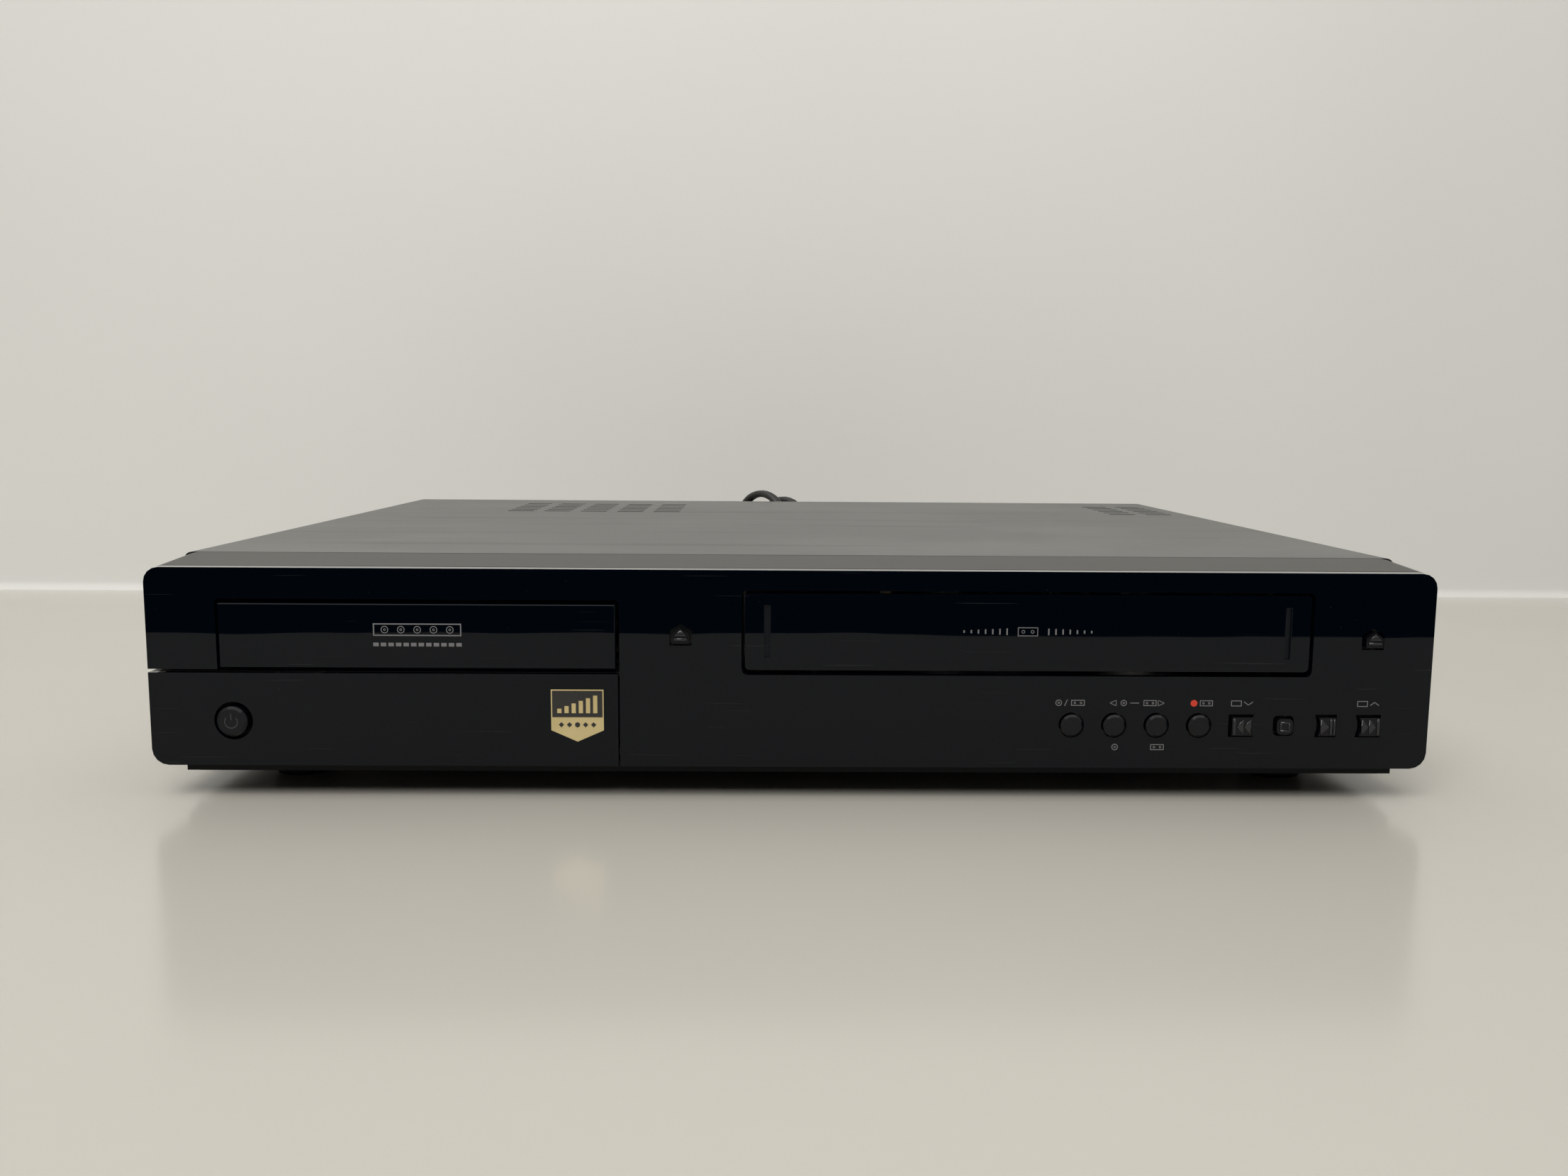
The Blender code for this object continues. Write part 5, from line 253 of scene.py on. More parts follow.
gloss = Finish("gloss_black", GLOSS_COLOUR, 0.05)
depth = gloss.y - FRONT
behind = gloss.band(depth, GLOSS_DEPTH - EDGE, GLOSS_DEPTH)
# A narrow band just behind the polished skin is painted black and made rough: painted shade in the parting
# line between the skin and the matt strip.
painted_groove_shade = gloss.inside(depth, GLOSS_DEPTH, GROOVE_END, EDGE)
grain = gloss.noise((2600, 2600, 2600), 2.0)
specks = gloss.band(gloss.spots((190, 190, 190)), 0.0, 0.045, 1.0, 0.0)
scratches = gloss.band(gloss.noise((22, 22, 1400), 1.0), 0.735, 0.75)
marred = (specks * 0.8) | (scratches * 0.35)
skin = gloss.mix(marred, GLOSS_COLOUR, DUST)
gloss.set("Base Color", gloss.mix(painted_groove_shade, gloss.mix(behind, skin, STRIP_COLOUR), BLACK))
wear = gloss.noise((40, 40, 200), 4.0)
from_middle = gloss.x - DOOR_X
near_middle = from_middle.maths("ABSOLUTE", from_middle, 0.0)
moulded = gloss.inside(near_middle, *DOOR_GROOVE_X, EDGE) * gloss.inside(gloss.z, *DOOR_GROOVE_Z, EDGE)
gloss.set("Roughness", 0.008 + 0.016 * wear + 0.40 * (behind | moulded) + 0.5 * painted_groove_shade)
gloss.set("Specular IOR Level", 0.21)
lip = gloss.band(gloss.z, LIP_Z, LIP_Z + 0.0004) * (1 - behind)
gloss.set("Coat Weight", lip)
gloss.set("Coat Roughness", 0.02)
gloss.set("Coat IOR", 1.6)
sway = gloss.noise((14, 14, 6), 1.5)
gloss.bump(sway + 0.02 * grain * behind, 0.09, 0.004)
dress(gloss, "front_bezel", "av_flap", "vcr_door", "tray_fascia")

# %% [markdown]
# ## Buttons
# The buttons are the same black plastic, a little less polished by fingers, so that their rounded rims catch
# a short highlight from the lamps.

# %% Button finish
button = Finish("button_black", (0.0022, 0.0030, 0.0045), 0.1)
button.set("Roughness", 0.07 + 0.08 * button.noise((500, 500, 500), 2.0))
button.set("Specular IOR Level", 0.25)
button.bump(button.noise((3000, 3000, 3000), 2.0), 0.05, 0.0001)
BUTTONS = [name for name in nodes if name.endswith("_button")]
dress(button, *BUTTONS)

# %% [markdown]
# ## The coated steel cover
# The cover is thin steel with a fine dark grey powder coat. Seen so flat it looks much lighter, because the
# tiny grains of the coat face the bright wall. Dust, wiped streaks and a few rubbed lines break it up.

# %% Cover finish
COAT = (0.094, 0.095, 0.091)
DUSTED = (0.124, 0.125, 0.120)
RUBBED = (0.055, 0.054, 0.050)
SPECK = (0.24, 0.24, 0.23)
# Black of the feet, also used as painted shade on the front of the pan.
FEET_BLACK_AND_SHADE = (0.004, 0.0045, 0.005)
SEAM_END = 0.0322
FOOT_TOP = 0.0061
FRONT_SHADE_DEPTH = 0.030
SOFT = 0.0002


def coated(name):
    """Powder-coated steel with a fine grain, and painted shade along its front edge."""
    finish = Finish(name, COAT, 0.45)
    patches = finish.noise((7, 11, 11), 5.0, 0.62)
    streaks = finish.noise((5, 60, 60), 4.0)
    rubbed = finish.band(streaks, 0.56, 0.70)
    colour = finish.mix(finish.band(patches, 0.42, 0.68), COAT, DUSTED)
    colour = finish.mix(rubbed * 0.22, colour, RUBBED)
    specks = finish.band(finish.spots((160, 160, 160)), 0.0, 0.06, 0.8, 0.0)
    scratches = finish.band(finish.noise((9, 300, 300), 1.0), 0.74, 0.76)
    colour = finish.mix(specks | (scratches * 0.5), colour, SPECK)
    # Where the cover meets the front moulding, a band is painted black and made rough: painted shade in the
    # gap between the two parts.
    painted_seam_shade = finish.inside(finish.y - FRONT, 0.0, SEAM_END, SOFT)
    finish.colour = finish.mix(painted_seam_shade, colour, BLACK)
    finish.set("Base Color", finish.colour)
    finish.set("Roughness", 0.43 + 0.08 * patches + 0.04 * rubbed + 0.5 * painted_seam_shade)
    finish.bump(finish.noise((2400, 2400, 2400), 3.0), 0.25, 0.0002)
    return finish


cover = coated("cover_grey")
dress(cover, "top_cover", "rear_panel")
pan = coated("pan_grey")
foot = pan.band(pan.z, FOOT_TOP - SOFT, FOOT_TOP, 1.0, 0.0)
# The pan's front, up to 30 mm behind the front face, is painted the same black: painted shade under the front
# moulding.
painted_front_shade = pan.band(pan.y - FRONT, FRONT_SHADE_DEPTH - SOFT, FRONT_SHADE_DEPTH, 1.0, 0.0)
pan.set("Base Color", pan.mix(foot | painted_front_shade, pan.colour, FEET_BLACK_AND_SHADE))
pan.set("Roughness", 0.45 + 0.25 * foot)
pan.set("Specular IOR Level", 0.12)
dress(pan, "base_pan")

# %% [markdown]
# ## Metals inside
# The mechanisms are stamped from plated steel, which keeps faint rolling lines, while shafts, heads and the
# spinning drum are ground bright. A metal's colour is its reflection, so both get a high metallic value.

# %% Metal finishes
steel = Finish("bare_steel", (0.50, 0.51, 0.52), 0.35, 1.0)
rolled = steel.noise((30, 900, 900), 3.0)
stain = steel.noise((40, 40, 40), 4.0)
steel.set("Base Color", steel.mix(stain, (0.40, 0.41, 0.42), (0.60, 0.60, 0.59)))
steel.set("Roughness", 0.26 + 0.22 * rolled)
steel.bump(rolled, 0.08, 0.0002)
STEEL_NODES = ("tray_motor", "traverse_deck", "laser_sled", "vcr_deck", "drum_base", "pinch_arm")
dress(steel, *STEEL_NODES, "loading_motor", "cassette_holder", "holder_slider", "side_frames")

bright = Finish("polished_metal", (0.74, 0.74, 0.75), 0.14, 1.0)
turned_lines = bright.noise((200, 200, 5000), 2.0)
bright.set("Roughness", 0.08 + 0.16 * turned_lines)
bright.bump(turned_lines, 0.05, 0.0001)
TAPE_PATH_NODES = ("head_drum", "capstan", "supply_guide", "takeup_guide", "erase_head", "sound_head")
dress(bright, "lead_screw", *TAPE_PATH_NODES)

# %% [markdown]
# ## Plastics, rubber and flex
# The loader and the socket bay are matt black, with the dull fine grain of a textured mould. Gears and reels
# are natural, slightly yellowish plastic. The belt and the pinch roller are plain rubber.


# %% Plastic finishes
def plain(name, colour, roughness, grain_scale, spread=0.2, metallic=0.0):
    """A dull finish with a fine grain and a slight change of colour."""
    finish = Finish(name, colour, roughness, metallic)
    clouds = finish.noise((60, 60, 60), 4.0)
    darker = tuple(value * (1 - spread) for value in colour)
    lighter = tuple(value * (1 + spread) for value in colour)
    finish.colour = finish.mix(clouds, darker, lighter)
    finish.set("Base Color", finish.colour)
    finish.set("Roughness", roughness - 0.08 + 0.16 * clouds)
    finish.bump(finish.noise((grain_scale,) * 3, 2.0), 0.15, 0.0001)
    return finish


matt = plain("matte_black", (0.016, 0.016, 0.017), 0.55, 2600)
dress(matt, "jack_recess", "disc_tray", "loader_frame", "fan_frame", "fan_rotor")
pale = plain("pale_plastic", (0.60, 0.58, 0.53), 0.45, 1500, 0.06)
PALE_NODES = ("tray_gear", "tray_motor_pulley", "disc_clamp", "turntable", "supply_reel", "takeup_reel")
dress(pale, *PALE_NODES, "mode_cam")
rubber = plain("rubber", (0.020, 0.020, 0.020), 0.8, 900)
dress(rubber, "tray_belt", "pinch_roller")
flex = plain("flex", (0.014, 0.014, 0.015), 0.42, 1800)
dress(flex, "cord_relief", "cord_tie")

# %% [markdown]
# ## Circuit boards
# A board and what stands on it are one solid here, so the finish looks at the height: the flat laminate is
# green or brown with a pattern of copper tracks, and whatever rises above it is dark moulded or metal.

# %% Board colours
BOARD_TOP = 0.0158
BOARD_EDGE_Z = 0.0400
GREEN_LAMINATE = (0.012, 0.075, 0.03)
GREEN_TRACK = (0.03, 0.14, 0.06)
BROWN_LAMINATE = (0.26, 0.16, 0.07)
BROWN_TRACK = (0.40, 0.27, 0.13)
DARK_LAMINATE = (0.11, 0.065, 0.03)
BLACK_PART = (0.015, 0.015, 0.016)
GREY_PART = (0.045, 0.045, 0.047)
WINDING_PART = (0.20, 0.17, 0.10)
TRACK_SCALE = 260.0


# %% Board finishes
def board(name, laminate, track, *parts_colours):
    """A circuit board whose parts stand above its top."""
    finish = Finish(name, laminate, 0.4)
    raised = finish.band(finish.z, BOARD_TOP, BOARD_TOP + SOFT)
    values = {"Vector": finish.stretched((1, 1, 1)), "Scale": TRACK_SCALE}
    lines = finish.node("ShaderNodeTexBrick", {}, values, "Fac")
    blots = finish.band(finish.noise((300, 300, 300), 2.0), 0.5, 0.56)
    base = finish.mix(lines * 0.6 + blots * 0.4, laminate, track)
    sections = finish.noise((70, 70, 20), 1.0)
    parts = finish.mix(finish.band(sections, 0.50, 0.52), *parts_colours)
    finish.set("Base Color", finish.mix(raised, base, parts))
    finish.set("Roughness", 0.38 + 0.2 * sections)
    finish.bump(finish.noise((1500, 1500, 1500), 2.0), 0.1, 0.0001)
    return finish


dress(board("green_board", GREEN_LAMINATE, GREEN_TRACK, BLACK_PART, GREY_PART), "main_board")
dress(board("supply_board", BROWN_LAMINATE, BROWN_TRACK, BLACK_PART, WINDING_PART), "power_board")
front_laminate = plain("brown_board", DARK_LAMINATE, 0.5, 900)
edge = front_laminate.band(front_laminate.z, BOARD_EDGE_Z, BOARD_EDGE_Z + SOFT)
front_laminate.set("Base Color", front_laminate.mix(edge, front_laminate.colour, BLACK))
dress(front_laminate, "front_board")

# %% [markdown]
# ## Socket boards
# A board and its sockets are one solid too. Phono and aerial sockets are nickel-plated sleeves, and the other
# ones are black plastic, so the finish goes by the place across the case and by the depth of the board.

# %% Socket finishes
NICKEL = (0.68, 0.66, 0.61)
STAINED_NICKEL = (0.58, 0.56, 0.50)
SOCKET_BLACK = (0.012, 0.012, 0.013)
REAR_PLASTIC = [(0.0605, 0.0985)]
FRONT_PLASTIC = [(-0.200, -0.1610), (-0.1060, -0.0940)]
REAR_LAMINATE_DEPTHS = (0.30, 0.3412)
FRONT_LAMINATE_DEPTHS = (0.0284, 0.0310)


def socket_board(name, plastic_places, laminate_depths):
    """Plated sockets, black ones at some places across, and the laminate between two depths."""
    finish = Finish(name, NICKEL, 0.3, 1.0)
    laminate = finish.inside(finish.y - FRONT, *laminate_depths, EDGE)
    plastic = laminate
    for low, high in plastic_places:
        plastic = plastic | finish.inside(finish.x, low, high, SOFT)
    stain = finish.noise((300, 300, 300), 2.0)
    plated = finish.mix(stain, NICKEL, STAINED_NICKEL)
    dull = finish.mix(laminate, SOCKET_BLACK, DARK_LAMINATE)
    finish.set("Base Color", finish.mix(plastic, plated, dull))
    finish.set("Metallic", 1 - plastic)
    finish.set("Roughness", 0.24 + 0.16 * stain + 0.2 * plastic)
    return finish


dress(socket_board("rear_jacks", REAR_PLASTIC, REAR_LAMINATE_DEPTHS), "rear_sockets")
dress(socket_board("front_jacks", FRONT_PLASTIC, FRONT_LAMINATE_DEPTHS), "jack_board")

# %% [markdown]
# ## Making shapes
# The small pieces are all plates, strokes, rings and turned forms. A plate is one face pushed to a
# thickness; a turned form is a profile spun once round. Each helper adds to a bmesh, so that several shapes
# can share one piece.

# %% Plates and strokes
MERGE = 0.000002


def push(shape, pushed, vector):
    """Moves the new end of an extrusion along a vector."""
    moved = [item for item in pushed["geom"] if isinstance(item, bmesh.types.BMVert)]
    bmesh.ops.translate(shape, verts=moved, vec=vector)


def extrude(shape, outline, vector):
    """Pushes a flat outline along a vector, as a closed solid."""
    face = shape.faces.new([shape.verts.new(point) for point in outline])
    push(shape, bmesh.ops.extrude_face_region(shape, geom=[face]), vector)


def plate(shape, outline, depth, thickness):
    """A plate from an outline of (x, z) points, standing proud of a depth behind the front face."""
    extrude(shape, [at(x, depth, z) for x, z in outline], (0, -thickness, 0))
    return shape


def block(x, z, width, height):
    """A rectangle's outline round an (x, z) place."""
    corners = ((-1, -1), (1, -1), (1, 1), (-1, 1))
    return [(x + across * width / 2, z + rise * height / 2) for across, rise in corners]


def triangle(x, z, width, height, side):
    """A triangle's outline, pointing left (-1) or right (1)."""
    base = x - side * width / 2
    return [(base, z - height / 2), (base, z + height / 2), (x + side * width / 2, z)]


def stroke(shape, start, end, width, depth, thickness):
    """A straight stroke between two (x, z) points."""
    along = Vector(end) - Vector(start)
    side = Vector((-along.y, along.x)).normalized() * width / 2
    corners = [Vector(start) + side, Vector(end) + side, Vector(end) - side, Vector(start) - side]
    plate(shape, corners, depth, thickness)


# %% Round forms
FULL_TURN = 2 * math.pi
ACROSS = Vector((1, 0, 0))
BACK = Vector((0, 1, 0))


def turned(shape, profile, centre, sides, along=BACK, outwards=ACROSS):
    """A round form from a profile of (radius, distance along the axis) points."""
    verts = [shape.verts.new(centre + outwards * radius + along * far) for radius, far in profile]
    loop = zip(verts, [*verts[1:], verts[0]]) if profile[0][0] > 0 else zip(verts, verts[1:])
    edges = [shape.edges.new(pair) for pair in loop]
    geom = verts + edges
    bmesh.ops.spin(shape, geom=geom, cent=centre, axis=along, angle=FULL_TURN, steps=sides, use_merge=True)


def ring(shape, x, z, outer, width, depth, thickness, sides):
    """A flat ring round an (x, z) place."""
    inner = outer - width
    profile = [(inner, 0), (inner, -thickness), (outer, -thickness), (outer, 0)]
    turned(shape, profile, at(x, depth, z), sides)


def disc(shape, x, z, radius, depth, thickness, sides=20):
    """A flat round plate, or with few sides a diamond."""
    angles = [FULL_TURN * number / sides for number in range(sides)]
    outline = [(x + radius * math.cos(angle), z + radius * math.sin(angle)) for angle in angles]
    return plate(shape, outline, depth, thickness)


# %% From a shape to a piece
def link(name, data):
    """An object in the scene."""
    made = bpy.data.objects.new(name, data)
    bpy.context.scene.collection.objects.link(made)
    return made


def solid(name, shape, finish, rounded):
    """Turns a bmesh into an object with a finish; a rounded one is shaded smooth."""
    mesh = bpy.data.meshes.new(name)
    shape.to_mesh(mesh)
    shape.free()
    mesh.materials.append(finish.material)
    for face in mesh.polygons:
        face.use_smooth = rounded
    return link(name, mesh)


def piece(name, shape, body, finish, rounded=False):
    """Turns a bmesh into a piece that rides on a body."""
    bmesh.ops.remove_doubles(shape, verts=shape.verts, dist=MERGE)
    bmesh.ops.recalc_face_normals(shape, faces=shape.faces)
    made = solid(name, shape, finish, rounded)
    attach(made, body)
    print(f"{name}: {len(made.data.polygons)} faces on {body}")
    return made


# %% [markdown]
# ## The mains lead
# The lead leaves the back through a strain relief, drops to the table and ends in a hank: a bundle of long
# loops that somebody wound and tied so that it could stand behind the case. Two of its loops look over the
# cover's rear edge. The lead is flat, two cores side by side, so the tube is swept with a flat section that
# keeps its broad side along the hank's axis. Its route repeats the one of the solids.

# %% Measures of the lead
LEAD_WIDTH = 0.0058
LEAD_THICKNESS = 0.0040
LEAD_STEP = 0.004
FREE_ROUTE = [
    (-0.1180, 0.3736, 0.0300),
    (-0.1180, 0.3800, 0.0296),
    (-0.1163, 0.3880, 0.0275),
    (-0.1110, 0.3975, 0.0225),
    (-0.1030, 0.4050, 0.0160),
    (-0.0930, 0.4103, 0.0100),
    (-0.0820, 0.4130, 0.0058),
    (-0.0715, 0.4130, 0.0038),
    (-0.0610, 0.4105, 0.0032),
    (-0.0510, 0.4056, 0.0032),
    (-0.0420, 0.3983, 0.0032),
    (-0.0340, 0.3902, 0.0032),
    (-0.0262, 0.3821, 0.0032),
]
HANK_X = -0.012
HANK_DEPTH = 0.3675
HANK_TURN = math.radians(46)
TURN_PITCH = 0.0070
LAYER_PITCH = 0.0066
INNER_RADIUS = 0.0146
RUN_HALF = 0.0140
LAYER_TURNS = 1.275
CLIMB_TURNS = 0.3
LAYERS = 4
TURN_POINTS = 24
WAIST = 0.0024
FIRST_RISE = 0.0095
LAST_RISE = 0.0050
LEAD_LEVEL = 0.0032
TAIL_RADIUS = 0.030
TAIL_STEPS = 6
PLUG_LEVEL = 0.0078
ALL_TURNS = LAYERS * LAYER_TURNS + (LAYERS - 1) * CLIMB_TURNS
HANK_MIDDLE = LEAD_LEVEL + INNER_RADIUS + TURN_PITCH * LAYER_TURNS + RUN_HALF
HANK_HEADING = Vector((math.cos(HANK_TURN), -math.sin(HANK_TURN), 0))
HANK_AXIS = Vector((math.sin(HANK_TURN), math.cos(HANK_TURN), 0))

# %% [markdown]
# ## Winding the hank
# A layer spirals inwards, the lead climbs to the next layer, and that one spirals outwards. A turn is half a
# circle at the foot, a straight run up, half a circle at the top and a run down. The first and the last turn
# reach higher than the others, and a tie draws the runs in at the waist.


# %% Route of the lead
def hank_place(x, across, z):
    """A point of the hank, which stands turned behind the case."""
    return at(HANK_X, HANK_DEPTH, HANK_MIDDLE + z) + x * HANK_HEADING + across * HANK_AXIS


def winding(turn):
    """The winding after some turns: its point as (x, place across the layers, z)."""
    cycle = LAYER_TURNS + CLIMB_TURNS
    layer = min(LAYERS - 1, int(turn / cycle))
    along = turn - layer * cycle
    wound = min(along, LAYER_TURNS)
    climb = max(0.0, along - LAYER_TURNS) / CLIMB_TURNS
    reach = LAYER_TURNS - wound if layer % 2 == 0 else wound
    radius = INNER_RADIUS + TURN_PITCH * reach
    depth = (layer + climb * climb * (3 - 2 * climb)) * LAYER_PITCH
    number = int(turn)
    rise = {0: FIRST_RISE, round(ALL_TURNS) - 1: LAST_RISE}.get(number, 0.0)
    part = 4 * (turn - number)
    run = 2 * RUN_HALF + rise
    if part < 1 / 2 or part >= 7 / 2:
        angle = (part - 1 / 2) * math.pi
        x, z = radius * math.cos(angle), radius * math.sin(angle) - RUN_HALF
    elif part < 3 / 2:
        x, z = radius, -RUN_HALF + (part - 1 / 2) * run
    elif part < 5 / 2:
        angle = (part - 3 / 2) * math.pi
        x, z = radius * math.cos(angle), radius * math.sin(angle) + RUN_HALF + rise
    else:
        x, z = -radius, RUN_HALF + rise - (part - 5 / 2) * run
    if abs(z) < RUN_HALF:
        x -= math.copysign(WAIST * math.cos(math.pi * z / (2 * RUN_HALF)) ** 2, x)
    return x, depth, z


def hank_route():
    """Points of the hank and of the tail that leads from it to the plug."""
    count = round(ALL_TURNS * TURN_POINTS)
    flat = [winding(ALL_TURNS * step / count) for step in range(count + 1)]
    flat[-1] = (0.0, (LAYERS - 1) * LAYER_PITCH, flat[0][2])
    points = [hank_place(*point) for point in [(-LEAD_WIDTH, 0.0, flat[0][2]), *flat]]
    last = points[-1]
    for step in range(1, TAIL_STEPS + 1):
        share = step / TAIL_STEPS
        angle = HANK_TURN * share
        rise = (PLUG_LEVEL - LEAD_LEVEL) * share * share * (3 - 2 * share)
        bend = TAIL_RADIUS * (math.sin(angle) * HANK_HEADING + (1 - math.cos(angle)) * HANK_AXIS)
        points.append(last + bend + Vector((0, 0, rise)))
    points.append(points[-1] + Vector((LEAD_WIDTH, 0, 0)))
    return points


def smooth(points):
    """Points about one step apart on a curve through the given ones."""
    fine = []
    padded = [2 * points[0] - points[1], *points, 2 * points[-1] - points[-2]]
    for before, start, end, after in zip(padded, padded[1:], padded[2:], padded[3:]):
        count = max(1, round((end - start).length / LEAD_STEP))
        for number in range(count):
            t = number / count
            cubic = 3 * start - before - 3 * end + after
            square = 2 * before - 5 * start + 4 * end - after
            fine.append((2 * start + (end - before) * t + square * t**2 + cubic * t**3) / 2)
    return [*fine, points[-1]]


lead_route = smooth([*(at(*point) for point in FREE_ROUTE), *hank_route()])
lead_length = sum((b - a).length for a, b in zip(lead_route, lead_route[1:]))
print(f"lead: {len(lead_route)} points, {lead_length:.3f} m")

# %% [markdown]
# ## A flat section along the route
# At each point of the route stands one outline of the flat lead: two round cores joined by a thin web. Its
# broad side has to lie along the hank's axis in the winding and turn slowly to lie flat elsewhere, so each
# outline is set by the route's direction and by one guiding direction. Neighbouring outlines are bridged.

# %% Sweep the lead
CORE_SIDES = 6
WEB_SHARE = 0.72
FREE_GUIDE = Vector((0.5, 0.5, 0.1))
TWIST_POINTS = 12


def lead_section():
    """Outline of the flat lead as (broad, thin) points: two round edges and a web drawn in between."""
    core = LEAD_THICKNESS / 2
    offset = LEAD_WIDTH / 2 - core
    points = []
    for side in (1, -1):
        for number in range(CORE_SIDES + 1):
            angle = math.pi * (number / CORE_SIDES - 1 / 2)
            points.append((side * (offset + core * math.cos(angle)), side * core * math.sin(angle)))
        points.append((0.0, side * core * WEB_SHARE))
    return points


def sweep(route):
    """Bridges one section per route point into a closed tube."""
    shape = bmesh.new()
    section = lead_section()
    twist_from = sum(1 for point in route if point.x < at(*FREE_ROUTE[-1]).x) - TWIST_POINTS
    loops = []
    for number, point in enumerate(route):
        ahead = (route[min(len(route) - 1, number + 1)] - route[max(0, number - 1)]).normalized()
        share = min(1.0, max(0.0, (number - twist_from) / TWIST_POINTS))
        guide = (HANK_AXIS * share + FREE_GUIDE * (1 - share)).normalized()
        broad = (guide - guide.dot(ahead) * ahead).normalized()
        thin = ahead.cross(broad)
        verts = [shape.verts.new(point + broad * a + thin * b) for a, b in section]
        loops.append([shape.edges.new(pair) for pair in zip(verts, [*verts[1:], verts[0]])])
        if number in (0, len(route) - 1):
            shape.faces.new(verts)
    for first, second in zip(loops, loops[1:]):
        bmesh.ops.bridge_loops(shape, edges=first + second)
    return shape


lead = piece("mains_lead", sweep(lead_route), "chassis", flex, rounded=True)
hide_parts("power_cord", "cord_hank")

# %% [markdown]
# ## The plug
# The plug's body is the same flexible black plastic, and its two blades are plated brass. They are one solid,
# so the finish changes where the blades leave the body.

# %% Plug finish
BLADE_LENGTH = 0.0170
BLADES_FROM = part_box("mains_plug")[1].x - BLADE_LENGTH + EDGE
BRASS = (0.72, 0.66, 0.50)
plug_finish = plain("plug_flex", (0.014, 0.014, 0.015), 0.42, 1800)
blade = plug_finish.band(plug_finish.x, BLADES_FROM, BLADES_FROM + SOFT)
plug_finish.set("Base Color", plug_finish.mix(blade, plug_finish.colour, BRASS))
plug_finish.set("Metallic", blade)
plug_finish.set("Roughness", 0.45 - 0.2 * blade)
dress(plug_finish, "mains_plug")
at(*FREE_ROUTE[0])

# %% [markdown]
# ## Printed marks
# The real panel is printed in thin light grey. Words would tie the part to one maker, so the same places hold
# plain signs that anybody may use: a ring for a disc, a box with two hubs for a cassette, arrows and a red
# dot for recording. They are shallow relief, a twentieth of a millimetre, so that the export keeps them.

# %% Ink and signs
INK = 0.00005
LINE = 0.00026
THIN = 0.8 * LINE
ink = plain("panel_ink", (0.16, 0.16, 0.165), 0.5, 3000, 0.05)
red_ink = plain("red_ink", (0.62, 0.045, 0.02), 0.5, 3000, 0.05)


def disc_sign(shape, x, z, size, depth=0.0):
    """A ring with a small hub: a disc."""
    ring(shape, x, z, size / 2, LINE, depth, INK, 20)
    ring(shape, x, z, size / 6, THIN, depth, INK, 12)


def frame_sign(shape, x, z, width, height, depth=0.0, line=LINE):
    """A rectangle drawn with four bars."""
    for side in (-1, 1):
        level = z + side * (height - line) / 2
        plate(shape, block(x, level, width, line), depth, INK)
        upright = x + side * (width - line) / 2
        plate(shape, block(upright, z, line, height - 2 * line), depth, INK)


def tape_sign(shape, x, z, width, height, depth=0.0):
    """A box with two hubs: a cassette."""
    frame_sign(shape, x, z, width, height, depth)
    for side in (-1, 1):
        ring(shape, x + side * width / 4.4, z, height / 5, THIN, depth, INK, 12)


def triangle_sign(shape, x, z, width, height, side):
    """A triangle drawn with three strokes, pointing left or right."""
    corners = triangle(x, z, width, height, side)
    for start, end in zip(corners, [*corners[1:], corners[0]]):
        stroke(shape, start, end, THIN, 0.0, INK)


def chevron_sign(shape, x, z, width, height, side):
    """An open arrow pointing up or down."""
    tip = (x, z + side * height / 2)
    for end in (-1, 1):
        stroke(shape, tip, (x + end * width / 2, z - side * height / 2), LINE, 0.0, INK)


def row(middle, count, pitch):
    """Places of a row that is centred on its middle."""
    return [middle + (number - (count - 1) / 2) * pitch for number in range(count)]


# %% [markdown]
# ## Marks on the panel
# Over the buttons stand, from the left: disc or cassette, the two copying directions, record, and the two
# channel steps. Below the two copying buttons are the sources they copy from.

# %% Panel marks
UPPER_Z = 0.03445
LOWER_Z = 0.01925
DISC_SIZE = 0.0022
SMALL_DISC = 0.0021
TAPE_SIZE = (0.0046, 0.0020)
SMALL_TAPE = (0.0044, 0.0020)
COPY_ARROW = (0.0021, 0.0019)
SLASH_HALF = 0.0011
CHANNEL_BOX = (0.0036, 0.0020)
CHANNEL_ARROW = (0.0030, 0.0011)
CHANNEL_STEP = 0.0041
RECORD_X = 0.1349
RECORD_RADIUS = 0.00115

marks = bmesh.new()
disc_sign(marks, 0.0891, UPPER_Z, DISC_SIZE)
stroke(marks, (0.0911, UPPER_Z - SLASH_HALF), (0.0920, UPPER_Z + SLASH_HALF), LINE, 0.0, INK)
tape_sign(marks, 0.0956, UPPER_Z, *TAPE_SIZE)
triangle_sign(marks, 0.1075, UPPER_Z, *COPY_ARROW, -1)
disc_sign(marks, 0.1111, UPPER_Z, SMALL_DISC)
stroke(marks, (0.1133, UPPER_Z), (0.1163, UPPER_Z), LINE, 0.0, INK)
tape_sign(marks, 0.1200, UPPER_Z, *SMALL_TAPE)
triangle_sign(marks, 0.1238, UPPER_Z, *COPY_ARROW, 1)
tape_sign(marks, 0.1391, UPPER_Z, *SMALL_TAPE)
for x, side in ((0.1493, -1), (0.1922, 1)):
    frame_sign(marks, x, UPPER_Z, *CHANNEL_BOX)
    chevron_sign(marks, x + CHANNEL_STEP, UPPER_Z, *CHANNEL_ARROW, side)
disc_sign(marks, 0.1086, LOWER_Z, DISC_SIZE)
tape_sign(marks, 0.1230, LOWER_Z, *TAPE_SIZE)
piece("panel_marks", marks, "chassis", ink)
dot = disc(bmesh.new(), RECORD_X, UPPER_Z, RECORD_RADIUS, 0.0, INK)
piece("record_dot", dot, "chassis", red_ink)

# %% [markdown]
# ## Marks on the tray
# The tray front carries a framed row of discs over a row of short bars, where the real one is printed.

# %% Tray marks
TRAY_MARK_X = -0.12545
TRAY_SIGN_Z = 0.0583
TRAY_BAR_Z = 0.0533
TRAY_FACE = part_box("tray_fascia")[0].y - FRONT

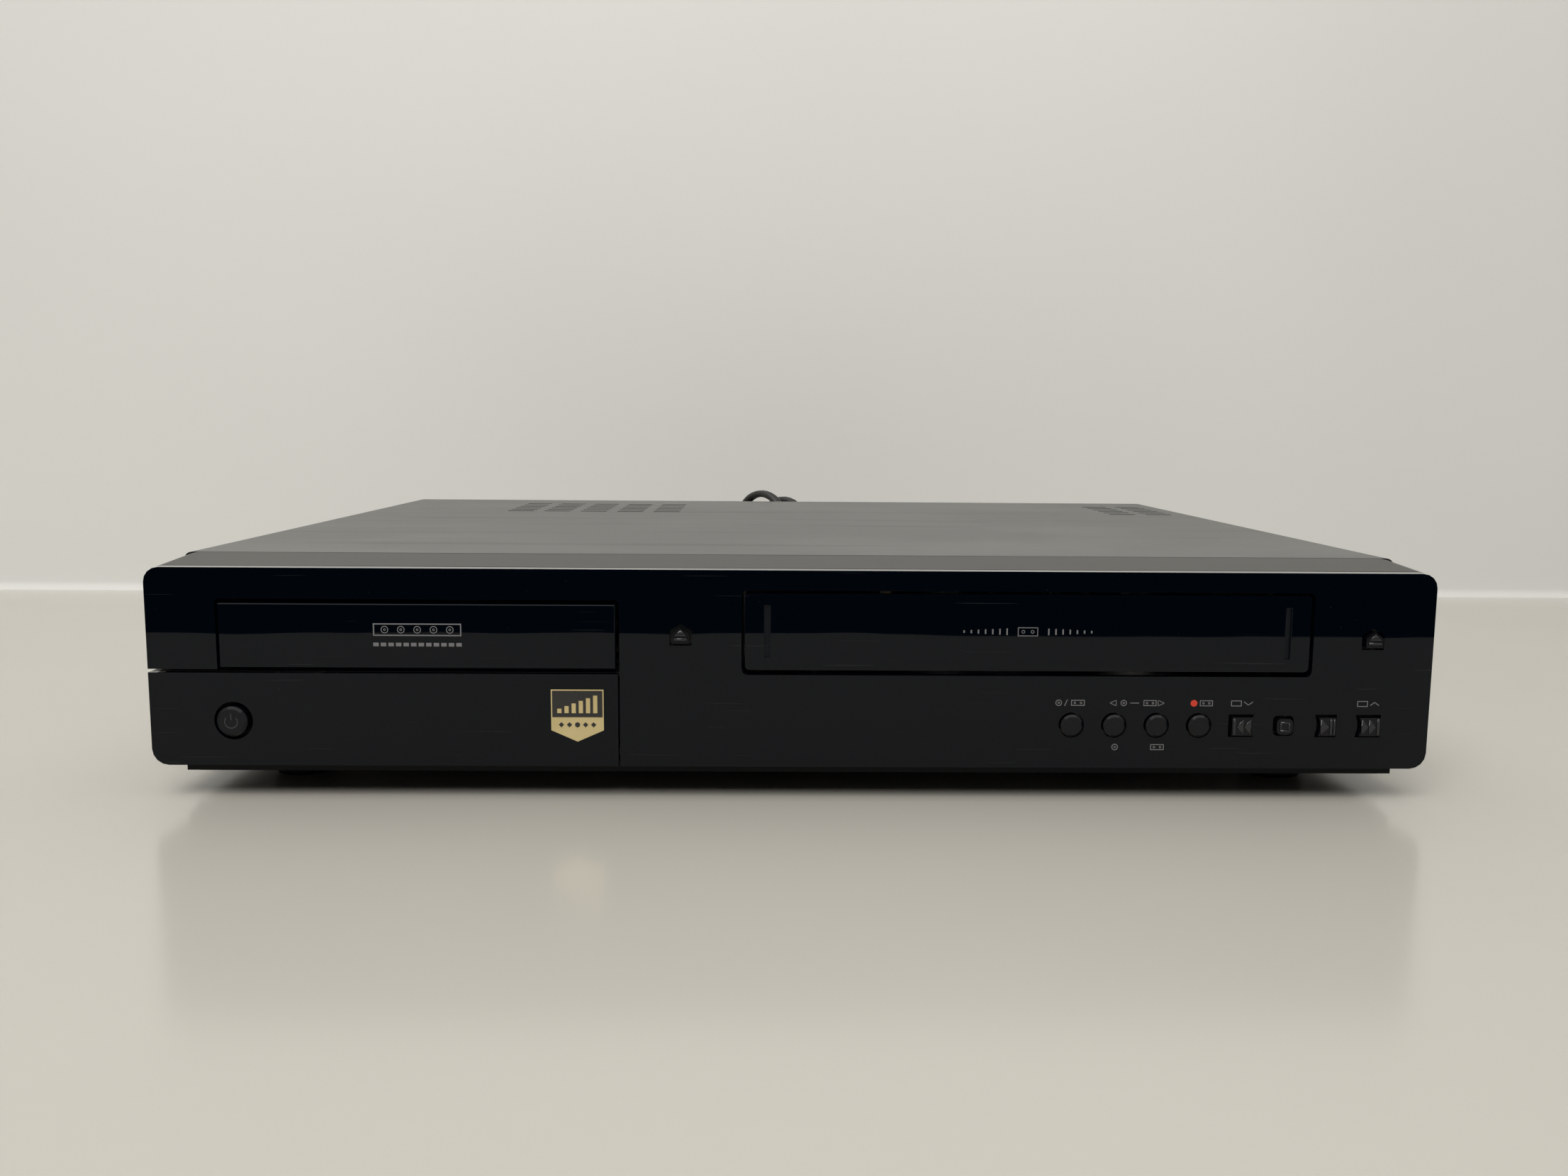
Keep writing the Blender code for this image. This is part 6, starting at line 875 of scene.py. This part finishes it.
tray_marks = bmesh.new()
frame_sign(tray_marks, TRAY_MARK_X, TRAY_SIGN_Z, 0.0292, 0.0042, TRAY_FACE, line=0.0004)
for x in row(TRAY_MARK_X, count=5, pitch=0.0054):
    disc_sign(tray_marks, x, TRAY_SIGN_Z, size=0.0025, depth=TRAY_FACE)
for x in row(TRAY_MARK_X, count=12, pitch=0.0025):
    plate(tray_marks, block(x, TRAY_BAR_Z, width=0.0018, height=0.0012), TRAY_FACE, INK)
piece("tray_marks", tray_marks, "tray", ink)

# %% [markdown]
# ## Marks on the cassette door
# The door carries one cassette sign between two rows of bars, which grow shorter outwards.

# %% Door marks
DOOR_MARK_X = 0.0780
DOOR_SIGN_Z = 0.05855
DOOR_BAR_FROM = 0.0070
DOOR_BAR_PITCH = 0.0024
DOOR_BAR_TALL = 0.0022
DOOR_BAR_FALL = 0.00022
DOOR_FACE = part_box("vcr_door")[0].y - FRONT

door_marks = bmesh.new()
tape_sign(door_marks, DOOR_MARK_X, DOOR_SIGN_Z, width=0.0068, height=0.0030, depth=DOOR_FACE)
for side in (-1, 1):
    for number in range(7):
        x = DOOR_MARK_X + side * (DOOR_BAR_FROM + number * DOOR_BAR_PITCH)
        tall = DOOR_BAR_TALL - DOOR_BAR_FALL * number
        plate(door_marks, block(x, DOOR_SIGN_Z, width=0.0005, height=tall), DOOR_FACE, INK)
piece("door_marks", door_marks, "cassette_door", ink)

# %% [markdown]
# ## The badge
# A small shield-shaped sticker in black and gold sits at the flap's right end. It is a gold plate with a
# pointed foot and a black field laid on its upper part.

# %% Badge
BADGE_X = -0.0727
BADGE_HALF = 0.0088
BADGE_TOP = 0.0383
BADGE_SPLIT = 0.0289
BADGE_SHOULDER = 0.0244
BADGE_TIP = 0.0205
FILM = 0.00015
RIM = 0.0004
GOLD_DARK = (0.55, 0.43, 0.19)
GOLD_LIGHT = (0.72, 0.60, 0.32)
FLAP_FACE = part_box("av_flap")[0].y - FRONT

gold = Finish("badge_gold", GOLD_DARK, 0.32, 0.35)
sheen = gold.noise((60, 60, 60), 3.0)
gold.set("Base Color", gold.mix(sheen, GOLD_DARK, GOLD_LIGHT))
gold.set("Roughness", 0.28 + 0.14 * sheen)
dark_field = plain("badge_black", (0.020, 0.018, 0.016), 0.3, 2000)

badge_left, badge_right = BADGE_X - BADGE_HALF, BADGE_X + BADGE_HALF
shield = [
    (badge_left, BADGE_TOP),
    (badge_left, BADGE_SHOULDER),
    (BADGE_X, BADGE_TIP),
    (badge_right, BADGE_SHOULDER),
    (badge_right, BADGE_TOP),
]
piece("badge_plate", plate(bmesh.new(), shield, FLAP_FACE, FILM), "flap", gold)
FIELD_TOP = BADGE_TOP - RIM
field = block(BADGE_X, (FIELD_TOP + BADGE_SPLIT) / 2, 2 * (BADGE_HALF - RIM), FIELD_TOP - BADGE_SPLIT)
piece("badge_field", plate(bmesh.new(), field, FLAP_FACE - FILM, FILM / 2), "flap", dark_field)

# %% [markdown]
# ## Bars and studs of the badge
# Six gold bars rise over the black field like a level meter, and five dark studs lie in the gold below it.

# %% Badge bars and studs
METER_FOOT = 0.0303
METER_TALL = 0.0015
METER_RISE = 0.0009
STUD_Z = 0.0263

bars = bmesh.new()
for number, x in enumerate(row(BADGE_X, count=6, pitch=0.0024)):
    tall = METER_TALL + METER_RISE * number
    bar = block(x, METER_FOOT + tall / 2, 0.0014, tall)
    plate(bars, bar, FLAP_FACE - 1.5 * FILM, FILM / 2)
piece("badge_bars", bars, "flap", gold)
dots = bmesh.new()
for number, x in enumerate(row(BADGE_X, count=5, pitch=0.0027)):
    sides = 8 if number == 2 else 4
    disc(dots, x, STUD_Z, 0.0009, FLAP_FACE - FILM, FILM / 2, sides)
piece("badge_dots", dots, "flap", dark_field)

# %% [markdown]
# ## Symbols on the buttons
# The transport buttons carry raised symbols with sloping sides, which is why their edges flash. Each one is a
# plate whose front edges are bevelled. Triangles, bars and squares are in common use on every such device.

# %% Making a raised symbol
RELIEF = 0.0005
SLOPE = 0.00028
symbol_finish = Finish("symbol_black", (0.004, 0.005, 0.007), 0.12)
symbol_finish.set("Roughness", 0.10 + 0.08 * symbol_finish.noise((700, 700, 700), 2.0))
symbol_finish.set("Specular IOR Level", 0.6)


def raise_symbol(name, body, outlines, depth):
    """Raised, bevelled plates on a button's face."""
    shape = bmesh.new()
    for outline in outlines:
        plate(shape, outline, depth, RELIEF)
    bmesh.ops.recalc_face_normals(shape, faces=shape.faces)
    front = min(vert.co.y for vert in shape.verts)
    edges = [edge for edge in shape.edges if all(vert.co.y < front + MERGE for vert in edge.verts)]
    bmesh.ops.bevel(shape, geom=edges, offset=SLOPE, segments=2, profile=0.5, affect="EDGES", material=-1)
    piece(name, shape, body, symbol_finish, rounded=True)


def middle_of(name):
    """The middle of a button's cap as (x, z), and the depth of its face."""
    low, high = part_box(name)
    return (low.x + high.x) / 2, (low.z + high.z) / 2, low.y - FRONT


# %% [markdown]
# ## The six symbols
# Previous and next are mirror images: two triangles that point at a bar. Play has two bars after its
# triangle, because the same button pauses. The stop sign is an open square, and the two eject signs are a
# triangle over a bar.

# %% Raised symbols
TRIANGLE_TALL = 0.0054
SKIP_TRIANGLE = (0.0024, TRIANGLE_TALL)
SKIP_BAR = (0.0009, 0.0056)
STOP_REACH = 0.0014

for name, side in (("previous", -1), ("next", 1)):
    x, z, face_depth = middle_of(f"{name}_button")
    skip = [
        block(x + side * 0.0028, z, *SKIP_BAR),
        triangle(x + side * 0.0009, z, *SKIP_TRIANGLE, side),
        triangle(x - side * 0.0016, z, *SKIP_TRIANGLE, side),
    ]
    raise_symbol(f"{name}_symbol", f"{name}_button", skip, face_depth)

x, z, face_depth = middle_of("play_button")
play = [
    triangle(x - 0.0008, z, 0.0030, TRIANGLE_TALL, 1),
    block(x + 0.0012, z, 0.0008, TRIANGLE_TALL),
    block(x + 0.0023, z, 0.0006, TRIANGLE_TALL),
]
raise_symbol("play_symbol", "play_button", play, face_depth)

x, z, face_depth = middle_of("stop_button")
sides = [block(x, z + side * STOP_REACH, 0.0034, 0.0006) for side in (-1, 1)]
sides += [block(x + side * STOP_REACH, z, 0.0006, 0.0022) for side in (-1, 1)]
raise_symbol("stop_symbol", "stop_button", sides, face_depth)

for name in ("disc_eject", "tape_eject"):
    x, z, face_depth = middle_of(f"{name}_button")
    roof = [(x - 0.0022, z - 0.0002), (x + 0.0022, z - 0.0002), (x, z + 0.0019)]
    eject = [roof, block(x, z - 0.0013, 0.0044, 0.0009)]
    raise_symbol(f"{name}_symbol", f"{name}_button", eject, face_depth)

# %% [markdown]
# ## The power symbol
# A broken ring with a bar in its gap is the standard sign for power. The arc is spun through less than a full
# turn, and the bar closes the gap.

# %% Power symbol
ARC_INNER = 0.0021 - THIN
ARC_OUTER = 0.0021 + THIN
ARC_PROUD = 2 * INK
ARC_GAP = math.radians(50)
ARC_STEPS = 20
GAP_BAR = (0.0006, 0.0027)

x, z, face_depth = middle_of("power_button")
sign = bmesh.new()
centre = at(x, face_depth, z)
corners = [(ARC_INNER, 0), (ARC_OUTER, 0), (ARC_OUTER, -ARC_PROUD), (ARC_INNER, -ARC_PROUD)]
start_turn = Matrix.Rotation(ARC_GAP - math.pi / 2, 3, "Y")
profile = [sign.verts.new(centre + start_turn @ Vector((radius, far, 0))) for radius, far in corners]
first_face = sign.faces.new(profile)
arc = [first_face, *first_face.edges, *profile]
bmesh.ops.spin(sign, geom=arc, cent=centre, axis=BACK, angle=FULL_TURN - 2 * ARC_GAP, steps=ARC_STEPS)
stroke(sign, (x, z + GAP_BAR[0]), (x, z + GAP_BAR[1]), 2 * THIN, face_depth, ARC_PROUD)
power_ink = plain("power_relief", (0.022, 0.022, 0.024), 0.3, 2000)
piece("power_symbol", sign, "power_button", power_ink)

# %% [markdown]
# ## Coloured sockets
# Video and sound sockets have moulded coloured collars so that plugs find their places: yellow for the
# picture, white and red for sound, and green, blue and red for the three picture parts. The same collar is
# used at the front behind the flap and at the back.

# %% Socket collars
COLLAR_INNER = 0.0043
COLLAR_OUTER = 0.0052
COLLAR_PROUD = 0.0016
COLLAR_CHAMFER = 0.0003
BAY_WALL = 0.0143
PANEL_FACE = 0.347
COLLAR_COLOURS = {
    "yellow": (0.62, 0.45, 0.02),
    "white": (0.62, 0.61, 0.58),
    "red": (0.42, 0.02, 0.015),
    "green": (0.02, 0.22, 0.06),
    "blue": (0.02, 0.07, 0.36),
}
collar_finish = {}
for name, colour in COLLAR_COLOURS.items():
    collar_finish[name] = plain(f"{name}_collar", colour, 0.4, 1500, 0.05)


def collars(name, places, colour, seat, outwards):
    """Coloured rings round the sockets at (x, z) places, standing on a wall at a depth."""
    shape = bmesh.new()
    profile = [
        (COLLAR_INNER, 0),
        (COLLAR_INNER, outwards * COLLAR_PROUD),
        (COLLAR_OUTER - COLLAR_CHAMFER, outwards * COLLAR_PROUD),
        (COLLAR_OUTER, outwards * (COLLAR_PROUD - COLLAR_CHAMFER)),
        (COLLAR_OUTER, 0),
    ]
    for x, z in places:
        turned(shape, profile, at(x, seat, z), 24)
    piece(name, shape, "chassis", collar_finish[colour])


# %% [markdown]
# ## Front and rear collars
# The front sockets stand in one row, the rear ones in three columns: two of yellow, white and red, and one of
# green, blue and red.

# %% Collars in place
FRONT_SOCKET_X = {"yellow": -0.150, "white": -0.136, "red": -0.122}
FRONT_SOCKET_Z = 0.029
for colour, x in FRONT_SOCKET_X.items():
    collars(f"front_{colour}_collar", [(x, FRONT_SOCKET_Z)], colour, BAY_WALL, -1)
OUTER, INNER, PARTS = 0.146, 0.128, 0.110
LOW_ROW, MIDDLE_ROW, TOP_ROW = 0.026, 0.040, 0.054
REAR_COLOURS = {
    "red": [(OUTER, LOW_ROW), (INNER, LOW_ROW), (PARTS, LOW_ROW)],
    "white": [(OUTER, MIDDLE_ROW), (INNER, MIDDLE_ROW)],
    "yellow": [(OUTER, TOP_ROW), (INNER, TOP_ROW)],
    "blue": [(PARTS, MIDDLE_ROW)],
    "green": [(PARTS, TOP_ROW)],
}
for colour, places in REAR_COLOURS.items():
    collars(f"rear_{colour}_collars", places, colour, PANEL_FACE, 1)

# %% [markdown]
# ## Pins of the round sockets
# The two round video sockets have four contact pins and a flat key, so that a plug goes in one way only. A
# pin is a thin turned rod with a rounded tip, and the key is a small block.

# %% Socket pins
PIN_RADIUS = 0.0005
PIN_REACH = 0.0028
PIN_PLACES = ((-0.0017, 0.0013), (0.0017, 0.0013), (-0.0025, -0.0011), (0.0025, -0.0011))
KEY_DROP = 0.0026
KEY_SIZE = (0.0022, 0.0009)
FRONT_ROUND = (-0.1685, FRONT_SOCKET_Z, 0.0182)
REAR_ROUND = (0.090, TOP_ROW, 0.3431)


def socket_pins(name, x, z, floor, outwards):
    """Four pins and a key on the floor of a round socket."""
    shape = bmesh.new()
    far = outwards * PIN_REACH
    profile = [(0, far), (PIN_RADIUS * 0.7, far), (PIN_RADIUS, far * 0.92), (PIN_RADIUS, 0), (0, 0)]
    for across, level in PIN_PLACES:
        turned(shape, profile, at(x + across, floor, z + level), 10)
    piece(name, shape, "chassis", bright)
    key = plate(bmesh.new(), block(x, z - KEY_DROP, *KEY_SIZE), floor, -far * 0.9)
    piece(f"{name}_key", key, "chassis", matt)


socket_pins("front_video_pins", *FRONT_ROUND, -1)
socket_pins("rear_video_pins", *REAR_ROUND, 1)

# %% [markdown]
# ## Ribs of the strain relief
# The sleeve that guards the lead is ringed with ribs, which let it bend in an even curve. They are turned
# rings of falling size along the sleeve.

# %% Relief ribs
RELIEF_X = -0.118
RELIEF_Z = 0.030
RIB_COUNT = 5
RIB_FROM = 0.3535
RIB_PITCH = 0.0038
RIB_RADIUS = 0.00625
RIB_TAPER = 0.00030
RIB_WALL = 0.002
RIB_WIDTH = 0.0016

ribs = bmesh.new()
for number in range(RIB_COUNT):
    radius = RIB_RADIUS - RIB_TAPER * number
    profile = [
        (radius - RIB_WALL, 0),
        (radius - SOFT, 0),
        (radius, SOFT),
        (radius, RIB_WIDTH - SOFT),
        (radius - RIB_WALL, RIB_WIDTH),
    ]
    turned(ribs, profile, at(RELIEF_X, RIB_FROM + RIB_PITCH * number, RELIEF_Z), 20)
piece("relief_ribs", ribs, "chassis", flex)

# %% [markdown]
# ## Screws
# Two screws on each side hold the cover to the pan, and six hold the rear panel. The side ones are turned
# heads made here, and the rear ones are part of the solids. Both get a cross of two thin dark plates laid
# on the head: painted shade where the cross recess that a screwdriver fits would be.

# %% Screw heads
SCREW_RADIUS = 0.0034
SCREW_PLACES = ((0.060, 0.024), (0.300, 0.024))
SCREW_SIDES = 20
HEAD_PROUD = 0.00082
SCREW_PROFILE = [(0, 0.0009), (0.0022, 0.0008), (0.0032, 0.0004), (SCREW_RADIUS, 0.0)]
SLOT_LONG = 0.0016
SLOT_NARROW = 0.0003
SLOT_DEEP = 0.0001
screw_black = plain("screw_black", (0.03, 0.03, 0.032), 0.35, 1200, 0.2, 0.6)
# Nearly black: painted shade in the cross recess of each screw head.
painted_slot_shade = plain("slot_shade_paint", (0.003, 0.003, 0.003), 0.6, 1200)


def cross(shape, centre, across, out):
    """A cross of two thin plates laid on a screw's head, for the painted shade of its recess."""
    for long, tall in ((SLOT_LONG, SLOT_NARROW), (SLOT_NARROW, SLOT_LONG)):
        corners = ((-long, -tall), (long, -tall), (long, tall), (-long, tall))
        steps = [reach * across + Vector((0, 0, rise)) for reach, rise in corners]
        extrude(shape, [centre + step for step in steps], SLOT_DEEP * out)


for name, side in (("left", -1), ("right", 1)):
    heads, crosses = bmesh.new(), bmesh.new()
    wall_x = side * (CASE_HIGH.x - CASE_LOW.x) / 2
    out = side * ACROSS
    profile = [*((radius, side * far) for radius, far in SCREW_PROFILE), (0, 0)]
    for depth, z in SCREW_PLACES:
        centre = at(wall_x, depth, z)
        turned(heads, profile, centre, SCREW_SIDES, along=ACROSS, outwards=BACK)
        cross(crosses, centre + HEAD_PROUD * out, BACK, out)
    piece(f"{name}_cover_screws", heads, "chassis", screw_black)
    piece(f"{name}_slot_shading", crosses, "chassis", painted_slot_shade)

# %% [markdown]
# ## Painted slot shade of the rear screws
# The rear heads stand a little further out from the panel, so their crosses do too.

# %% Rear slot shade
REAR_PROUD = 0.00181
UPPER_SCREWS = [(-0.204, 0.070), (-0.070, 0.070), (0.070, 0.072), (0.204, 0.070)]
LOWER_SCREWS = [(-0.204, 0.022), (0.204, 0.022)]
crosses = bmesh.new()
for x, z in UPPER_SCREWS + LOWER_SCREWS:
    cross(crosses, at(x, PANEL_FACE + REAR_PROUD, z), ACROSS, BACK)
piece("rear_slot_shading", crosses, "chassis", painted_slot_shade)

# %% [markdown]
# ## Table and wall finishes
# The player stands on a pale glossy table in front of a pale wall. The wall can be seen through from behind,
# so that the back of the player can be looked at.

# %% Table and wall finishes
TABLE_TONES = ((0.53, 0.510, 0.460), (0.58, 0.560, 0.508))
WALL_TONES = ((0.66, 0.66, 0.64), (0.80, 0.795, 0.765))

table_finish = Finish("table", TABLE_TONES[0], 0.16)
table_cloud = table_finish.noise((3, 3, 3), 3.0)
table_finish.set("Base Color", table_finish.mix(table_cloud, *TABLE_TONES))
table_finish.set("Roughness", 0.13 + 0.10 * table_cloud)

wall_finish = Finish("wall", WALL_TONES[0], 0.6)
wall_cloud = wall_finish.noise((1.6, 1.6, 1.6), 2.0)
wall_finish.set("Base Color", wall_finish.mix(wall_cloud, *WALL_TONES))
behind_wall = wall_finish.node("ShaderNodeNewGeometry", {}, {}, "Backfacing")
painted = Flow(wall_finish, wall_finish.shader.outputs[0])
clear = wall_finish.node("ShaderNodeBsdfTransparent", {}, {})
one_sided = wall_finish.node("ShaderNodeMixShader", {}, {0: behind_wall, 1: painted, 2: clear})
wall_finish.fill(wall_finish.tree.nodes["Material Output"].inputs["Surface"], one_sided)

# %% [markdown]
# ## Table and backdrop
# The sheet between table and wall turns up in a soft curve. The table ends about a third of a metre in front
# of the player. That edge matters: it is what the black front mirrors as the border between its lighter lower
# half and its dark upper half. A far floor carries on for other views, and the front doesn't mirror it.

# %% Stage
TABLE_EDGE = -0.350
WALL_DEPTH = 0.545
COVE = 0.006
COVE_STEPS = 8
WALL_TOP = 1.6
HALF_STAGE = 2.2
FAR = 40.0
FAR_DROP = -0.0003


def sheet_of(name, profile, finish, half=HALF_STAGE):
    """A stage sheet from a profile of (depth, height) points, stretched sideways."""
    shape = bmesh.new()
    verts = [shape.verts.new(at(-half, depth, z)) for depth, z in profile]
    edges = [shape.edges.new(pair) for pair in zip(verts, verts[1:])]
    push(shape, bmesh.ops.extrude_edge_only(shape, edges=edges), (2 * half, 0, 0))
    made = solid(name, shape, finish, rounded=True)
    return made


COVE_FROM = WALL_DEPTH - COVE
cove_angles = [math.pi / 2 * number / COVE_STEPS for number in range(COVE_STEPS + 1)]
cove = [(COVE_FROM + COVE * math.sin(angle), COVE - COVE * math.cos(angle)) for angle in cove_angles]
sheet_of("table_top", [(TABLE_EDGE, 0.0), (COVE_FROM, 0.0)], table_finish)
sheet_of("wall", [*cove, (WALL_DEPTH, WALL_TOP)], wall_finish)
far_floor = sheet_of("far_floor", [(-FAR, FAR_DROP), (FAR, FAR_DROP)], table_finish, FAR)
far_floor.visible_glossy = False

# %% [markdown]
# ## The room
# The room is pale above the horizon and dark below it, where nothing but the floor would be. It is seen by
# the camera and in reflections at full strength, and otherwise adds only a weak even light.

# %% World
DARK_ROOM = (0.004, 0.012, 0.022, 1.0)
PALE_ROOM = (0.62, 0.62, 0.60, 1.0)
DARK_BELOW = -0.06
PALE_ABOVE = -0.03
FILL = 0.12
RAYS = ("Is Camera Ray", "Is Glossy Ray", "Is Transmission Ray")

world = bpy.data.worlds.new("room")
world.use_nodes = True
room = Nodes(world.node_tree)
direction = room.node("ShaderNodeTexCoord", {}, {}, "Generated")
height = room.node("ShaderNodeSeparateXYZ", {}, {0: direction}, "Z")
rise = room.node("ShaderNodeMapRange", {}, {0: height, 1: DARK_BELOW, 2: PALE_ABOVE})
colours = {0: rise, 6: DARK_ROOM, 7: PALE_ROOM}
background = room.tree.nodes["Background"]
room.fill(background.inputs["Color"], room.node("ShaderNodeMix", {"data_type": "RGBA"}, colours, 2))
camera_ray, glossy_ray, transmission_ray = room.outputs("ShaderNodeLightPath", {}, RAYS)
seen = camera_ray | glossy_ray | transmission_ray
room.fill(background.inputs["Strength"], FILL + (1 - FILL) * seen)
bpy.context.scene.world = world

# %% [markdown]
# ## Light
# A weak soft lamp hangs over the table, as a white ceiling does, and a strong one shines from the front left
# like a window.


# %% Lamps
def lamp(name, place, target, size, power):
    """A rectangular soft lamp that shines at a point."""
    data = bpy.data.lights.new(name, "AREA")
    data.shape = "RECTANGLE"
    data.size, data.size_y = size
    data.energy = power
    data.color = (1.0, 0.98, 0.95)
    aim = (Vector(target) - Vector(place)).to_track_quat("-Z", "Y")
    link(name, data).matrix_world = Matrix.Translation(place) @ aim.to_matrix().to_4x4()


lamp("ceiling", place=(0.0, -0.25, 1.5), target=(0.0, -0.1, 0.0), size=(2.4, 1.6), power=12)
lamp("window", place=(-0.4, -1.75, 1.95), target=(0.1, 0.35, 0.35), size=(1.8, 1.2), power=48)
bpy.context.scene.view_settings.view_transform = "Standard"
